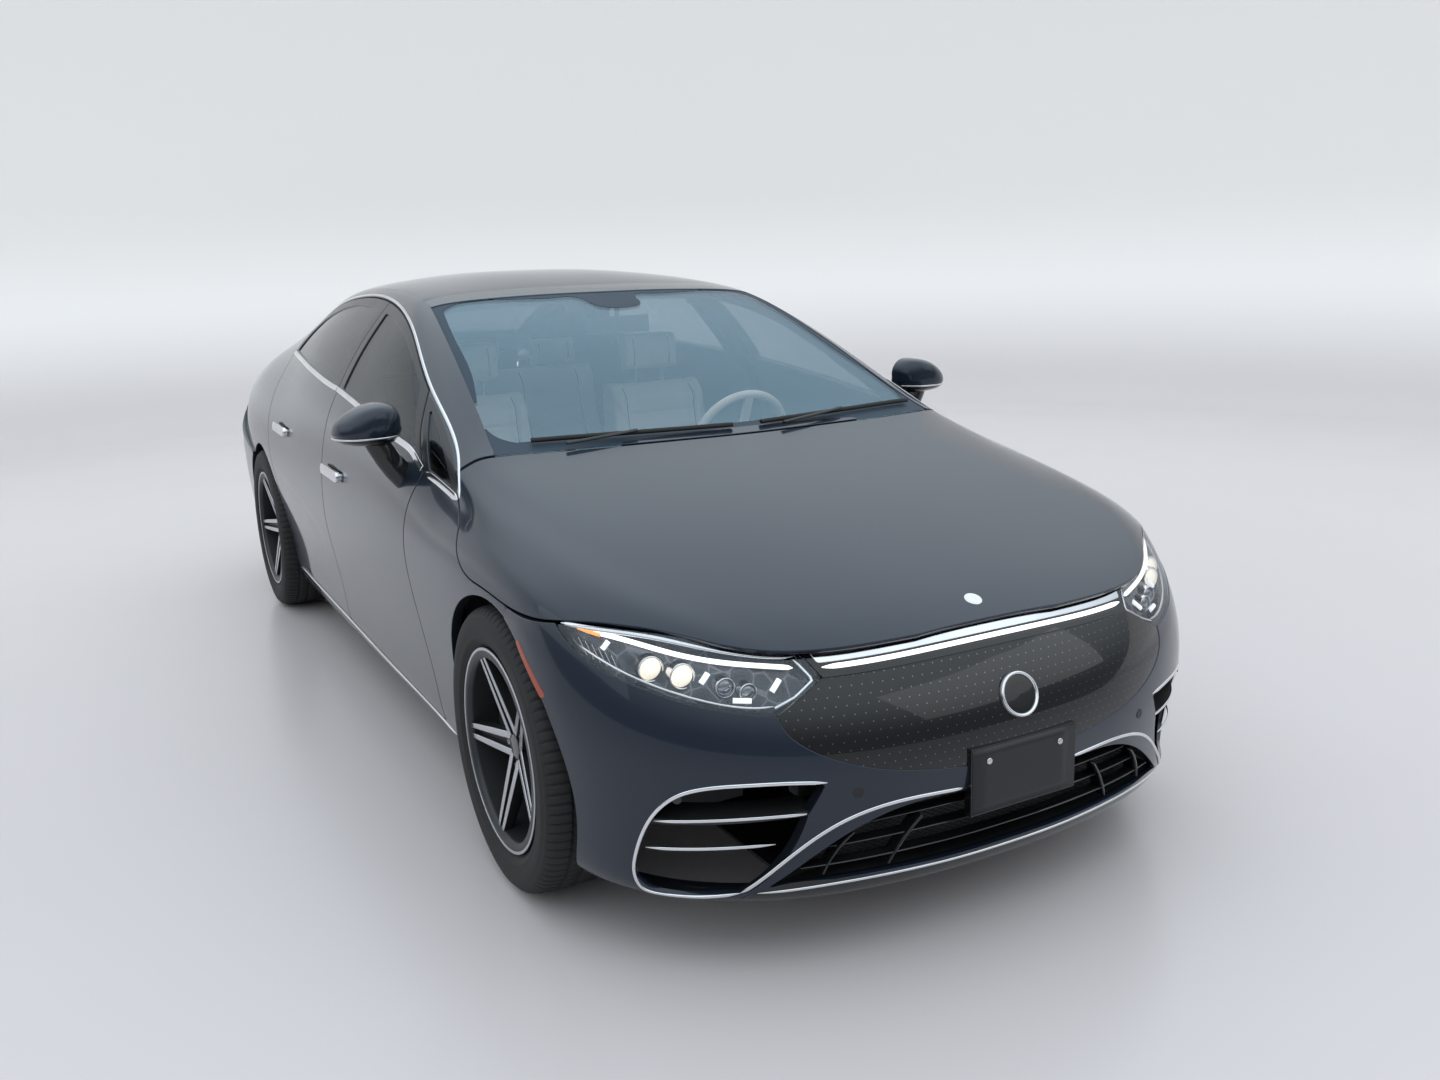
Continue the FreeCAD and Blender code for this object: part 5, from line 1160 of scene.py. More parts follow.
class Graph:
    """A material's node tree with one Principled shader."""

    def __init__(self, name: str) -> None:
        """Start an empty tree.

        Args:
            name: the material's name.
        """
        self.material = bpy.data.materials.new(name)
        self.material.use_nodes = True
        self.tree = self.material.node_tree
        self.tree.nodes.clear()

    def node(self, kind: str, settings: dict | None = None, inputs: dict | None = None,
             output: int | str = 0) -> Link:
        """Add a node.

        Args:
            kind: Blender's type name.
            settings: attributes, set first because some of them change the sockets.
            inputs: a value or a Link for each input, by name or number.
            output: the output to return, by name or number.

        Returns:
            The chosen output.
        """
        made = self.tree.nodes.new(kind)
        for key, value in (settings or {}).items():
            setattr(made, key, value)
        for key, value in (inputs or {}).items():
            if isinstance(value, Link):
                self.tree.links.new(value.socket, made.inputs[key])
            else:
                made.inputs[key].default_value = value
        return Link(self, made.outputs[output])

    def number(self, value: float) -> Link:
        """A constant.

        Args:
            value: the number.

        Returns:
            Its value as a node.
        """
        made = self.tree.nodes.new("ShaderNodeValue")
        made.outputs[0].default_value = value
        return Link(self, made.outputs[0])

    def place(self, scale: Sequence[float] = (1, 1, 1)) -> Link:
        """Object coordinates, stretched.

        Args:
            scale: stretch along each axis.

        Returns:
            The coordinates.
        """
        where = self.node("ShaderNodeTexCoord", output="Object")
        if tuple(scale) == (1, 1, 1):
            return where
        return self.node("ShaderNodeVectorMath", {"operation": "MULTIPLY"}, {0: where, 1: tuple(scale)})

    def axes(self, vector: Link | None = None) -> tuple[Link, Link, Link]:
        """X, Y and Z of a vector, or of the object coordinates.

        Args:
            vector: the vector, or None.

        Returns:
            The three values.
        """
        first = self.node("ShaderNodeSeparateXYZ", inputs={0: vector or self.place()})
        outputs = first.socket.node.outputs
        return first, Link(self, outputs[1]), Link(self, outputs[2])

    def noise(self, scale: float, detail: float = 2.0, vector: Link | None = None) -> Link:
        """Noise from 0 to 1 with a number of cells per metre."""
        return self.node("ShaderNodeTexNoise", None,
                         {"Vector": vector or self.place(), "Scale": scale, "Detail": detail}, output="Fac")

    def cells(self, scale: float, feature: str = "F1", vector: Link | None = None) -> Link:
        """Distance to the nearest of scattered points, or to the edge between their cells."""
        return self.node("ShaderNodeTexVoronoi", {"feature": feature},
                         {"Vector": vector or self.place(), "Scale": scale}, output="Distance")

    def mix(self, share: Link | float, first: Link | Colour, second: Link | Colour) -> Link:
        """Colour between two colours.

        Args:
            share: share of the second colour.
            first: colour at zero.
            second: colour at one.

        Returns:
            The colour.
        """
        def four(value: Link | Colour) -> Link | tuple:
            """A colour with its alpha."""
            return value if isinstance(value, Link) else (*value, 1.0)

        made = self.node("ShaderNodeMix", {"data_type": "RGBA"}, {0: share, 6: four(first), 7: four(second)},
                         2)
        return made

    def glance(self) -> Link:
        """Share that a smooth pane mirrors: 0.04 + 0.96 (1 - cos)^5, the same from both of its sides."""
        turned_away = self.node("ShaderNodeLayerWeight", None, {"Blend": 0.5}, output="Facing")
        return turned_away.math("POWER", 5.0) * 0.96 + 0.04

    def bump(self, height: Link, distance: float, strength: float = 1.0, below: Link | None = None) -> Link:
        """Normal of a height field.

        Args:
            height: the field, from 0 to 1.
            distance: its height in metres.
            strength: share of it that shows.
            below: a coarser normal that this one adds to.
        """
        inputs: dict = {"Strength": strength, "Distance": distance, "Height": height}
        if below is not None:
            inputs["Normal"] = below
        return self.node("ShaderNodeBump", None, inputs)

    def finish(self, **inputs: "Link | float | Sequence[float]") -> bpy.types.Material:
        """Close the tree with a Principled shader.

        Args:
            inputs: its inputs, with underscores for spaces; a colour may have three values.

        Returns:
            The material.
        """
        named: dict = {}
        for key, value in inputs.items():
            wide = key.endswith(("Color", "Tint")) and not isinstance(value, Link)
            named[key.replace("_", " ")] = (*value, 1.0) if wide else value
        shader = self.node("ShaderNodeBsdfPrincipled", None, named)
        self.node_out(shader)
        return self.material

    def node_out(self, shader: Link) -> None:
        """Connect a shader to the material's output."""
        out = self.tree.nodes.new("ShaderNodeOutputMaterial")
        self.tree.links.new(shader.socket, out.inputs["Surface"])


class Finish(Protocol):
    """A surface finish that can make its material."""

    name: str

    def build(self) -> bpy.types.Material:
        """Make the material."""


_made: dict[Finish, bpy.types.Material] = {}


def material(finish: Finish) -> bpy.types.Material:
    """The material of a finish, made once."""
    if finish not in _made:
        _made[finish] = finish.build()
    return _made[finish]


@dataclass(frozen=True)
class Paint:
    """Metallic car paint under clear lacquer, with small flakes and a faint unevenness of the lacquer."""

    name: str = "car_paint"
    colour: Colour = (0.010, 0.018, 0.034)
    metallic: float = 0.30
    roughness: float = 0.34
    coat: float = 0.85

    def build(self) -> bpy.types.Material:
        """Flakes: a fine cell pattern brightens the colour and tips the normal a little.

        Returns:
            The material.
        """
        g = Graph(self.name)
        flakes = g.cells(2600.0).ramp(0.1, 0.55, 1.0, 0.0)
        broad = g.noise(1.7, 3.0)
        dark = tuple(c * 0.82 for c in self.colour)
        light = tuple(min(1.0, c * 1.5 + 0.004) for c in self.colour)
        colour = g.mix(flakes * 0.55 + broad * 0.25, dark, light)
        rough = flakes * -0.05 + (broad * 0.04 + self.roughness)
        return g.finish(Base_Color=colour, Metallic=self.metallic, Roughness=rough,
                        Normal=g.bump(flakes, 0.00002, 0.35), Coat_Weight=self.coat, Coat_Roughness=0.035,
                        Coat_IOR=1.5, Specular_IOR_Level=0.12)


@dataclass(frozen=True)
class Metal:
    """Bare or plated metal.

    Attributes:
        colour: reflected colour.
        roughness: mean roughness.
        grain: height of the brushing or casting texture in metres.
        scale: cells of the texture per metre.
        stretch: how much the texture is drawn out along each axis.
        stain: how much the colour darkens in patches.
    """

    name: str = "chrome"
    colour: Colour = (0.80, 0.81, 0.83)
    roughness: float = 0.10
    grain: float = 0.00001
    scale: float = 900.0
    stretch: tuple[float, float, float] = (1.0, 0.12, 1.0)
    stain: float = 0.06
    metallic: float = 1.0

    def build(self) -> bpy.types.Material:
        """Fine noise as brushing or casting skin, and broad noise as staining.

        Returns:
            The material.
        """
        g = Graph(self.name)
        fine = g.noise(self.scale, 3.0, g.place(self.stretch))
        broad = g.noise(7.0, 3.0)
        dark = tuple(c * (1 - 2 * self.stain) for c in self.colour)
        return g.finish(Base_Color=g.mix(broad.ramp(0.35, 0.75), self.colour, dark), Metallic=self.metallic,
                        Roughness=broad * 0.08 + (fine * 0.08 + (self.roughness - 0.06)),
                        Normal=g.bump(fine, self.grain, 0.6))


@dataclass(frozen=True)
class Plastic:
    """Moulded plastic or other plain opaque matter with a pebbled grain.

    Attributes:
        colour: colour of the matter.
        roughness: mean roughness.
        grain: height of the pebbles in metres.
        scale: pebbles per metre.
        coat: weight of a gloss coat.
        dust: how much paler the matter is in dusty patches.
    """

    name: str = "black_plastic"
    colour: Colour = (0.012, 0.012, 0.013)
    roughness: float = 0.5
    grain: float = 0.00015
    scale: float = 700.0
    coat: float = 0.0
    dust: float = 0.02

    def build(self) -> bpy.types.Material:
        """Cell pattern as pebbled grain, and broad noise as dust.

        Returns:
            The material.
        """
        g = Graph(self.name)
        pebbles = g.cells(self.scale)
        broad = g.noise(5.0, 4.0)
        pale = tuple(min(1.0, c + self.dust) for c in self.colour)
        return g.finish(Base_Color=g.mix(broad.ramp(0.4, 0.8), self.colour, pale),
                        Roughness=broad * 0.12 + (self.roughness - 0.06), Coat_Weight=self.coat,
                        Coat_Roughness=0.04, Normal=g.bump(pebbles, self.grain, 0.5),
                        Specular_IOR_Level=0.5 - 0.4 * self.coat)


@dataclass(frozen=True)
class Pane:
    """Thin tinted glass: mostly clear when seen squarely and mirror-like at a glancing angle.

    Attributes:
        sheen: colour that it mirrors.
        cover: how much it hides when seen squarely.
        lines: spacing of fine heater wires in metres, or 0 for none.
    """

    name: str = "window_glass"
    sheen: Colour = (0.10, 0.11, 0.12)
    cover: float = 0.50
    lines: float = 0.0

    def build(self) -> bpy.types.Material:
        """The share that hides grows with the glance; a faint film of dust makes the gloss uneven.

        Returns:
            The material.
        """
        g = Graph(self.name)
        film = g.noise(4.0, 4.0)
        cover = g.glance() * (1.0 - self.cover) + (film * 0.03 + self.cover)
        colour: Link | Colour = g.mix(film.ramp(0.45, 0.9), self.sheen, tuple(c * 0.9 for c in self.sheen))
        if self.lines > 0:
            _, y, _ = g.axes()
            wire = (y / self.lines).math("FRACT").math("SUBTRACT",
                                                       0.5).math("ABSOLUTE").ramp(0.03, 0.05, 1.0, 0.0)
            cover = cover.math("MAXIMUM", wire * 0.9)
            colour = g.mix(wire, colour, (0.12, 0.05, 0.02))
        return g.finish(Base_Color=colour, Metallic=1.0, Roughness=film * 0.02 + 0.01,
                        Alpha=cover.math("MINIMUM", 1.0))


@dataclass(frozen=True)
class Glow:
    """A lit lens: a bright core behind fine vertical ribs.

    Attributes:
        colour: colour of the light.
        strength: how bright.
        ribs: spacing of the ribs in metres.
    """

    name: str = "white_light"
    colour: Colour = (1.0, 1.0, 1.0)
    strength: float = 1.6
    ribs: float = 0.004

    def build(self) -> bpy.types.Material:
        """Ribs from a sine of the place across the car darken and tip the surface a little.

        Returns:
            The material.
        """
        g = Graph(self.name)
        x, y, _ = g.axes()
        wave = ((x + y) * (2 * math.pi / self.ribs)).math("SINE") * 0.5 + 0.5
        low = tuple(c * 0.82 for c in self.colour)
        colour = g.mix(wave, low, self.colour)
        return g.finish(Base_Color=colour, Roughness=0.25, Emission_Color=colour,
                        Emission_Strength=self.strength, Normal=g.bump(wave, 0.0004, 0.4), Coat_Weight=0.6,
                        Coat_Roughness=0.05)


@dataclass(frozen=True)
class Hide:
    """Leather or leather-like cover, with pores and creases.

    Attributes:
        colour: colour of the hide.
        holes: spacing of punched holes in metres, or 0 for none.
    """

    name: str = "seat_leather"
    colour: Colour = (0.60, 0.53, 0.45)
    holes: float = 0.0

    def build(self) -> bpy.types.Material:
        """Cell edges as creases, darkened in colour as painted shade, fine cells as pores, broad noise as
        wear, and a grid of dots as punched holes, coloured near black as painted shade inside them.

        Returns:
            The material.
        """
        g = Graph(self.name)
        creases = g.cells(420.0, "DISTANCE_TO_EDGE").ramp(0.0, 0.12)
        broad = g.noise(6.0, 4.0)
        dark = tuple(c * 0.72 for c in self.colour)
        # painted shade: the colour darkens along the creases
        colour: Link = g.mix(creases * 0.5 + broad * 0.5, dark, self.colour)
        height = creases * 0.7 + g.cells(1500.0) * 0.3
        if self.holes > 0:
            x, y, z = g.axes()
            dots = []
            for a in (x, y + z):
                dots.append((a / self.holes).math("FRACT").math("SUBTRACT", 0.5).math("ABSOLUTE"))
            away = (dots[0] * dots[0] + dots[1] * dots[1]).math("SQRT")
            hole = away.ramp(0.16, 0.24)
            # painted shade: the punched holes are coloured near black
            colour = g.mix(hole, tuple(c * 0.12 for c in self.colour), colour)
            height = height * hole
        return g.finish(Base_Color=colour, Roughness=broad * 0.15 + 0.42, Normal=g.bump(height, 0.0003, 0.5),
                        Specular_IOR_Level=0.35)


@dataclass(frozen=True)
class Pile:
    """Carpet: short tufts."""

    name: str = "carpet"
    colour: Colour = (0.05, 0.048, 0.046)

    def build(self) -> bpy.types.Material:
        """Fine noise as tufts, broader noise as trodden patches.

        Returns:
            The material.
        """
        g = Graph(self.name)
        tufts, broad = g.noise(1400.0, 4.0), g.noise(9.0, 3.0)
        colour = g.mix(tufts * 0.6 + broad * 0.4, tuple(c * 0.5 for c in self.colour),
                       tuple(c * 1.6 for c in self.colour))
        return g.finish(Base_Color=colour, Roughness=0.95, Normal=g.bump(tufts, 0.002, 0.8),
                        Specular_IOR_Level=0.2)


@dataclass(frozen=True)
class Lens:
    """Clear or coloured lamp cover.

    Attributes:
        tint: colour of the cover.
        cover: how much it hides when seen squarely.
        metallic: share of mirror-like gloss, which a clear cover has instead of body colour.
    """

    name: str = "clear_lens"
    tint: Colour = (0.38, 0.41, 0.45)
    cover: float = 0.015
    metallic: float = 1.0

    def build(self) -> bpy.types.Material:
        """The share that hides grows with the glance; a little haze varies over the cover.

        Returns:
            The material.
        """
        g = Graph(self.name)
        haze = g.noise(12.0, 3.0)
        cover = g.glance() * (1.0 - self.cover) + (haze * 0.03 + self.cover)
        return g.finish(Base_Color=g.mix(haze, tuple(c * 0.9 for c in self.tint), self.tint),
                        Metallic=self.metallic, Roughness=haze * 0.03 + 0.01,
                        Alpha=cover.math("MINIMUM", 1.0), Specular_IOR_Level=0.8)


@dataclass(frozen=True)
class Dots:
    """Gloss black cover with an even field of small bright dots behind the lacquer.

    Attributes:
        spacing: distance between dots in metres.
        radius: radius of a dot in metres.
    """

    name: str = "dotted_panel"
    colour: Colour = (0.006, 0.006, 0.007)
    spacing: float = 0.024
    radius: float = 0.0014

    def build(self) -> bpy.types.Material:
        """Each row of dots is shifted by half a space; a dot's distance comes from the fractions of X and
        Z.

        Returns:
            The material.
        """
        g = Graph(self.name)
        x, _, z = g.axes()
        row = (z / (self.spacing * 0.75)).math("FLOOR")
        shift = row.math("MODULO", 2.0) * 0.5
        a = ((x / self.spacing) + shift + 50.0).math("FRACT").math("SUBTRACT", 0.5) * self.spacing
        b = (z / (self.spacing * 0.75)).math("FRACT").math("SUBTRACT", 0.5) * (self.spacing * 0.75)
        away = (a * a + b * b).math("SQRT")
        dot = away.ramp(self.radius * 0.75, self.radius * 1.2, 1.0, 0.0)
        broad = g.noise(4.0, 3.0)
        return g.finish(Base_Color=g.mix(dot, self.colour, (0.15, 0.155, 0.165)), Metallic=dot * 0.9,
                        Roughness=dot * 0.12 + (broad * 0.03 + 0.10), Coat_Weight=0.9, Coat_Roughness=0.02,
                        Specular_IOR_Level=0.1)


@dataclass(frozen=True)
class Mesh:
    """Black grille mesh: a diamond net whose openings are coloured near black as painted shade.

    Attributes:
        pitch: width of a diamond in metres.
    """

    name: str = "intake_mesh"
    pitch: float = 0.022

    def build(self) -> bpy.types.Material:
        """Two slanted sets of bars, from the fractions of X + 2Z and X - 2Z.

        Returns:
            The material.
        """
        g = Graph(self.name)
        x, _, z = g.axes()
        bars = []
        for way in (x + z * 2.0, x - z * 2.0):
            bars.append((way / self.pitch).math("FRACT").math("SUBTRACT",
                                                              0.5).math("ABSOLUTE").ramp(0.36, 0.44))
        net = bars[0].math("MAXIMUM", bars[1])
        # painted shade: the openings between the bars are coloured near black
        return g.finish(Base_Color=g.mix(net, (0.001, 0.001, 0.001), (0.022, 0.022, 0.024)),
                        Roughness=net * -0.4 + 0.75, Normal=g.bump(net, 0.004, 1.0))


@dataclass(frozen=True)
class Tray:
    """Inside of a lamp: dark bowl with stepped facets whose colour carries painted shading and a painted
    highlight on their edges.

    Attributes:
        dark: colour of the bowl.
        bright: colour of the painted highlight on the facets' edges.
    """

    name: str = "lamp_tray"
    dark: Colour = (0.016, 0.018, 0.022)
    bright: Colour = (0.17, 0.18, 0.20)

    def build(self) -> bpy.types.Material:
        """Large cells tip the surface like facets; the colour darkens towards each facet's middle and
        brightens at its edges as painted shading and highlight.

        Returns:
            The material.
        """
        g = Graph(self.name)
        facets = g.cells(22.0)
        edges = g.cells(22.0, "DISTANCE_TO_EDGE").ramp(0.01, 0.06, 1.0, 0.0)
        # painted shading and highlight: dark in each facet's middle, bright along its edges
        return g.finish(Base_Color=g.mix(edges * 0.6 + facets * 0.35, self.dark, self.bright), Metallic=0.75,
                        Roughness=facets * 0.2 + 0.16, Normal=g.bump(facets, 0.004, 0.5), Coat_Weight=0.3,
                        Coat_Roughness=0.05)


PAINT = Paint()
JAMB = Paint("jamb_paint", (0.012, 0.015, 0.020), 0.45, 0.45, 0.35)
CHROME = Metal()
SATIN = Metal("satin_trim", (0.62, 0.63, 0.65), 0.22)
STEEL = Metal("cast_metal", (0.36, 0.36, 0.37), 0.42, 0.0004, 320.0, (1, 1, 1), 0.12)
CASE = Metal("battery_case", (0.50, 0.51, 0.52), 0.38, 0.0002, 160.0, (1, 1, 1), 0.08)
BLACK = Plastic()
GLOSS = Plastic("gloss_black", (0.006, 0.006, 0.007), 0.22, 0.00001, 300.0, 1.0, 0.003)
SEAL = Plastic("rubber_seal", (0.010, 0.010, 0.010), 0.62, 0.0001, 500.0, 0.0, 0.012)
WINDOW = Pane()
SCREEN = Pane("windscreen_glass", (0.42, 0.62, 0.75), 0.075)
ROOF_GLASS = Pane("roof_glass", (0.09, 0.11, 0.14), 0.93)
REAR_PANE = Pane("rear_window_glass", (0.10, 0.12, 0.14), 0.60, 0.034)
MIRROR = Metal("mirror_glass", (0.70, 0.73, 0.76), 0.07, 0.000001, 200.0, (1, 1, 1), 0.02)
LAMP_LENS = Lens()
WHITE_LIGHT = Glow()
LEATHER = Hide()
CARPET = Pile()
RUBBER = Plastic("tyre_rubber", (0.012, 0.012, 0.0125), 0.74, 0.0001, 900.0, 0.0, 0.008)
ALLOY = Metal("wheel_alloy", (0.58, 0.59, 0.61), 0.26, 0.00003, 900.0, (1, 1, 1), 0.05)
DARK_ALLOY = Metal("wheel_dark", (0.045, 0.047, 0.052), 0.40, 0.00003, 700.0, (1, 1, 1), 0.05, 0.55)

PIPING = Hide("dark_leather", (0.045, 0.040, 0.036))
# painted reflection: the black border print is tinted blue for the sky mirrored over it
BORDER = Plastic("glass_border", (0.012, 0.034, 0.058), 0.60, 0.00001, 300.0, 0.0, 0.003)
SCREEN_GLASS = Plastic("display_glass", (0.004, 0.005, 0.007), 0.12, 0.000005, 300.0, 1.0, 0.002)
RED_COVER = Plastic("red_cover", (0.20, 0.004, 0.006), 0.16, 0.00003, 240.0, 1.0, 0.01)
RED_LIGHT = Glow("red_light", (1.0, 0.035, 0.03), 1.1, 0.004)
DOTTED = Dots()
MESH = Mesh()
LAMP_TRAY = Tray()
LAMP_GLASS = Lens("projector_glass", (0.80, 0.84, 0.90), 0.30)
SOFT_LIGHT = Glow("soft_light", (0.92, 0.96, 1.0), 0.9, 0.003)
WARM_LIGHT = Glow("warm_light", (1.0, 0.93, 0.78), 0.9, 0.006)
AMBER_LIGHT = Glow("amber_light", (1.0, 0.34, 0.06), 1.2, 0.003)
AMBER = Plastic("amber_lens", (0.34, 0.040, 0.006), 0.20, 0.0002, 260.0, 0.4, 0.01)
FRAME_BLACK = Plastic("window_frame", (0.005, 0.005, 0.006), 0.34, 0.00001, 300.0, 0.25, 0.002)
PLATE = Plastic("plate", (0.010, 0.011, 0.013), 0.42, 0.00012, 900.0, 0.0, 0.004)

NODE_FINISH: dict[str, Finish] = {
    "paint": JAMB, "glass": WINDOW, "roof_glass": ROOF_GLASS, "black_trim": BLACK, "gloss_black": GLOSS,
    "lamp": GLOSS, "tail_lens": GLOSS, "tyre": RUBBER, "wheel": DARK_ALLOY, "steel": STEEL, "battery": CASE,
    "leather": LEATHER, "carpet": CARPET}


# Pieces

class Body(Enum):
    """The moving and fixed bodies of the CAD model."""

    CAR = "car_body"
    FRONT_WHEEL = "front_wheel"
    REAR_WHEEL = "rear_wheel"
    HUB = "hub"
    DOOR_FRONT = "door_front"
    DOOR_REAR = "door_rear"
    HOOD = "hood"
    HATCH = "hatch"
    WHEEL = "steering_wheel"

    def on(self, side: str) -> str:
        """The body's name on a side, left or right, or its own where it has none."""
        sided = self in (Body.FRONT_WHEEL, Body.REAR_WHEEL, Body.HUB, Body.DOOR_FRONT, Body.DOOR_REAR)
        return f"{self.value}_{side}" if sided else self.value


def piece(name: str, sheet: Sheet, finish: Finish, body: str, replaces: Sequence[str] = (),
          flat: bool = False) -> bpy.types.Object:
    """Turn a sheet into a mesh object of the scene.

    Args:
        name: the object's name.
        sheet: its surface.
        finish: what it is made of.
        body: the CAD body that it moves with.
        replaces: CAD nodes that it stands for.
        flat: leave its faces flat instead of smooth.

    Returns:
        The object.
    """
    mesh = bpy.data.meshes.new(name)
    sizes = np.concatenate([np.full(len(f), f.shape[1]) for f in sheet.faces])
    corners = np.concatenate([f.ravel() for f in sheet.faces])
    mesh.vertices.add(len(sheet.points))
    mesh.vertices.foreach_set("co", sheet.points.astype(np.float32).ravel())
    mesh.loops.add(len(corners))
    mesh.loops.foreach_set("vertex_index", corners.astype(np.int32))
    mesh.polygons.add(len(sizes))
    mesh.polygons.foreach_set("loop_start", np.concatenate([[0], np.cumsum(sizes)[:-1]]).astype(np.int32))
    mesh.update(calc_edges=True)
    mesh.validate(clean_customdata=False)
    if not flat:
        mesh.polygons.foreach_set("use_smooth", np.ones(len(mesh.polygons), bool))
        mesh.normals_split_custom_set_from_vertices(sheet.normals)
    obj = bpy.data.objects.new(name, mesh)
    bpy.context.scene.collection.objects.link(obj)
    obj.data.materials.append(material(finish))
    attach(obj, body)
    if replaces:
        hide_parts(*replaces)
    log.info("piece %s on %s: %d points", name, body, len(sheet.points))
    return obj


def both_sides(name: str, sheet: Sheet, finish: Finish, body: Body, replaces: Sequence[str] = (),
               flat: bool = False) -> None:
    """A piece on the car's left side and its mirror image on the right.

    Args:
        name: name without the side.
        sheet: the left piece.
        finish: what it is made of.
        body: the body it moves with, on each side.
        replaces: names without the side of CAD nodes that it stands for.
        flat: leave its faces flat.
    """
    for side, shape in (("left", sheet), ("right", sheet.mirrored())):
        piece(f"{name}_{side}", shape, finish, body.on(side), [f"{r}_{side}" for r in replaces], flat)


HEM = ((1.0, 0.25), (1.75, 1.0), (2.0, 2.2), (2.0, 11.0))


@dataclass
class Shell:
    """Painted outer skins, each a little proud of the CAD wall beneath it.

    Attributes:
        gap: clearance between two neighbours' walls in millimetres.
        overhang: how far a skin reaches over its wall's edge in millimetres, hem included.
        lift: height of a skin over its wall in metres.
        step: size of the mesh's cells in metres.
        tyre: radius of a tyre in metres.
        arch: radius of a wheel opening in metres.
    """

    gap: float = 6.0
    overhang: float = 1.2
    lift: float = 0.0011
    step: float = 0.012
    tyre: float = 0.369
    arch: float = 0.398
    front_axle: float = -1.732
    rear_axle: float = 1.478

    def side(self, runs: Runs) -> Outline:
        """An outline seen from the side."""
        return Outline(View.SIDE, runs)

    def hood_area(self) -> Area:
        """The hood's outline: its side line, and the line beside and behind it at the windscreen."""
        return Area([self.side(HOOD_SIDE_REGION)], [Outline(View.PLAN, grown(BEHIND_COWL, 8))])

    def hood_clear(self) -> Area:
        """What the hood's neighbours leave free."""
        return Area([self.side(grown(HOOD_SIDE_REGION, self.gap))],
                    [Outline(View.PLAN, grown(BEHIND_COWL, -6))])

    def arches(self) -> list[Circle]:
        """Openings of the front and rear wheels."""
        return [Circle(y, self.tyre, self.arch) for y in (self.front_axle, self.rear_axle)]

    def skin(self, surface: Skin, area: Area, u_span: Point2, v_span: Point2) -> Sheet:
        """A trimmed and hemmed skin."""
        flat = trimmed(surface, area.grown(self.overhang - 2.0), u_span, v_span, self.step, self.lift)
        return flat.hemmed(HEM)

    def build(self) -> None:
        """All painted skins."""
        row, arches = BODY.row_at, self.arches()
        doors = self.side(grown(DOORS_SIDE, self.gap))
        hood = self.skin(BODY, self.hood_area(), (row(-2.62), row(-1.15)), (0.0, 1.0))
        piece("hood_skin", hood, PAINT, Body.HOOD.value)
        fender = Area([self.side(FENDER_REGION)], [self.hood_clear(), doors, arches[0]])
        both_sides("fender_skin", self.skin(BODY, fender, (row(-2.0), row(-1.0)), (0.0, 0.5)), PAINT,
                   Body.CAR)
        body_side = Area([self.side(BODY_SIDE_REGION)],
                         [Outline(View.PLAN, CENTRE_PLAN), doors, self.side(TIP_WINDOW), *arches,
                          self.hood_clear()])
        both_sides("body_side_skin", self.skin(BODY, body_side, (row(-1.53), 1.0), (0.0, 0.5)), PAINT,
                   Body.CAR)
        front_door = Area([self.side(FRONT_DOOR_SIDE)], [self.side(FRONT_WINDOW)])
        both_sides("front_door_skin", self.skin(BODY, front_door, (row(-1.2), row(0.2)), (0.0, 0.5)), PAINT,
                   Body.DOOR_FRONT)
        rear_door = Area([self.side(REAR_DOOR_SIDE)],
                         [self.side(REAR_WINDOW), self.side(grown(FRONT_DOOR_SIDE, self.gap))])
        both_sides("rear_door_skin", self.skin(BODY, rear_door, (row(-0.0), row(1.45)), (0.0, 0.5)), PAINT,
                   Body.DOOR_REAR)
        self.build_front()
        self.build_rear()

    def build_front(self) -> None:
        """Front bumper."""
        cuts: list[Holder] = [Outline(View.FRONT, HEADLAMP_FRONT, True),
                              Outline(View.FRONT, SIDE_INTAKE, True), Outline(View.FRONT, BAR_FRONT),
                              Outline(View.FRONT, PANEL_FRONT), Outline(View.FRONT, LOWER_INTAKE),
                              self.hood_clear(), self.arches()[0]]
        bumper = Area([self.side(BUMPER_REGION)], cuts)
        piece("front_bumper_skin", self.skin(NOSE, bumper, (0.0, 1.0), (0.0, 1.0)), PAINT, Body.CAR.value)

    def build_rear(self) -> None:
        """Hatch and rear bumper."""
        seam = Band(1, 1.1605, 9.0)
        deck = Area([Outline(View.PLAN, grown(HATCH_PLAN, -self.gap)), seam],
                    [Outline(View.PLAN, REAR_GLASS_PLAN)])
        upper = self.skin(BODY, deck, (BODY.row_at(1.1), 1.0), (0.2, 0.8))
        corner = polygon([(CORNER_X, CORNER_Z), (CORNER_X + 100, CORNER_Z), (CORNER_X + 100, TOP),
                          (CORNER_X, TOP)])
        low = Area([Outline(View.FRONT, HATCH_REAR), Band(2, 0.0, 1.060)],
                   [Outline(View.FRONT, TAIL_BAR), Outline(View.FRONT, corner, True)])
        lower = self.skin(TAIL, low, (0.0, 1.0), (0.0, 1.0))
        piece("hatch_skin", upper.joined(lower), PAINT, Body.HATCH.value)
        bumper = Area([Band(0, -9.0, 9.0)],
                      [Outline(View.FRONT, TAIL_LAMP, True), self.side(QUARTER_REGION),
                       Outline(View.FRONT, grown(HATCH_REAR, self.gap)), self.arches()[1]])
        piece("rear_bumper_skin", self.skin(TAIL, bumper, (0.0, 1.0), (0.0, 1.0)), PAINT, Body.CAR.value)


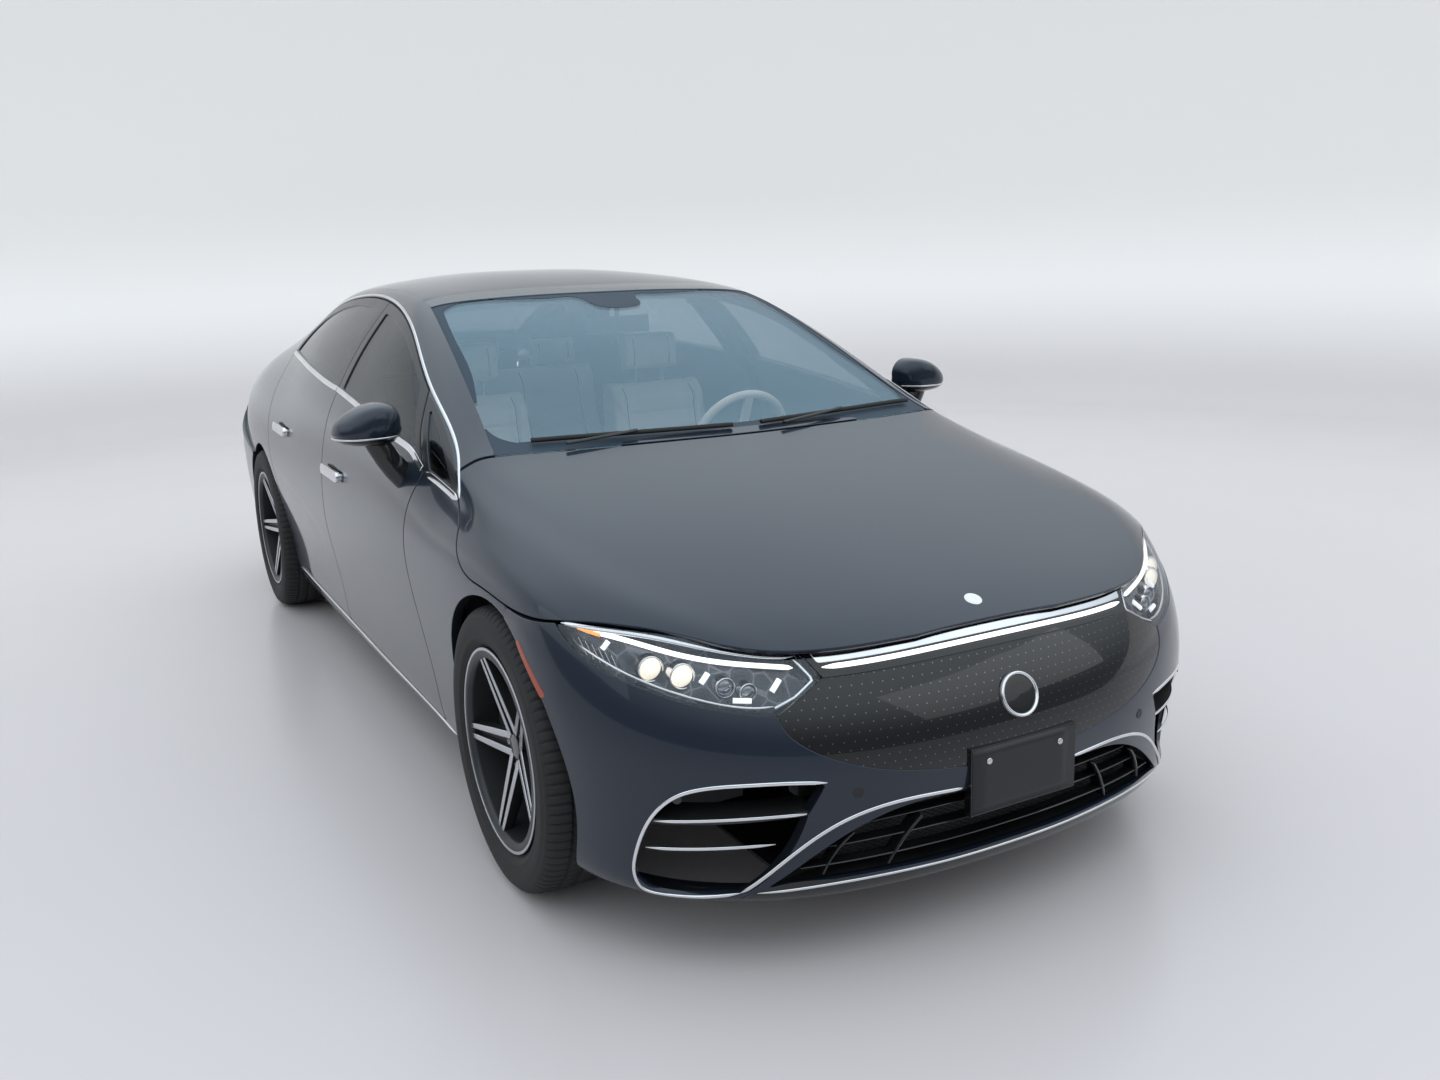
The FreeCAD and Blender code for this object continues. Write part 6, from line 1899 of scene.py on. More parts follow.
@dataclass
class Glazing:
    """Window glass as curved plates that replace the CAD panes.

    Attributes:
        depth: how far it lies under the body's surface in metres.
        thickness: of the plate in metres.
        slack: clearance to the opening in millimetres.
    """

    depth: float = 0.003
    thickness: float = 0.0048
    slack: float = 0.4

    def plate(self, area: Area, u_span: Point2, v_span: Point2, step: float = 0.016) -> Sheet:
        """A trimmed plate under the body's surface."""
        return trimmed(BODY, area.grown(-self.slack), u_span, v_span, step, -self.depth).thick(self.thickness)

    def build(self, hood_clear: Area) -> None:
        """All panes.

        Args:
            hood_clear: the hood's area with its gap.
        """
        row = BODY.row_at
        screen = self.plate(Area([Outline(View.PLAN, WINDSCREEN_PLAN)], [hood_clear]),
                            (row(-1.45), row(-0.28)), (0.3, 0.7))
        piece("windscreen_pane", screen, SCREEN, Body.CAR.value, ["windscreen"])
        roof = trimmed(BODY, Area([Outline(View.PLAN, ROOF_PLAN)]).grown(-0.5), (row(-0.36), row(1.2)),
                       (0.3, 0.7), 0.016, 0.001).hemmed(HEM[:3])
        piece("roof_pane", roof, ROOF_GLASS, Body.CAR.value)
        rear = self.plate(Area([Outline(View.PLAN, REAR_GLASS_PLAN)]), (row(1.1), row(2.3)), (0.3, 0.7))
        piece("rear_pane", rear, REAR_PANE, Body.HATCH.value, ["rear_glass"])
        for name, window, body in (("front_door_glass", FRONT_WINDOW, Body.DOOR_FRONT),
                                   ("rear_door_glass", REAR_WINDOW, Body.DOOR_REAR)):
            low, high = (row(-1.0), row(0.1)) if body is Body.DOOR_FRONT else (row(0.1), row(1.4))
            pane = self.plate(Area([Outline(View.SIDE, window)]), (low, high), (0.15, 0.5))
            both_sides(name.replace("glass", "pane"), pane, WINDOW, body, [name])
        tip = self.plate(Area([Outline(View.SIDE, TIP_WINDOW)]), (row(-1.3), row(-0.8)), (0.15, 0.5), 0.008)
        piece("quarter_panes", tip.joined(tip.mirrored()), WINDOW, Body.CAR.value,
              ["front_quarter_glass"])


@dataclass
class Lamps:
    """Front lamps and the light bar between them.

    Attributes:
        depth: depth of a lamp's tray under its cover in metres.
        cover: thickness of the cover.
        strip: width of the day-running strip.
    """

    depth: float = 0.040
    cover: float = 0.003
    strip: float = 0.011
    bar_low: float = 12.0
    bar_high: float = 27.0

    def lamp_area(self, shell: Shell) -> Area:
        """The opening of the left lamp."""
        return Area([Outline(View.FRONT, HEADLAMP_FRONT)], [shell.hood_clear()])

    def projector(self, spot: Point2, radius: float) -> tuple[Sheet, Sheet]:
        """A round lens in a barrel.

        Args:
            spot: its place seen from the front.
            radius: of the lens.

        Returns:
            Barrel and lens.
        """
        points, _ = NOSE.spots(View.FRONT, [spot], 0.030)
        axes = seat_on(np.array([0.12, -1.0, 0.02]), (1, 0, 0))
        foot = points[0] + np.array([0, 0.010, 0])
        barrel = spun(np.array([(-0.012, radius * 1.16), (0.014, radius * 1.16), (0.017, radius * 1.10),
                                (0.016, radius * 1.0), (0.004, radius * 0.99)]), foot, axes)
        angle = np.linspace(0.02, math.pi / 2, 10)
        dome = np.stack([0.006 + 0.62 * radius * np.cos(angle), radius * 0.97 * np.sin(angle)], 1)[::-1]
        return barrel, spun(dome, foot, axes)

    def build(self, shell: Shell) -> None:
        """Covers, trays and lights.

        Args:
            shell: the body whose shut lines bound the lamps.
        """
        area = self.lamp_area(shell)
        spans = ((0.45, 0.95), (0.2, 1.0))
        cover = trimmed(NOSE, area.grown(-1.2), *spans, 0.009, -0.0005).thick(self.cover)
        both_sides("lamp_cover", cover, LAMP_LENS, Body.CAR)
        rise = self.depth - 0.0005 - self.cover - 0.0004
        tray = trimmed(NOSE, area.grown(-1.2), *spans, 0.009,
                       -self.depth).hemmed(((0.0, -rise * 500), (0.0, -rise * 1000)))
        piece("lamp_trays", tray.joined(tray.mirrored()), LAMP_TRAY, Body.CAR.value, ["headlamps"])
        edge = [(868, 776), (800, 763), (730, 742), (650, 724), (570, 713), (500, 704)]
        high = [(896, 786), (840, 783), (785, 778), (728, 768), (670, 754), (600, 739), (540, 730),
                (490, 727)]
        lit = strip(NOSE, View.FRONT, edge, self.strip, 0.006, -0.016, ends=0.012)
        both_sides("lamp_day_strip", lit, WHITE_LIGHT, Body.CAR)
        bezel = strip(NOSE, View.FRONT, [(a, b - 4) for a, b in high], 0.012, 0.004, -0.010, ends=0.02)
        lower = strip(NOSE, View.FRONT, [(880, 742), (804, 688), (730, 658), (664, 640), (600, 632),
                                         (566, 634)], 0.006, 0.003, -0.012, ends=0.02)
        inner = strip(NOSE, View.FRONT, [(492, 718), (470, 678), (520, 648), (566, 630)], 0.007, 0.003,
                      -0.012, straight=True)
        both_sides("lamp_bezel", bezel.joined(lower, inner), CHROME, Body.CAR)
        barrels, domes = [], []
        for spot, radius in (((776, 712), 0.026), ((722, 700), 0.026), ((648, 678), 0.020),
                             ((606, 668), 0.018)):
            barrel, dome = self.projector(spot, radius)
            barrels.append(barrel)
            domes.append(dome)
        both_sides("lamp_barrels", barrels[0].joined(*barrels[1:]), CHROME, Body.CAR)
        both_sides("lamp_beams", domes[0].joined(domes[1]), WARM_LIGHT, Body.CAR)
        both_sides("lamp_lenses", domes[2].joined(*domes[3:]), LAMP_GLASS, Body.CAR)
        bars = []
        for start, end, width in (((692, 684), (672, 704), 0.013), ((560, 664), (536, 686), 0.013),
                                  ((848, 742), (832, 760), 0.012), ((642, 650), (606, 648), 0.012)):
            bars.append(strip(NOSE, View.FRONT, [start, (0.5 * (start[0] + end[0]),
                                                         0.5 * (start[1] + end[1])), end], width, 0.006,
                              -0.022))
        both_sides("lamp_light_blocks", bars[0].joined(*bars[1:]), SOFT_LIGHT, Body.CAR)
        signal = strip(NOSE, View.FRONT, [(872, 778), (856, 772), (840, 768)], 0.008, 0.005, -0.012)
        both_sides("lamp_signal", signal, AMBER_LIGHT, Body.CAR)
        self.fins()
        self.bar(shell)

    def fins(self) -> None:
        """Dark ribbed steps on the tray's outer end."""
        ribs = [strip(NOSE, View.FRONT, [(a, 772 - 0.62 * (902 - a)), (a - 4, 735 - 0.62 * (902 - a))],
                      0.003, 0.008, -0.034, straight=True) for a in range(838, 884, 9)]
        both_sides("lamp_ribs", ribs[0].joined(*ribs[1:]), SATIN, Body.CAR)

    def bar(self, shell: Shell) -> None:
        """The light bar: bright strip along the hood, lit strip below it and a dark foot.

        Args:
            shell: the body whose shut lines bound the bar.
        """
        low = [(a, b + self.bar_low) for a, b in BAR_BOTTOM]
        high = [(a, b + self.bar_high) for a, b in BAR_BOTTOM]
        spans = ((0.2, 0.8), (0.5, 1.0))
        frame_area = Area([Outline(View.FRONT, BAR_FRONT)], [shell.hood_clear()])
        upper_cut = Outline(View.FRONT, [high[::-1], [high[0], (520, 900)], [(520, 900), (-520, 900)],
                                         [(-520, 900), high[-1]]])
        upper = trimmed(NOSE, Area([*frame_area.within, upper_cut], frame_area.without).grown(-1.4), *spans,
                        0.008, 0.0006).hemmed(((0.8, 0.3), (1.2, 1.2), (1.2, 7.0)))
        piece("bar_bright_strip", upper, CHROME, Body.CAR.value)
        glow = strip(NOSE, View.FRONT, [(a * 0.985, b + 0.5 * (self.bar_low + self.bar_high)) for a,
                                        b in BAR_BOTTOM], (self.bar_high - self.bar_low - 3.0) * MM, 0.0025,
                     -0.0012, ends=0.03)
        piece("bar_light_strip", glow, WHITE_LIGHT, Body.CAR.value)
        foot_cut = Outline(View.FRONT, [low, [low[-1], (-520, 600)], [(-520, 600), (520, 600)],
                                        [(520, 600), low[0]]])
        foot = trimmed(NOSE, Area([*frame_area.within, foot_cut], frame_area.without).grown(-1.2), *spans,
                       0.008, 0.0004).hemmed(((0.6, 0.3), (0.8, 1.0), (0.8, 5.0)))
        piece("bar_foot_strip", foot, GLOSS, Body.CAR.value)


@dataclass
class Nose:
    """Black front panel, plate, intakes and bright strips of the front bumper.

    Attributes:
        ring: radius of the plain ring in the middle of the panel, in metres.
        plate_low: height of the plate's lower edge in metres.
        plate_high: height of its upper edge.
        plate_half: half its width.
    """

    ring: float = 0.052
    plate_low: float = 0.330
    plate_high: float = 0.490
    plate_half: float = 0.155

    def panel(self) -> None:
        """The panel with its field of dots, and a plain ring on it."""
        skin = trimmed(NOSE, Area([Outline(View.FRONT, PANEL_FRONT)]).grown(-1.6), (0.0, 1.0), (0.3, 0.95),
                       0.010, -0.0008).hemmed(((0.8, 0.3), (1.2, 1.2), (1.2, 5.0)))
        piece("front_panel", skin, DOTTED, Body.CAR.value)
        point, normal = NOSE.spots(View.FRONT, [(0, 583)], 0.001)
        axes = seat_on(normal[0], (1, 0, 0))
        r = self.ring
        band = np.array([(0.0, r + 0.001), (0.007, r), (0.0095, r - 0.002), (0.0095, r - 0.005),
                         (0.007, r - 0.0075), (0.004, r - 0.008)])
        piece("front_ring", spun(band, point[0], axes, 96), CHROME, Body.CAR.value)
        disc = np.array([(0.0, r - 0.004), (0.0045, r - 0.006), (0.0055, r - 0.010), (0.0065, 0.5 * r),
                         (0.0068, 0.0002)])
        piece("front_disc", spun(disc, point[0], axes, 96), GLOSS, Body.CAR.value)
        point, normal = BODY.spots(View.PLAN, [(0, -2421)], -0.0008)
        axes = seat_on(normal[0], (1, 0, 0))
        stud = np.array([(0.0, 0.022), (0.0015, 0.0216), (0.0022, 0.020), (0.0020, 0.018), (0.0014, 0.0165),
                         (0.0017, 0.010), (0.0018, 0.0002)])
        piece("hood_stud", spun(stud, point[0], axes, 64), CHROME, Body.HOOD.value)

    def strips(self) -> None:
        """Bright strips: round the side intakes and up to the middle, along the lip, and on the blades."""
        bend = [(826 - 340, 467), (561, 473), (646, 472), (710, 465), (760, 445), (795, 402), (815, 345),
                (826, 283), (824, 222), (806, 193), (766, 187), (715, 191), (646, 205)]
        rise = [(646, 205), (593, 256), (536, 310), (456, 366), (370, 394), (251, 402), (160, 399)]
        first = strip(NOSE, View.FRONT, bend, 0.009, 0.0042, 0.0006, ends=0.03)
        second = strip(NOSE, View.FRONT, rise, 0.009, 0.0042, 0.0006, ends=0.02)
        both_sides("intake_bright_strip", first.joined(second), CHROME, Body.CAR)
        lip = [(618, 203), (560, 206), (460, 211), (330, 212), (160, 210), (0, 209), (-160, 210), (-330, 212),
               (-460, 211), (-560, 206), (-618, 203)]
        piece("lip_bright_strip", strip(NOSE, View.FRONT, lip, 0.007, 0.0035, 0.0010, ends=0.06), CHROME,
              Body.CAR.value)
        edges = []
        for line in ([(514, 392), (654, 387), (802, 371)], [(584, 322), (700, 314), (814, 302)]):
            edges.append(strip(NOSE, View.FRONT, line, 0.008, 0.003, -0.0075, ends=0.04))
        both_sides("blade_bright_strip", edges[0].joined(edges[1]), CHROME, Body.CAR)

    def lower(self) -> None:
        """Black splitter under the middle intake, its vanes, struts and mesh."""
        low = Outline(View.FRONT, [[(-640, 120), (640, 120)], [(640, 120), (640, 190)],
                                   [(640, 190), (600, 213), (419, 219), (0, 218), (-419, 219), (-600, 213),
                                    (-640, 190)], [(-640, 190), (-640, 120)]])
        skin = trimmed(NOSE, Area([low]), (0.0, 1.0), (0.0, 0.6), 0.012,
                       0.0019).hemmed(((0.4, 0.3), (0.5, 1.0)))
        piece("splitter", skin, GLOSS, Body.CAR.value)
        vanes = []
        for z, reach, depth in ((352, 400, 0.030), (306, 470, 0.026), (262, 530, 0.020)):
            line = [(-reach, z - 6), (-reach * 0.5, z), (0, z + 1), (reach * 0.5, z), (reach, z - 6)]
            path, normal = NOSE.spots(View.FRONT, dense(line), depth)
            vanes.append(swept(path, oval(0.007, 0.030), normal))
        for sign in (-1, 1):
            for x, lean in ((330, 70), (480, 60)):
                line = [(sign * x, 236), (sign * (x - lean * 0.5), 300), (sign * (x - lean), 372 - 0.08 * x)]
                path, normal = NOSE.spots(View.FRONT, dense(line), 0.022)
                vanes.append(swept(path, oval(0.010, 0.040), normal))
        piece("intake_vanes", vanes[0].joined(*vanes[1:]), GLOSS, Body.CAR.value)
        mesh = trimmed(NOSE, Area([Outline(View.FRONT, LOWER_INTAKE)]).grown(-6.0), (0.0, 1.0), (0.0, 0.7),
                       0.02, -0.062)
        piece("intake_mesh", mesh.thick(0.003), MESH, Body.CAR.value)
        for name, spot in (("outer", (764, 436)), ("inner", (420, 436))):
            point, normal = NOSE.spots(View.FRONT, [spot], 0.0)
            eye = spun(np.array([(0.0, 0.0125), (0.0022, 0.0120), (0.0026, 0.0105), (0.0020, 0.0095),
                                 (0.0022, 0.0002)]), point[0], seat_on(normal[0], (1, 0, 0)), 40)
            both_sides(f"park_sensor_{name}", eye, BLACK, Body.CAR)

    def plate(self) -> None:
        """Blank plate and its bolts."""
        face = float(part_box("front_plate_holder")[0][1])
        mid, half = 0.5 * (self.plate_low + self.plate_high), 0.5 * (self.plate_high - self.plate_low)
        board = rounded_box((-self.plate_half + 0.003, face - 0.0016, mid - half + 0.003),
                            (self.plate_half - 0.003, face + 0.0006, mid + half - 0.003), 0.0007, 4)
        piece("front_plate", board, PLATE, Body.CAR.value)
        studs = []
        for x, z in ((-0.105, 0.454), (0.105, 0.454)):
            head = np.array([(0.0, 0.0078), (0.0020, 0.0076), (0.0034, 0.0060), (0.0038, 0.0002)])
            studs.append(spun(head, (x, face - 0.0016, z), np.array([(1, 0, 0), (0, 0, 1), (0, -1, 0)],
                                                                    float), 24))
        piece("plate_bolts", studs[0].joined(studs[1]), SATIN, Body.CAR.value)

    def markers(self) -> None:
        """Amber markers on the bumper's sides."""
        outline = Outline(View.SIDE, [[(-1936, 711), (-1950, 716)], [(-1950, 716), (-2068, 614)],
                                      [(-2068, 614), (-2052, 604)], [(-2052, 604), (-1936, 711)]])
        skin = trimmed(NOSE, Area([outline]), (0.5, 1.0), (0.3, 1.0), 0.006, 0.0022)
        both_sides("side_marker", skin.hemmed(((0.6, 0.4), (0.9, 1.4))), AMBER, Body.CAR)

    def build(self) -> None:
        """All its pieces."""
        self.panel()
        self.strips()
        self.lower()
        self.plate()
        self.markers()


def beside(line: Sequence[Point2], by: float) -> list[Point2]:
    """A line moved sideways in its view, to the left of its run, by a distance in millimetres.

    Args:
        line: the line.
        by: the distance.

    Returns:
        The moved line.
    """
    points = np.array(line, float)
    way = np.gradient(points, axis=0)
    way /= np.linalg.norm(way, axis=1, keepdims=True)
    return [tuple(p) for p in points + by * np.stack([-way[:, 1], way[:, 0]], 1)]


def closed_form(rings: np.ndarray) -> Sheet:
    """A closed body over rings of points in metres, with flat ends, facing outwards.

    Args:
        rings: points by ring and by place in the ring.

    Returns:
        The body.
    """
    sheet = grid_sheet(rings, wrap_columns=True)
    count, last = rings.shape[1], (rings.shape[0] - 1) * rings.shape[1]
    caps = [np.arange(count)[None], last + np.arange(count)[None, ::-1]]
    whole = Sheet(sheet.points, sheet.normals, sheet.faces + caps)
    away = sheet.points - rings.mean((0, 1))
    return whole if np.mean(np.sum(sheet.normals * away, 1)) > 0 else whole.turned_over()


AXLE = np.array([(0, 1, 0), (0, 0, 1), (1, 0, 0)], float)


@dataclass
class Trim:
    """Bright strips round the side windows, along the belt and the sill, door handles and black frames.

    Attributes:
        arc_width: width of the strip over the windows in metres.
        belt_width: width of the strip under them.
        sill_width: width of the strip along the sill.
        height: how far a strip stands out.
        handle_depth: how deep a handle's cover reaches in millimetres.
    """

    arc_width: float = 0.011
    belt_width: float = 0.020
    sill_width: float = 0.010
    height: float = 0.0035
    handle_depth: float = 13.0

    def side_strip(self, line: Sequence[Point2], width: float, lift: float = 0.0012,
                   ends: float = 0.0) -> Sheet:
        """A strip along a line seen from the side."""
        return strip(BODY, View.SIDE, line, width, self.height, lift, ends=ends, v_span=(0.0, 0.5))

    def surround(self) -> None:
        """The arc over the windows, with the belt strips of the body and the doors."""
        arc = [(-1326, 942)] + beside(DLO_TOP, 10.5)[1:-1] + [(1371, 1196)]
        both_sides("window_arc", self.side_strip(arc, self.arc_width, ends=0.03), CHROME, Body.CAR)
        front = [(-1318, 937), (-1262, 945), (-1160, 961), (-1056, 977)]
        both_sides("belt_strip_body", self.side_strip(front, self.belt_width, ends=0.03), CHROME, Body.CAR)
        front = [(-1022, 984), (-970, 1001), (-924, 1016), (-780, 1038), (-600, 1058), (-200, 1100),
                 (14, 1118), (78, 1123)]
        both_sides("belt_strip_front", self.side_strip(front, self.belt_width), CHROME, Body.DOOR_FRONT)
        rear = [(92, 1124), (146, 1126), (500, 1145), (900, 1164), (1200, 1174), (1350, 1178)]
        both_sides("belt_strip_rear", self.side_strip(rear, self.belt_width), CHROME, Body.DOOR_REAR)
        sill = [(-1176, 212), (-1100, 221), (-599, 234), (104, 248), (793, 264), (1080, 273)]
        both_sides("sill_strip", self.side_strip(sill, self.sill_width, ends=0.05), CHROME, Body.CAR)

    def cover(self, area: Area, low: float, high: float) -> Sheet:
        """A thin black cover over part of the body's side."""
        return trimmed(BODY, area.grown(-0.6), (BODY.row_at(low), BODY.row_at(high)), (0.1, 0.5), 0.010,
                       0.0016).hemmed(((0.3, 0.2), (0.45, 0.6), (0.45, 2.2)))

    def upper(self, line: list[Point2]) -> Outline:
        """Everything over a line seen from the side."""
        (y_first, _), (y_last, _) = line[0], line[-1]
        return Outline(View.SIDE, [line, [line[-1], (y_last, TOP)], [(y_last, TOP), (y_first, TOP)],
                                   [(y_first, TOP), line[0]]])

    def frames(self) -> None:
        """Black window frames: a thin cover over each door's upper part and round the corner pane."""
        belt = [(-1040, 984), (-970, 1001), (-924, 1016), (-600, 1058), (-200, 1100), (14, 1118), (120, 1126)]
        front = Area([Outline(View.SIDE, FRONT_DOOR_SIDE), self.upper(belt)],
                     [Outline(View.SIDE, FRONT_WINDOW)])
        both_sides("front_window_frame", self.cover(front, -1.2, 0.2), FRAME_BLACK, Body.DOOR_FRONT)
        belt = [(40, 1121), (146, 1126), (500, 1145), (900, 1164), (1200, 1174), (1390, 1179)]
        rear = Area([Outline(View.SIDE, REAR_DOOR_SIDE), self.upper(belt)],
                    [Outline(View.SIDE, REAR_WINDOW), Outline(View.SIDE, grown(FRONT_DOOR_SIDE, 6.0))])
        both_sides("rear_window_frame", self.cover(rear, 0.0, 1.45), FRAME_BLACK, Body.DOOR_REAR)
        belt = [(-1344, 928), (-1262, 945), (-1160, 961), (-1050, 978)]
        inside = Outline(View.SIDE, [belt, [belt[-1], (-780, 1180)],
                                     part_of(DLO_TOP, (-780, 1180), (-1344, 928))])
        tip = Area([inside], [Outline(View.SIDE, TIP_WINDOW), Outline(View.SIDE, grown(DOORS_SIDE, 6.0))])
        both_sides("corner_frame", self.cover(tip, -1.40, -0.75), FRAME_BLACK, Body.CAR)

    def handle(self, name: str, y: float, z: float, body: Body) -> None:
        """A bright cover over a pull handle, its feet, and a dark cup behind it that stands for the shade in
        the handle's recess.

        Args:
            name: start of the pieces' names.
            y: place along the car in millimetres.
            z: height in millimetres.
            body: the body it moves with.
        """
        grip = Outline(View.SIDE, [[(y - 116, z - 16), (y + 116, z - 13)],
                                   [(y + 116, z - 13), (y + 128, z + 3), (y + 116, z + 18)],
                                   [(y + 116, z + 18), (y - 116, z + 16)],
                                   [(y - 116, z + 16), (y - 128, z), (y - 116, z - 16)]])
        span = BODY.row_at((y - 150) * MM), BODY.row_at((y + 150) * MM)
        bar = trimmed(BODY, Area([grip]).grown(0.2), span, (0.1, 0.5), 0.006,
                      0.0212).hemmed(((0.9, 0.3), (1.5, 1.2), (1.7, 2.6), (1.7, self.handle_depth)))
        feet = []
        for a in (y - 102, y + 102):
            shoe = Area([Outline(View.SIDE, polygon([(a - 16, z - 9), (a + 16, z - 9), (a + 16, z + 10),
                                                     (a - 16, z + 10)]))])
            feet.append(trimmed(BODY, shoe.grown(1.0), span, (0.1, 0.5), 0.006,
                                0.0144).hemmed(((0.6, 0.5), (1.0, 3.0), (1.4, 12.8))))
        both_sides(f"{name}_handle", bar.joined(*feet), CHROME, body)
        # painted shade: a dark sheet in the recess behind the handle
        cup = Outline(View.SIDE, [[(y - 78, z - 22), (y, z - 26), (y + 78, z - 20)],
                                  [(y + 78, z - 20), (y + 92, z + 2), (y + 78, z + 24)],
                                  [(y + 78, z + 24), (y, z + 28), (y - 78, z + 22)],
                                  [(y - 78, z + 22), (y - 92, z), (y - 78, z - 22)]])
        dish = trimmed(BODY, Area([cup]), span, (0.1, 0.5), 0.008, 0.0015).hemmed(((0.4, 0.2), (0.6, 0.8)))
        both_sides(f"{name}_handle_cup", dish, BLACK, body)

    def build(self) -> None:
        """All its pieces."""
        self.frames()
        self.surround()
        self.handle("front", -92, 848, Body.DOOR_FRONT)
        self.handle("rear", 905, 893, Body.DOOR_REAR)


@dataclass
class Mirrors:
    """Door mirrors: painted cap, black housing with a bright line, foot and glass.

    Attributes:
        rear: place of the housing's open end along the car in millimetres.
        depth: how far the housing reaches ahead of it.
        split: height of the line between the painted cap and the housing.
        centre: middle of the housing seen from the front.
        powers: exponents of its rounding across and upwards.
        outline: the housing seen from the front, in millimetres.
    """

    rear: float = -868.0
    depth: float = 107.0
    split: float = 1082.0
    centre: tuple[float, float] = (1008.0, 1107.0)
    powers: tuple[float, float] = (2.3, 3.4)
    outline: tuple[Point2, ...] = ((906, 1106), (911, 1140), (934, 1165), (978, 1172), (1032, 1160),
                                   (1078, 1134), (1106, 1100), (1104, 1073), (1066, 1053), (1000, 1046),
                                   (936, 1052), (910, 1074), (906, 1106))

    def ring(self, inset: float) -> np.ndarray:
        """The front outline drawn in towards its middle.

        Args:
            inset: distance towards the middle.

        Returns:
            The ring.
        """
        flat = smooth_run(self.outline) - np.array(self.centre)
        radius = np.linalg.norm(flat, axis=1, keepdims=True)
        return flat * np.maximum(radius - inset, 1.0) / radius

    def rings(self, inset: float, rim: Sequence[Point2]) -> np.ndarray:
        """Rings of the housing from its rear to its tip, in millimetres.

        Behind the open end they follow the rim. Ahead of it each is the outline drawn in by (1 - s ^ n) ^ (1
        / n) across and upwards, at a share s of the depth.

        Args:
            inset: how far the form lies inside the outline.
            rim: (inset, place behind the open end) of each ring behind the open end.
        """
        rows = []
        for more, behind in rim:
            flat = self.ring(inset + more)
            rows.append(np.stack([flat[:, 0], np.full(len(flat), self.rear + behind), flat[:, 1]], 1))
        flat = self.ring(inset)
        for share in np.sin(np.linspace(0.0, 0.5 * math.pi, 20)) * 0.995:
            wide, high = ((1 - share ** n) ** (1 / n) for n in self.powers)
            rows.append(np.stack([flat[:, 0] * wide, np.full(len(flat),
                                                             self.rear - share * (self.depth - inset)),
                                  flat[:, 1] * high], 1))
        return np.stack(rows) + np.array([self.centre[0], 0.0, self.centre[1]])

    def line(self) -> Sheet:
        """The bright line round the housing, where its surface crosses one height.

        At a share s of the depth the outline's own height there is z / (1 - s ^ n) ^ (1 / n); the place
        across is read from the outline's lower right and lower left parts at that height.

        Returns:
            The line as a sheet.
        """
        drop = self.split - 6.5 - self.centre[1]
        flat = self.ring(-0.4)
        lowest = int(np.argmin(flat[:, 1]))
        half = len(flat) // 2
        right, left = flat[half // 2:lowest + 1], flat[lowest:]
        right = right[right[:, 1] < -2.0]
        left = left[left[:, 1] < -2.0]
        share = np.sin(np.linspace(0.02, 0.5 * math.pi, 160))
        high = (1 - share ** self.powers[1]) ** (1 / self.powers[1])
        keep = drop / np.maximum(high, 1e-6) > flat[lowest, 1] + 0.05
        share, high = share[keep], high[keep]
        wide = (1 - share ** self.powers[0]) ** (1 / self.powers[0])
        out = np.interp(drop / high, right[::-1, 1], right[::-1, 0]) * wide
        inner = np.interp(drop / high, left[:, 1], left[:, 0]) * wide
        x = np.concatenate([out, inner[::-1]])
        y = self.rear - np.concatenate([share, share[::-1]]) * self.depth
        path = np.stack([x + self.centre[0], y, np.full(len(x), drop + self.centre[1])], 1)
        run = np.concatenate([[0.0], np.cumsum(np.linalg.norm(np.diff(path, axis=0), axis=1))])
        at = np.linspace(2.0, run[-1] * 0.86, 60)
        path = np.stack([np.interp(at, run, path[:, k]) for k in range(3)], 1)
        away = path - np.array([self.centre[0], self.rear, path[0, 2]])
        return swept(path * MM, crown(0.0055, 0.0022), away)

    def build(self) -> None:
        """All its pieces."""
        housing = closed_form(self.rings(1.2, ((14.0, -5.0), (7.5, -5.0), (6.5, -4.2), (5.6, 1.6), (4.6, 2.4),
                                               (2.0, 2.2), (0.4, 1.0))) * MM)
        path = np.array([(892, -904, 926), (914, -906, 946), (938, -908, 974), (962, -908, 1010),
                         (984, -908, 1050), (1000, -908, 1082)]) * MM
        foot = swept(path, oval(0.074, 0.056, 24), np.array([0.0, 1.0, 0.0]),
                     scale=np.linspace(1.12, 0.92, 6))
        both_sides("mirror_housing", housing.joined(foot), GLOSS, Body.DOOR_FRONT, ["mirror"])
        cap = self.rings(0.0, ((8.0, 1.6), (3.0, 1.4), (0.8, 0.6)))
        cap[:, :, 2] = np.maximum(cap[:, :, 2], self.split)
        both_sides("mirror_cap", closed_form(cap * MM), PAINT, Body.DOOR_FRONT)
        both_sides("mirror_line", self.line(), CHROME, Body.DOOR_FRONT)
        rows = []
        for inset, behind in ((8.4, -4.9), (8.6, -3.6), (9.6, -3.1), (30.0, -3.0)):
            flat = self.ring(inset)
            rows.append(np.stack([flat[:, 0] + self.centre[0], np.full(len(flat), self.rear + behind),
                                  flat[:, 1] + self.centre[1]], 1))
        pane = closed_form(np.stack(rows) * MM)
        both_sides("mirror_glass", pane, MIRROR, Body.DOOR_FRONT)


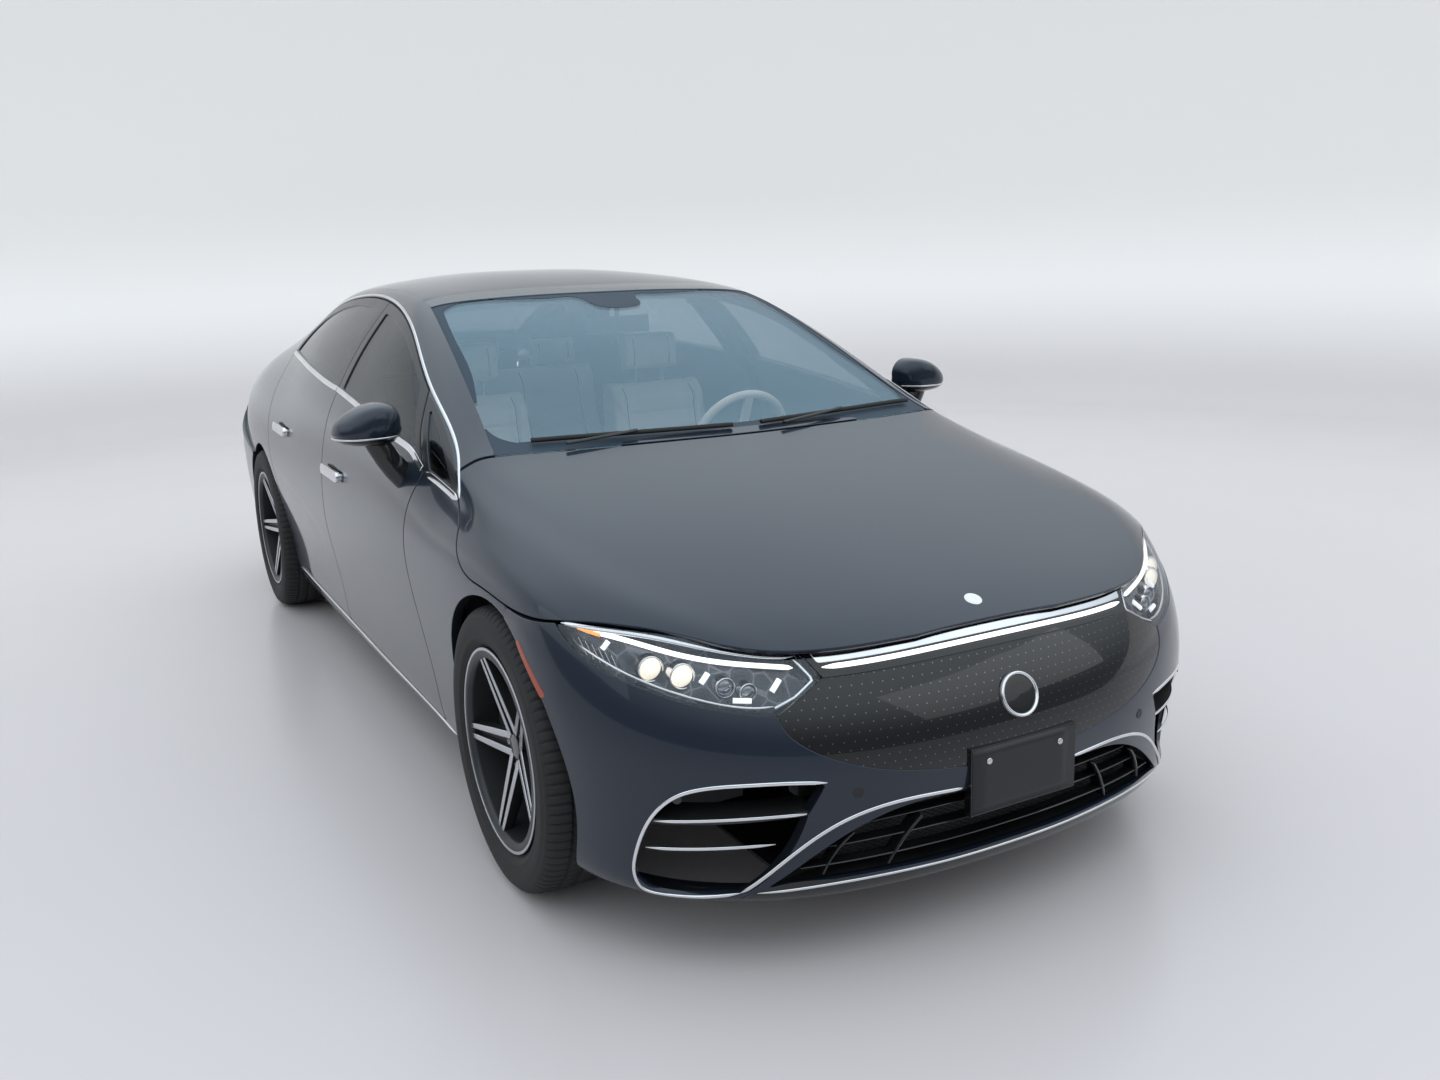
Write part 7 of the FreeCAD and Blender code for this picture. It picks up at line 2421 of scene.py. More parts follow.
@dataclass
class Wheels:
    """Tyres with tread, two-tone double spokes, bright rims, hub caps, bolts and discs.

    Attributes:
        radius: of the tyre in metres.
        half: half its width.
        rim: radius of the rim's lip.
        seat: half width between the rim's flanges.
        lip: place of the rim's outer lip along the axle.
        pitches: tread blocks round the tyre.
        spokes: pairs of spokes.
        turn: angle of the first pair from the top in degrees.
        ends: place along the pair, place across it and place along the axle of a spoke's face, at hub and
            rim.
        web: depth of a spoke behind its face.
        hub: place of the hub's face along the axle.
        bore: radius of the bore for the spindle.
        axles: name, place across and along the car, and body of each wheel.
    """

    radius: float = 0.369
    half: float = 0.1275
    rim: float = 0.262
    seat: float = 0.1085
    lip: float = 0.1175
    pitches: int = 90
    spokes: int = 5
    turn: float = 24.0
    ends: tuple[tuple[float, float, float], ...] = ((0.0317, 0.0230, 0.0705), (0.2460, 0.0135, 0.1105))
    web: float = 0.034
    hub: float = 0.0660
    bore: float = 0.0285
    groove: float = 0.0065
    axles: tuple[tuple, ...] = (("front", 0.8335, -1.732, Body.FRONT_WHEEL),
                                ("rear", 0.841, 1.478, Body.REAR_WHEEL))

    def tread(self) -> Sheet:
        """The tyre's skin.

        A profile of (place, radius) turned about the axle in 6 steps a pitch. Grooves run round it where
        |a - groove| < 4 mm, and cross the shoulders and the inner ribs where the place in the pitch is under
        a sixth; both cut into the crown.

        Returns:
            The skin as a closed sheet.
        """
        h, r, rim = self.half, self.radius, self.rim
        side = np.array([(self.seat, rim - 0.012), (self.seat, rim + 0.004), (h - 0.0085, rim + 0.014),
                         (h - 0.0032, rim + 0.023), (h - 0.0016, rim + 0.027), (h - 0.0026, rim + 0.031),
                         (h - 0.0006, rim + 0.044), (h, rim + 0.056), (h - 0.0010, rim + 0.066),
                         (h - 0.0020, rim + 0.0668), (h - 0.0038, rim + 0.078), (h - 0.0066, r - 0.0215)])
        knots = np.array([(0.0, r), (0.045, r - 0.0002), (0.0705, r - 0.001), (0.090, r - 0.0035),
                          (h - 0.022, r - 0.007), (h - 0.013, r - 0.0125), (h - 0.0066, r - 0.0215)])
        a = np.array([0.009, 0.0175, 0.0185, 0.0255, 0.0265, 0.032, 0.045, 0.0575, 0.0585, 0.0655, 0.0665,
                      0.069, 0.080, 0.090, 0.100, 0.110])
        a = np.concatenate([-a[::-1], [0.0], a])
        crown_r = np.interp(np.abs(a), knots[:, 0], knots[:, 1])
        profile = np.concatenate([side * [-1, 1], np.stack([a, crown_r], 1), side[::-1]])
        angle = np.linspace(0, 2 * math.pi, self.pitches * 6, endpoint=False)
        at, rr = profile[:, :1], profile[:, 1:]
        place = np.arange(len(angle))[None] % 6
        ring = (np.abs(np.abs(at) - 0.022) < 0.0040) | (np.abs(np.abs(at) - 0.062) < 0.0040)
        cross = (np.abs(at) > 0.0662) & (rr > r - 0.020) & (place == 0)
        fine = (np.abs(at) > 0.0262) & (np.abs(at) < 0.0580) & (place == 3)
        rho = rr - self.groove * (ring | cross) - 0.5 * self.groove * (fine & ~ring)
        points = np.stack([np.broadcast_to(at, rho.shape), rho * np.sin(angle), rho * np.cos(angle)], -1)
        return grid_sheet(points, wrap_rows=True, wrap_columns=True)

    def ray(self, radius: float, degrees: float, out: float) -> np.ndarray:
        """A point at a radius and angle about the axle, at a place along it."""
        turn = math.radians(degrees)
        return np.array([out, radius * math.sin(turn), radius * math.cos(turn)])

    def all_round(self, sheet: Sheet, count: int) -> Sheet:
        """Copies of a sheet, evenly spaced about the axle.

        Args:
            sheet: the sheet.
            count: how many.

        Returns:
            The copies as one sheet.
        """
        copies = []
        for k in range(count):
            c, s = math.cos(2 * math.pi * k / count), math.sin(2 * math.pi * k / count)
            spin = np.array([(1, 0, 0), (0, c, -s), (0, s, c)])
            copies.append(Sheet(sheet.points @ spin.T, sheet.normals @ spin.T, sheet.faces))
        return copies[0].joined(*copies[1:])

    def bars(self, section: np.ndarray, rim_scale: float, sink: float = 0.0, side: float = 1.0) -> Sheet:
        """A section carried along all spokes, from the hub to the rim.

        Args:
            section: section of a bar.
            rim_scale: its size at the rim, as a share.
            sink: how far the bars lie behind the spokes' faces.
            side: 1 for the spokes, 0 for one bar on each pair's middle line.
        """
        angle = math.radians(self.turn)
        along, across = np.array([0, math.sin(angle),
                                  math.cos(angle)]), np.array([0, math.cos(angle), -math.sin(angle)])
        share = np.linspace(0.0, 1.0, 18)[:, None]
        inner, outer = (np.array(end) for end in self.ends)
        place = inner + share * (outer - inner)
        bars = []
        for way in ((-side, side) if side else (0.0,)):
            path = place[:, :1] * along + way * place[:, 1:2] * across
            path[:, 0] += place[:, 2] - sink
            bars.append(swept(path, section, np.array([1.0, 0.0, 0.0]),
                              scale=np.interp(share[:, 0], [0.0, 0.45, 1.0], [1.0, 0.96, rim_scale])))
        return self.all_round(bars[0].joined(*bars[1:]), self.spokes)

    def casting(self) -> Sheet:
        """The dark casting: barrel, hub with the brake disc, spokes and the webs between the spokes of a
        pair.

        Returns:
            The casting as one sheet.
        """
        lip, rim, seat = self.lip, self.rim, self.seat + 0.0005
        barrel = np.array([(-lip, rim), (-seat, rim), (-seat, rim - 0.0125), (seat, rim - 0.0125),
                           (seat, rim), (lip, rim), (lip, rim - 0.024), (lip - 0.016, rim - 0.028),
                           (0.016 - lip, rim - 0.028), (-lip, rim - 0.022)])
        hub = np.array([(-0.022, 0.183), (0.010, 0.183), (0.010, 0.074), (0.020, 0.066),
                        (self.hub - 0.010, 0.054), (self.hub - 0.0005, 0.050), (self.hub - 0.0005, 0.034),
                        (0.034, self.bore), (-0.022, self.bore)])
        centre = (0.0, 0.0, 0.0)
        spokes = self.bars(crown(0.0166, 0.0004, self.web, 8.0), 0.72)
        webs = self.bars(crown(0.0360, 0.0004, 0.012, 8.0), 0.50, 0.014, 0.0)
        return turned(barrel, centre, 160, True).joined(turned(hub, centre, 96, True), spokes, webs)

    def faces(self) -> Sheet:
        """Bright faces of all spokes."""
        return self.bars(crown(0.0190, 0.0022, 0.0010, 3.4), 0.70)

    def centre(self) -> dict[str, tuple[Sheet, Finish]]:
        """Dark hub face, its bolts between the spokes of each pair, and a plain cap with a raised edge.

        Returns:
            Each piece and its finish under its name.
        """
        f = self.hub
        dome = np.array([(f - 0.006, 0.0515), (f - 0.001, 0.0508), (f + 0.0008, 0.048), (f + 0.0012, 0.044),
                         (f + 0.0008, 0.0345), (f + 0.0008, 0.0002)])
        cap = np.array([(f, 0.0325), (f + 0.0052, 0.0322), (f + 0.0070, 0.0305), (f + 0.0064, 0.0285),
                        (f + 0.0076, 0.0255), (f + 0.0082, 0.0002)])
        head = np.array([(-0.008, 0.0098), (0.0042, 0.0096), (0.0056, 0.0084), (0.0053, 0.0058),
                         (0.0025, 0.0052), (0.0025, 0.0002)])
        bolt = spun(head, self.ray(0.0575, self.turn, f - 0.002), AXLE, 18)
        centre = (0.0, 0.0, 0.0)
        return {"hub_face": (spun(dome, centre, AXLE, 80), DARK_ALLOY),
                "hub_cap": (spun(cap, centre, AXLE, 64), GLOSS),
                "wheel_bolts": (self.all_round(bolt, 5), STEEL)}

    def build(self) -> None:
        """All pieces of the four wheels."""
        lip, rim = self.lip, self.rim
        ring = np.array([(lip - 0.003, rim - 0.0045), (lip - 0.003, rim + 0.0006), (lip, rim + 0.0008),
                         (lip + 0.0013, rim), (lip + 0.0013, rim - 0.0060), (lip, rim - 0.0072)])
        disc = np.array([(0.0103, 0.1832), (0.0112, 0.181), (0.0112, 0.124), (0.0103, 0.122),
                         (0.0103, 0.090)])
        centre = (0.0, 0.0, 0.0)
        bright = self.faces().joined(turned(ring, centre, 160, True))
        parts = {"spoke_faces": (bright, ALLOY), "disc_face": (spun(disc, centre, AXLE, 96), STEEL),
                 **self.centre()}
        tread, casting = self.tread(), self.casting()
        for end, x, y, body in self.axles:
            shift = np.array([x, y, self.radius])
            both_sides(f"{end}_tread", Sheet(tread.points + shift, tread.normals, tread.faces), RUBBER, body,
                       [f"{end}_tyre"])
            both_sides(f"{end}_casting", Sheet(casting.points + shift, casting.normals, casting.faces),
                       DARK_ALLOY, body, [f"{end}_rim"])
            for name, (sheet, finish) in parts.items():
                both_sides(f"{end}_{name}", Sheet(sheet.points + shift, sheet.normals, sheet.faces), finish,
                           body)


def quad_normals(points: np.ndarray, quads: np.ndarray) -> np.ndarray:
    """Normals at points: the sum of their quads' diagonal cross products, made unit length.

    Args:
        points: the points.
        quads: four point numbers for each quad.

    Returns:
        The normals.
    """
    face = np.cross(points[quads[:, 2]] - points[quads[:, 0]], points[quads[:, 3]] - points[quads[:, 1]])
    total = np.zeros_like(points)
    for k in range(4):
        np.add.at(total, quads[:, k], face)
    return total / np.maximum(np.linalg.norm(total, axis=1, keepdims=True), 1e-12)


def stuffed(form: Sheet, voxel: float, limit: float, pressure: float = 4.0) -> Sheet:
    """A closed form blown up by a cloth simulation, as a cover over stuffing.

    The form is remeshed in voxels, blown up for 20 frames without gravity, each point held within a limit of
    where it began, and subdivided once.

    Args:
        form: the closed form before it swells.
        voxel: size of a cell in metres.
        limit: how far a point may move.
        pressure: of the stuffing.

    Returns:
        The cover in quads.
    """
    scene = bpy.context.scene
    mesh = bpy.data.meshes.new("stuffing")
    mesh.from_pydata(form.points.tolist(), [], [f for block_ in form.faces for f in block_.tolist()])
    body = bpy.data.objects.new("stuffing", mesh)
    scene.collection.objects.link(body)
    remesh = body.modifiers.new("remesh", "REMESH")
    remesh.mode, remesh.voxel_size, remesh.use_smooth_shade = "VOXEL", voxel, True

    def settled() -> bpy.types.Mesh:
        """A plain mesh of the object as its modifiers leave it."""
        return bpy.data.meshes.new_from_object(body.evaluated_get(bpy.context.evaluated_depsgraph_get()))

    body.data = settled()
    body.modifiers.clear()
    rest = vertex_places(body.data)
    cloth = body.modifiers.new("cloth", "CLOTH")
    cloth.settings.use_pressure = True
    cloth.settings.uniform_pressure_force = pressure
    cloth.settings.effector_weights.gravity = 0.0
    for frame in range(1, 21):
        scene.frame_set(frame)
    move = vertex_places(settled()) - rest
    length = np.maximum(np.linalg.norm(move, axis=1, keepdims=True), 1e-9)
    body.modifiers.clear()
    scene.frame_set(1)
    body.data.vertices.foreach_set("co", (rest + move * np.minimum(1.0,
                                                                   limit /
                                                                   length)).astype(np.float32).ravel())
    body.data.update()
    smooth = body.modifiers.new("smooth", "SUBSURF")
    smooth.levels = smooth.render_levels = 1
    done = settled()
    points = vertex_places(done)
    quads = np.empty(len(done.polygons) * 4, np.int32)
    done.loops.foreach_get("vertex_index", quads)
    quads = quads.reshape(-1, 4)
    bpy.data.objects.remove(body)
    return Sheet(points, quad_normals(points, quads), [quads])


def vertex_places(mesh: bpy.types.Mesh) -> np.ndarray:
    """A mesh's points as an array.

    Args:
        mesh: the mesh.

    Returns:
        One row for each point.
    """
    flat = np.empty(len(mesh.vertices) * 3, np.float32)
    mesh.vertices.foreach_get("co", flat)
    return flat.reshape(-1, 3).astype(float)


@dataclass
class Pad:
    """A seat's cushion, back or head restraint: raised sides, sewn channels and piped seams.

    Attributes:
        name: of its piece.
        profile: its outline seen from the side in millimetres, as (y, z), used side first, then round the
            back.
        half: half its width in millimetres.
        face: direction in which the used side looks.
        rise: height of the raised sides in millimetres.
        channels: places of the sewn channels along the used side, in millimetres.
        seams: places of the lengthwise seams across the pad.
        shrink: how much smaller it is before it is stuffed, in millimetres.
        voxel: size of a cell in metres.
        narrow: share of the width lost at the top.
        firm: fill of the pad from 0 to 1; not used.
    """

    name: str
    profile: Sequence[Point2]
    half: float
    face: tuple[float, float, float]
    rise: float = 0.0
    channels: Sequence[float] = ()
    seams: Sequence[float] = ()
    shrink: float = 12.0
    voxel: float = 0.009
    narrow: float = 0.0
    firm: float = 0.7
    channel_half: float = 150.0

    def form(self) -> Sheet:
        """The pad before it is stuffed: its profile carried across, raised towards its sides and narrowed.

        Returns:
            The form as a closed sheet.
        """
        ring = dense([*self.profile, self.profile[0]], step=14.0)[:-1]
        middle = 0.5 * (ring.min(0) + ring.max(0))
        away = ring - middle
        ring = middle + away * (1 - self.shrink / np.maximum(np.abs(away).max(0), 1.0))
        way = np.roll(ring, -1, 0) - np.roll(ring, 1, 0)
        normal = np.stack([way[:, 1], -way[:, 0]], 1)
        turn = np.sum(ring[:, 0] * np.roll(ring[:, 1], -1) - ring[:, 1] * np.roll(ring[:, 0], -1))
        normal *= np.sign(turn) / np.maximum(np.linalg.norm(normal, axis=1, keepdims=True), 1e-9)
        used = np.clip(normal @ np.array(self.face[1:]), 0, 1)
        half = self.half - self.shrink
        x = np.linspace(-half, half, 41)
        lift = self.rise * np.clip((np.abs(x) - 0.52 * half) / (0.30 * half), 0, 1) ** 1.5
        lift -= 0.35 * self.rise * np.clip(np.abs(x) / half - 0.94, 0, 1) / 0.06
        tall = (ring[:, 1] - ring[:, 1].min()) / np.ptp(ring[:, 1])
        across_ = x[:, None] * (1 - self.narrow * tall[None] ** 2)
        y = ring[None, :, 0] + lift[:, None] * used[None] * self.face[1]
        z = ring[None, :, 1] + lift[:, None] * used[None] * self.face[2]
        return closed_form(np.stack([across_, y, z], -1) * MM)

    def sewn(self, pad: Sheet) -> Sheet:
        """The stuffed pad drawn in along its channels and seams.

        Depth at a distance d from a line is 5 mm * exp(-(d / 6 mm) ^ 2), channels only between the seams.

        Args:
            pad: the stuffed pad.

        Returns:
            The drawn-in pad.
        """
        face = np.array(self.face)
        used = np.clip(pad.normals @ face * 2.0 - 0.4, 0, 1)
        x, along = pad.points[:, 0] / MM, pad.points[:, 2 if abs(self.face[1]) > 0.5 else 1] / MM
        depth = np.zeros(len(x))
        inside = np.clip((self.channel_half - np.abs(x)) / 10.0, 0, 1)
        for place in self.channels:
            depth = np.maximum(depth, 5.0 * np.exp(-((along - place) / 7.0) ** 2) * inside)
        for place in self.seams:
            depth = np.maximum(depth, 5.0 * np.exp(-((x - place) / 6.0) ** 2))
        points = pad.points - pad.normals * (depth * used * MM)[:, None]
        return Sheet(points, quad_normals(points, pad.faces[0]), pad.faces)

    def piping(self, pad: Sheet) -> list[Sheet]:
        """Thin cords laid in the lengthwise seams of the used side.

        Args:
            pad: the sewn pad.

        Returns:
            The cords.
        """
        tree = BVHTree.FromPolygons(pad.points.tolist(), pad.faces[0].tolist())
        face = np.array(self.face)
        low, high = pad.points.min(0), pad.points.max(0)
        axis = 2 if abs(self.face[1]) > 0.5 else 1
        cords = []
        for place in self.seams:
            path, ups = [], []
            for at in np.linspace(low[axis] + 0.02, high[axis] - 0.02, 70):
                start = 0.5 * (low + high) + face * 1.0
                start[0], start[axis] = place * MM, at
                hit, normal, _, _ = tree.ray_cast(start.tolist(), (-face).tolist())
                if hit is not None:
                    path.append(np.array(hit) + np.array(normal) * 0.0008)
                    ups.append(np.array(normal))
            cords.append(swept(np.array(path), oval(0.0042, 0.0042, 10), np.array(ups)))
        return cords

    def build(self) -> tuple[Sheet, Sheet | None]:
        """The finished pad, and its piping or None.

        Returns:
            The pad, and the piping or None.
        """
        pad = self.sewn(stuffed(self.form(), self.voxel, self.shrink * 1.25 * MM))
        cords = self.piping(pad)
        return pad, cords[0].joined(*cords[1:]) if cords else None


@dataclass
class Cabin:
    """Seats, dashboard trims and steering wheel trims.

    Attributes:
        seat_x: place of a front seat across the car in millimetres.
        wheel_centre: middle of the steering wheel in metres.
        tilt: slope of its column in degrees.
    """

    seat_x: float = 385.0
    wheel_centre: tuple[float, float, float] = (0.385, -0.640, 0.905)
    tilt: float = 24.0

    def front_pads(self) -> list[Pad]:
        """Cushion, back and head restraint of a front seat.

        Returns:
            The three pads.
        """
        cushion = [(-572, 372), (-586, 430), (-542, 484), (-420, 474), (-300, 468), (-180, 458), (-62, 448),
                   (-62, 400), (-70, 356), (-300, 352), (-520, 352)]
        back = [(-88, 430), (-78, 520), (-70, 600), (-36, 725), (0, 850), (28, 950), (50, 1050), (92, 1084),
                (148, 1058), (142, 950), (128, 850), (96, 725), (60, 600), (38, 500), (18, 412)]
        head = [(66, 1118), (62, 1150), (62, 1190), (88, 1258), (118, 1262), (150, 1258), (166, 1190),
                (152, 1116)]
        return [Pad("front_cushion", cushion, 258, (0, 0, 1), 26, (-500, -436, -372, -308, -244, -180, -116),
                    (-158, 158)),
                Pad("front_back", back, 248, (0, -1, 0), 30, (520, 590, 660, 730, 800, 870, 940), (-150, 150),
                    narrow=0.12),
                Pad("front_head", head, 124, (0, -1, 0), 0, (), (-78, 78), 9.0, 0.007)]

    def rear_pads(self) -> list[Pad]:
        """Cushion, back and head restraint of the rear bench.

        Returns:
            The pads.
        """
        cushion = [(450, 316), (444, 380), (446, 440), (480, 496), (590, 488), (700, 480), (850, 468),
                   (930, 462), (930, 400), (930, 310), (700, 304)]
        back = [(938, 470), (962, 600), (1020, 750), (1080, 900), (1138, 1060), (1184, 1078), (1226, 1048),
                (1190, 930), (1148, 800), (1096, 620), (1056, 480)]
        head = [(1154, 1078), (1160, 1130), (1166, 1184), (1196, 1190), (1226, 1184), (1234, 1120),
                (1238, 1066)]
        return [Pad("rear_cushion", cushion, 590, (0, 0, 1), 14, (520, 590, 660, 730, 800, 870),
                    (-470, -185, 185, 470), voxel=0.013, channel_half=460.0),
                Pad("rear_back", back, 575, (0, -1, 0), 16, (540, 620, 700, 780, 860, 940),
                    (-460, -185, 185, 460), voxel=0.013, channel_half=450.0),
                Pad("rear_head", head, 118, (0, -1, 0), 0, (), (-74, 74), 9.0, 0.007)]

    def lay(self, pads: list[Pad], places: dict[str, Sequence[float]], node: str) -> None:
        """Build pads once each and put a copy at every place.

        Args:
            pads: what to build.
            places: places across the car in millimetres, by the pad's name.
            node: the CAD node that the first piece stands for.
        """
        for pad in pads:
            cover, cords = pad.build()
            for k, x in enumerate(places[pad.name]):
                shift = np.array([x * MM, 0.0, 0.0])
                made = piece(f"{pad.name}_{k + 1}", Sheet(cover.points + shift, cover.normals, cover.faces),
                             LEATHER, Body.CAR.value, [node])
                if cords is not None:
                    piece(f"{pad.name}_piping_{k + 1}", Sheet(cords.points + shift, cords.normals,
                                                              cords.faces), PIPING, Body.CAR.value,
                          [node])

    def frames(self) -> None:
        """Seat bases, hard back shells and head restraint rods."""
        shells, bases, rods = [], [], []
        for x in (self.seat_x, -self.seat_x):
            low = np.array([x, 0.0, 0.0])
            bases.append(rounded_box((low + (-196, -518, 301)) * MM, (low + (196, -64, 349)) * MM, 0.010))
            line = np.array([(x, 42, 430), (x, 86, 600), (x, 154, 850), (x, 172, 1040)]) * MM
            shells.append(swept(line, oval(0.36, 0.014, 28), np.array([0.0, 1.0, 0.0]),
                                scale=np.array([1.0, 1.06, 0.98, 0.72])))
            for side in (-60, 60):
                rods.append(swept(np.array([(x + side, 108, 1042), (x + side, 108, 1090),
                                            (x + side, 108, 1138)]) * MM, oval(0.013, 0.013, 16),
                                  np.array([0.0, 1.0, 0.0])))
        node = ["front_seats"]
        piece("seat_bases", bases[0].joined(bases[1]), BLACK, Body.CAR.value, node)
        piece("seat_back_shells", shells[0].joined(shells[1]), BLACK, Body.CAR.value, node)
        piece("head_rods", rods[0].joined(*rods[1:]), SATIN, Body.CAR.value, node)

    def dash(self) -> None:
        """Wide screen, vents, a seam along the top pad, and the console's gloss panel and armrest."""
        across_way, up_way = np.array([1.0, 0.0, 0.0]), np.array([0.0, -35.0,
                                                                  170.0]) / math.hypot(35.0, 170.0)
        out = np.cross(up_way, across_way)
        out *= -np.sign(out[1])
        glass = block(np.array([0.0, -717.5, 785.0]) * MM + out * 0.0022, (across_way, up_way, out),
                      (1.10, 0.164, 0.0034), 0.0015, 6)
        piece("dash_screen", glass, SCREEN_GLASS, Body.CAR.value)
        vents = []
        for x in (-600, -90, 90, 600):
            centre = np.array([x, -728.0, 905.0]) * MM
            ring = np.array([(0.0, 0.036), (0.010, 0.0355), (0.012, 0.033), (0.010, 0.030), (0.004, 0.029),
                             (0.004, 0.012), (0.008, 0.010), (0.009, 0.0002)])
            vents.append(spun(ring, centre, np.array([(1, 0, 0), (0, 0, 1), (0, 1, 0)], float), 40))
        piece("dash_vents", vents[0].joined(*vents[1:]), SATIN, Body.CAR.value)
        seam = np.array([(-670, -905, 991.5), (-400, -900, 991.5), (0, -896, 991.2), (400, -900, 991.5),
                         (670, -905, 991.5)]) * MM
        piece("dash_seam", swept(seam, oval(0.004, 0.003), np.array([0.0, 0.0, 1.0])), PIPING, Body.CAR.value)
        panel = rounded_box((-0.098, -0.555, 0.5595), (0.098, -0.300, 0.5625), 0.0014)
        rest = rounded_box((-0.112, -0.290, 0.556), (0.112, -0.104, 0.578), 0.010)
        piece("console_panel", panel, GLOSS, Body.CAR.value)
        piece("console_armrest", rest, LEATHER, Body.CAR.value)

    def steering(self) -> None:
        """Hub pad and spoke trims of the steering wheel."""
        tilt = math.radians(self.tilt)
        out = np.array([0.0, math.cos(tilt), math.sin(tilt)])
        first = np.array([1.0, 0.0, 0.0])
        axes = np.stack([first, np.cross(out, first), out])
        centre = np.array(self.wheel_centre)
        pad = np.array([(-0.010, 0.0715), (0.0, 0.0725), (0.008, 0.070), (0.0135, 0.062), (0.016, 0.045),
                        (0.017, 0.0002)])
        piece("wheel_hub_pad", spun(pad, centre, axes, 64), PIPING, Body.WHEEL.value)
        bars = []
        for degrees in (0, 180, 270):
            turn = math.radians(degrees)
            along = axes[0] * math.cos(turn) + axes[1] * math.sin(turn)
            bars.append(block(centre + along * 0.118 + out * 0.0005, (along, np.cross(out, along), out),
                              (0.088, 0.026, 0.006), 0.0025, 5))
        piece("wheel_spoke_trims", bars[0].joined(*bars[1:]), SATIN, Body.WHEEL.value)

    def build(self) -> None:
        """All its pieces."""
        seats = (self.seat_x, -self.seat_x)
        self.lay(self.front_pads(), {"front_cushion": seats, "front_back": seats, "front_head": seats},
                 "front_seats")
        self.lay(self.rear_pads(), {"rear_cushion": (0.0,), "rear_back": (0.0,),
                                    "rear_head": (-380.0, 0.0, 380.0)}, "rear_bench")
        self.frames()
        self.dash()
        self.steering()


@dataclass
class Windscreen:
    """Dark border and sensor cover printed on the windscreen, wipers and inner mirror glass.

    Attributes:
        under: depth of the border under the body's surface in metres.
        blade: height of a wiper's blade over it.
    """

    under: float = 0.0022
    blade: float = 0.009

    def border(self, hood_clear: Area) -> None:
        """The black border, with the sensor cover's bulge in the middle of its upper edge.

        Args:
            hood_clear: the hood's area with its gap.
        """
        low = [(-672, -1236), (-560, -1262), (-300, -1302), (0, -1316), (300, -1302), (560, -1262),
               (672, -1236)]
        side = [(672, -1236), (702, -1200), (676, -900), (636, -600), (600, -376)]
        top = [(600, -376), (570, -344), (300, -352), (150, -356)]
        bulge = [(150, -356), (112, -380), (74, -500), (56, -512), (-56, -512), (-74, -500), (-112, -380),
                 (-150, -356)]
        inner = Outline(View.PLAN, [low, side, top, bulge, across(top), across(side)])
        area = Area([Outline(View.PLAN, WINDSCREEN_PLAN)], [inner, hood_clear]).grown(-0.8)
        band = trimmed(BODY, area, (BODY.row_at(-1.45), BODY.row_at(-0.28)), (0.3, 0.7), 0.012, -self.under)
        piece("windscreen_border", band.thick(0.0005), BORDER, Body.CAR.value)
        roof_bar = Area([Outline(View.PLAN, ROOF_PLAN), Band(1, -0.40, -0.205)])
        bar = trimmed(BODY, roof_bar.grown(-1.0), (BODY.row_at(-0.36), BODY.row_at(-0.1)), (0.3, 0.7), 0.016,
                      0.0014)
        piece("roof_front_bar", bar.hemmed(((0.3, 0.2), (0.4, 0.5))), GLOSS, Body.CAR.value)

    def wipers(self) -> None:
        """Two wipers lying along the windscreen's base: arm, bow and rubber."""
        blades, arms = [], []
        for start, end, root in (((60, -1352), (690, -1238), (120, -1385)),
                                 ((-640, -1262), (-40, -1352), (-560, -1330))):
            line = [start, (0.5 * (start[0] + end[0]), 0.5 * (start[1] + end[1]) - 18), end]
            path, normal = BODY.spots(View.PLAN, dense(line), -self.blade, (0.2, 0.8))
            blades.append(swept(path, np.array([(0.009, -0.001), (0.007, 0.006), (0.0015, 0.009),
                                                (-0.0015, 0.009), (-0.007, 0.006), (-0.009, -0.001),
                                                (-0.002, -0.0035), (0.002, -0.0035)]), normal))
            middle = line[1]
            path, normal = BODY.spots(View.PLAN, dense([root, (0.5 * (root[0] + middle[0]),
                                                               0.5 * (root[1] + middle[1]) - 4), middle]),
                                      -self.blade - 0.009, (0.2, 0.8))
            arms.append(swept(path, oval(0.014, 0.008, 16), normal))
        piece("wiper_blades", blades[0].joined(blades[1]), SEAL, Body.CAR.value)
        piece("wiper_arms", arms[0].joined(arms[1]), BLACK, Body.CAR.value)

    def mirror(self) -> None:
        """Glass of the inner mirror."""
        glass = rounded_box((-0.116, -0.4498, 1.303), (0.116, -0.4478, 1.357), 0.0009)
        piece("inner_mirror_glass", glass, MIRROR, Body.CAR.value)

    def build(self, hood_clear: Area) -> None:
        """All its pieces.

        Args:
            hood_clear: the hood's area with its gap.
        """
        self.border(hood_clear)
        self.wipers()
        self.mirror()


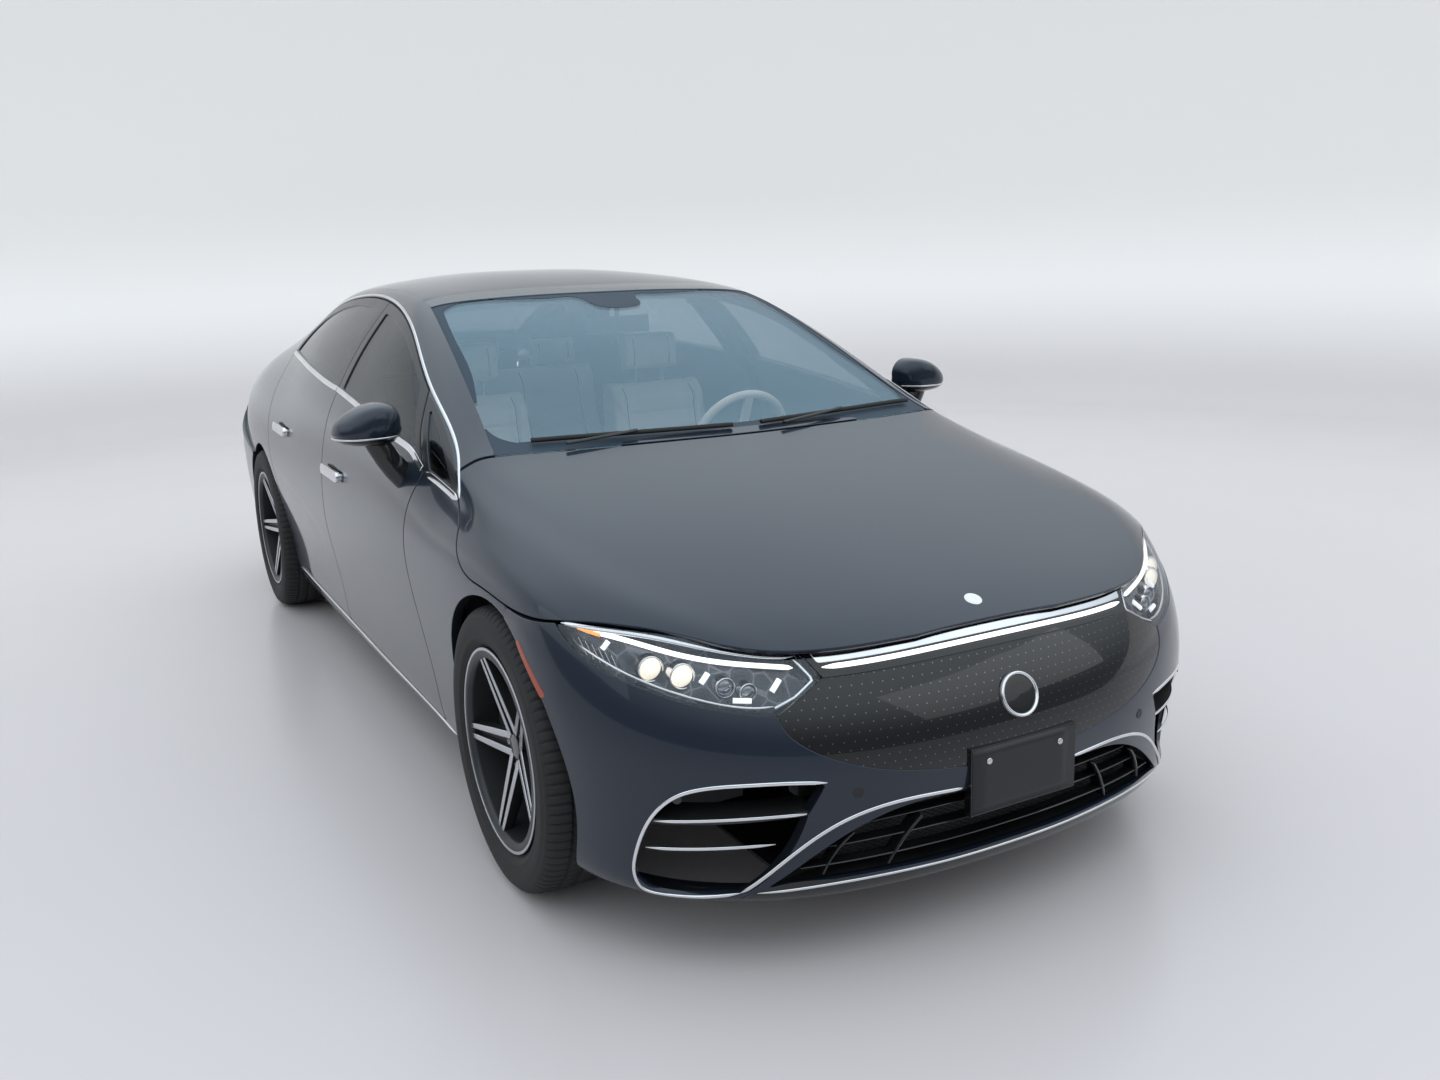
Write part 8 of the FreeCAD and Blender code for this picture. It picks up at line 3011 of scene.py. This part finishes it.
@dataclass
class Tail:
    """Rear lamps, light bar, plate, reflectors, sensors, diffuser and bright strips."""

    def lamps(self) -> None:
        """Red covers with lit curls, and the lit line between them."""
        lamp = Area([Outline(View.FRONT, TAIL_LAMP)], [Outline(View.SIDE, QUARTER_REGION)])
        cover = trimmed(TAIL, lamp.grown(-1.4), (0.0, 0.5), (0.0, 1.0), 0.008, 0.0004)
        if cover.points[:, 0].mean() < 0:
            cover = cover.mirrored()
        both_sides("tail_cover", cover.hemmed(((0.5, 0.3), (0.8, 1.0), (0.8, 4.0))), RED_COVER, Body.CAR)
        bar = trimmed(TAIL, Area([Outline(View.FRONT, TAIL_BAR)]).grown(-1.4), (0.0, 1.0), (0.0, 1.0), 0.010,
                      0.0004)
        piece("tail_bar_cover", bar.hemmed(((0.5, 0.3), (0.8, 1.0), (0.8, 4.0))), RED_COVER, Body.HATCH.value)
        line = [(-586, 903), (-300, 904), (0, 904), (300, 904), (586, 903)]
        piece("tail_bar_light", strip(TAIL, View.FRONT, line, 0.010, 0.0016, 0.0010), RED_LIGHT,
              Body.HATCH.value)
        curls = [strip(TAIL, View.FRONT, [(660 + 58 * k, 884 + 2 * k), (684 + 58 * k, 914 + 3 * k),
                                          (712 + 58 * k, 890 + 3 * k)], 0.007, 0.0016, 0.0010, ends=0.01)
                 for k in range(3)]
        both_sides("tail_curls", curls[0].joined(*curls[1:]), RED_LIGHT, Body.CAR)
        chrome = [(-606, 946), (-300, 948), (0, 948), (300, 948), (606, 946)]
        piece("tail_bright_strip", strip(TAIL, View.FRONT, chrome, 0.007, 0.003, 0.0014, ends=0.02), CHROME,
              Body.HATCH.value)

    def lower(self) -> None:
        """Black diffuser with its fins, bright strip, reflectors and parking sensors."""
        low = Outline(View.FRONT, [[(-900, 120), (900, 120)], [(900, 120), (900, 250)],
                                   [(900, 250), (700, 292), (400, 306), (0, 308), (-400, 306), (-700, 292),
                                    (-900, 250)], [(-900, 250), (-900, 120)]])
        area = Area([low, Band(1, 2.05, 9.0)])
        skin = trimmed(TAIL, area, (0.0, 1.0), (0.0, 0.6), 0.014, 0.0019).hemmed(((0.4, 0.3), (0.5, 1.0)))
        piece("diffuser", skin, GLOSS, Body.CAR.value)
        fins = []
        for x in (-420, -250, -84, 84, 250, 420):
            path, normal = TAIL.spots(View.FRONT, dense([(x, 186), (x, 230), (x * 0.98, 280)]), -0.004)
            fins.append(swept(path, oval(0.008, 0.020), normal))
        piece("diffuser_fins", fins[0].joined(*fins[1:]), BLACK, Body.CAR.value)
        line = [(-880, 262), (-700, 300), (-400, 315), (0, 317), (400, 315), (700, 300), (880, 262)]
        piece("diffuser_bright_strip", strip(TAIL, View.FRONT, line, 0.008, 0.0035, 0.0012, ends=0.05),
              CHROME, Body.CAR.value)
        shine = strip(TAIL, View.FRONT, [(640, 352), (730, 350), (810, 344)], 0.018, 0.0030, 0.0012,
                      ends=0.01)
        both_sides("rear_reflector", shine, RED_COVER, Body.CAR)
        for name, spot in (("outer", (700, 470)), ("inner", (330, 470))):
            point, normal = TAIL.spots(View.FRONT, [spot], 0.0)
            eye = spun(np.array([(0.0, 0.0125), (0.0022, 0.0120), (0.0026, 0.0105), (0.0020, 0.0095),
                                 (0.0022, 0.0002)]), point[0], seat_on(normal[0], (1, 0, 0)), 40)
            both_sides(f"rear_park_sensor_{name}", eye, BLACK, Body.CAR)

    def plate(self) -> None:
        """Blank rear plate and its bolts."""
        face = float(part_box("rear_plate_holder")[1][1])
        board = rounded_box((-0.152, face - 0.0006, 0.523), (0.152, face + 0.0016, 0.677), 0.0007, 4)
        piece("rear_plate", board, PLATE, Body.CAR.value)
        head = np.array([(0.0, 0.0078), (0.0020, 0.0076), (0.0034, 0.0060), (0.0038, 0.0002)])
        axes = np.array([(1, 0, 0), (0, 0, -1), (0, 1, 0)], float)
        studs = [spun(head, (x, face + 0.0016, 0.644), axes, 24) for x in (-0.105, 0.105)]
        piece("rear_plate_bolts", studs[0].joined(studs[1]), SATIN, Body.CAR.value)

    def build(self) -> None:
        """All its pieces."""
        self.lamps()
        self.lower()
        self.plate()


# Camera, light and floor

@dataclass
class Viewpoint:
    """The photograph's camera.

    Attributes:
        place: where it stands.
        azimuth: turn about the vertical in degrees, 0 looking along +Y.
        elevation: how far it looks down in degrees.
        roll: turn about its own axis in degrees.
        focal: focal length in pixels of a picture 1440 wide.
        centre: the optical axis in pixels of a picture 1440 x 1080.
    """

    place: tuple[float, float, float] = (-1.8512, -4.6263, 1.5845)
    azimuth: float = -29.383
    elevation: float = 13.095
    roll: float = -1.6436
    focal: float = 1256.69
    centre: tuple[float, float] = (744.36, 539.77)

    def build(self) -> None:
        """Create the camera and make it the scene's."""
        a, e, r = (math.radians(v) for v in (self.azimuth, self.elevation, self.roll))
        ahead = np.array([-math.sin(a) * math.cos(e), math.cos(a) * math.cos(e), -math.sin(e)])
        right = np.cross(ahead, [0.0, 0.0, 1.0])
        right /= np.linalg.norm(right)
        up = np.cross(right, ahead)
        right, up = math.cos(r) * right + math.sin(r) * up, -math.sin(r) * right + math.cos(r) * up
        data = bpy.data.cameras.new("camera")
        data.sensor_width = 36.0
        data.lens = self.focal / 1440.0 * 36.0
        data.shift_x = -(self.centre[0] - 720.0) / 1440.0
        data.shift_y = (self.centre[1] - 540.0) / 1440.0
        data.clip_end = 200.0
        camera = bpy.data.objects.new("camera", data)
        bpy.context.scene.collection.objects.link(camera)
        turn = Matrix(np.stack([right, up, -ahead], 1).tolist()).to_4x4()
        camera.matrix_world = Matrix.Translation(self.place) @ turn
        bpy.context.scene.camera = camera


@dataclass
class Studio:
    """Pale floor that sweeps up into a wall, large soft lamps and an even surrounding light.

    Attributes:
        reach: radius of the floor in metres.
        height: height of the wall.
        radius: radius of the sweep between floor and wall.
        horizon: strength of the surrounding light near the horizon.
        zenith: its strength overhead.
        glow: light that the wall gives by itself.
    """

    reach: float = 10.5
    height: float = 5.5
    radius: float = 2.2
    horizon: float = 0.28
    zenith: float = 1.42
    glow: float = 0.17

    def backdrop(self) -> bpy.types.Object:
        """Floor and wall as one sheet turned about the middle: a flat run, a quarter circle and a rise.

        The rise stands only behind the car: its height is multiplied by a smooth step of the angle from the
        camera's view.

        Returns:
            The backdrop.
        """
        bend = np.linspace(0.0, 0.5 * math.pi, 14)[1:]
        foot = self.reach - self.radius
        run = np.concatenate([[0.01], np.linspace(0.8, foot, 12), foot + self.radius * np.sin(bend),
                              [self.reach]])
        rise = np.concatenate([np.zeros(13), self.radius * (1 - np.cos(bend)), [self.height]])
        angle = np.linspace(-math.pi, math.pi, 121)[:-1]
        share = np.clip((math.radians(110) - np.abs(angle - math.radians(25))) / math.radians(35), 0, 1)
        share = share * share * (3 - 2 * share)
        points = np.stack([run[:, None] * np.sin(angle), run[:, None] * np.cos(angle), rise[:, None] * share],
                          -1)
        sheet = grid_sheet(points, wrap_columns=True)
        sheet = sheet if sheet.normals[0, 2] > 0 else sheet.turned_over()
        mesh = bpy.data.meshes.new("floor")
        mesh.from_pydata(sheet.points.tolist(), [], sheet.faces[0].tolist() + [list(range(120))])
        mesh.polygons.foreach_set("use_smooth", np.ones(len(mesh.polygons), bool))
        floor = bpy.data.objects.new("floor", mesh)
        bpy.context.scene.collection.objects.link(floor)
        floor.location.z = -0.0005
        g = Graph("studio_floor")
        broad = g.noise(0.6, 3.0)
        _, _, z = g.axes()
        ground = g.mix(broad, (0.63, 0.585, 0.585), (0.67, 0.625, 0.625))
        colour = g.mix(z.ramp(0.0, 1.2), ground, (0.84, 0.81, 0.79))
        dark = (0.0, 0.0, 0.0)
        floor.data.materials.append(g.finish(Base_Color=colour, Roughness=broad * 0.06 + 0.22,
                                             Specular_IOR_Level=0.5,
                                             Emission_Color=g.mix(z.ramp(0.0, 1.3), dark, (0.97, 0.99, 1.0)),
                                             Emission_Strength=self.glow))
        return floor

    def lamp(self, name: str, place: Sequence[float], aim: Sequence[float], size: Point2, power: float,
             colour: Colour = (1.0, 1.0, 1.0)) -> None:
        """A rectangular soft lamp.

        Args:
            name: name of the lamp.
            place: where it hangs.
            aim: the point that it faces.
            size: width and height in metres.
            power: in watts.
            colour: colour of its light.
        """
        data = bpy.data.lights.new(name, "AREA")
        data.shape, data.size, data.size_y = "RECTANGLE", *size
        data.energy, data.color = power, colour
        lamp = bpy.data.objects.new(name, data)
        bpy.context.scene.collection.objects.link(lamp)
        way = Matrix.Identity(3)
        toward = np.array(aim, float) - np.array(place, float)
        toward /= np.linalg.norm(toward)
        side = np.cross(toward, [0.0, 0.0, 1.0] if abs(toward[2]) < 0.99 else [0.0, 1.0, 0.0])
        side /= np.linalg.norm(side)
        way = Matrix(np.stack([side, np.cross(side, toward), -toward], 1).tolist()).to_4x4()
        lamp.matrix_world = Matrix.Translation(place) @ way

    def sky(self) -> None:
        """Surrounding light: dim near the horizon and bright overhead, from the height of each direction."""
        world = bpy.data.worlds.new("studio")
        bpy.context.scene.world = world
        world.use_nodes = True
        nodes, links = world.node_tree.nodes, world.node_tree.links
        back = nodes["Background"]
        place, split = nodes.new("ShaderNodeTexCoord"), nodes.new("ShaderNodeSeparateXYZ")
        rise = nodes.new("ShaderNodeMapRange")
        rise.interpolation_type = "SMOOTHSTEP"
        for name, value in (("From Min", 0.05), ("From Max", 0.80), ("To Min", self.horizon),
                            ("To Max", self.zenith)):
            rise.inputs[name].default_value = value
        links.new(place.outputs["Generated"], split.inputs["Vector"])
        links.new(split.outputs["Z"], rise.inputs["Value"])
        links.new(rise.outputs["Result"], back.inputs["Strength"])
        back.inputs["Color"].default_value = (0.84, 0.93, 1.0, 1.0)

    def build(self) -> None:
        """Floor, lamps and world."""
        floor = self.backdrop()
        self.lamp("front_left", (5.0, -8.0, 4.4), (0.3, -1.6, 0.6), (7.0, 4.0), 50.0)
        self.lamp("side_right", (-7.5, -0.5, 3.6), (-0.9, 0.2, 0.6), (8.0, 3.0), 35.0, (0.97, 0.98, 1.0))
        self.sky()
        bpy.context.scene.view_settings.view_transform = "Standard"


def node_slots(frame: dict) -> dict[str, str]:
    """Material slot of each CAD node, from the record's list of slots."""
    return {entry["node"]: entry["material_slot"] for entry in frame["record"]["subparts"]}


def main() -> None:
    """Dress the CAD frame and set up the picture."""
    logging.basicConfig(level=logging.INFO, format="%(name)s: %(message)s")
    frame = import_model()
    slots = node_slots(frame)
    for name, obj in frame["nodes"].items():
        finish = NODE_FINISH.get(slots.get(name, ""), BLACK)
        obj.data.materials.clear()
        obj.data.materials.append(material(finish))
    shell = Shell()
    shell.build()
    Glazing().build(shell.hood_clear())
    Lamps().build(shell)
    Nose().build()
    Trim().build()
    Mirrors().build()
    Wheels().build()
    Windscreen().build(shell.hood_clear())
    Tail().build()
    Cabin().build()
    Studio().build()
    Viewpoint().build()


if __name__ == "__main__":
    main()
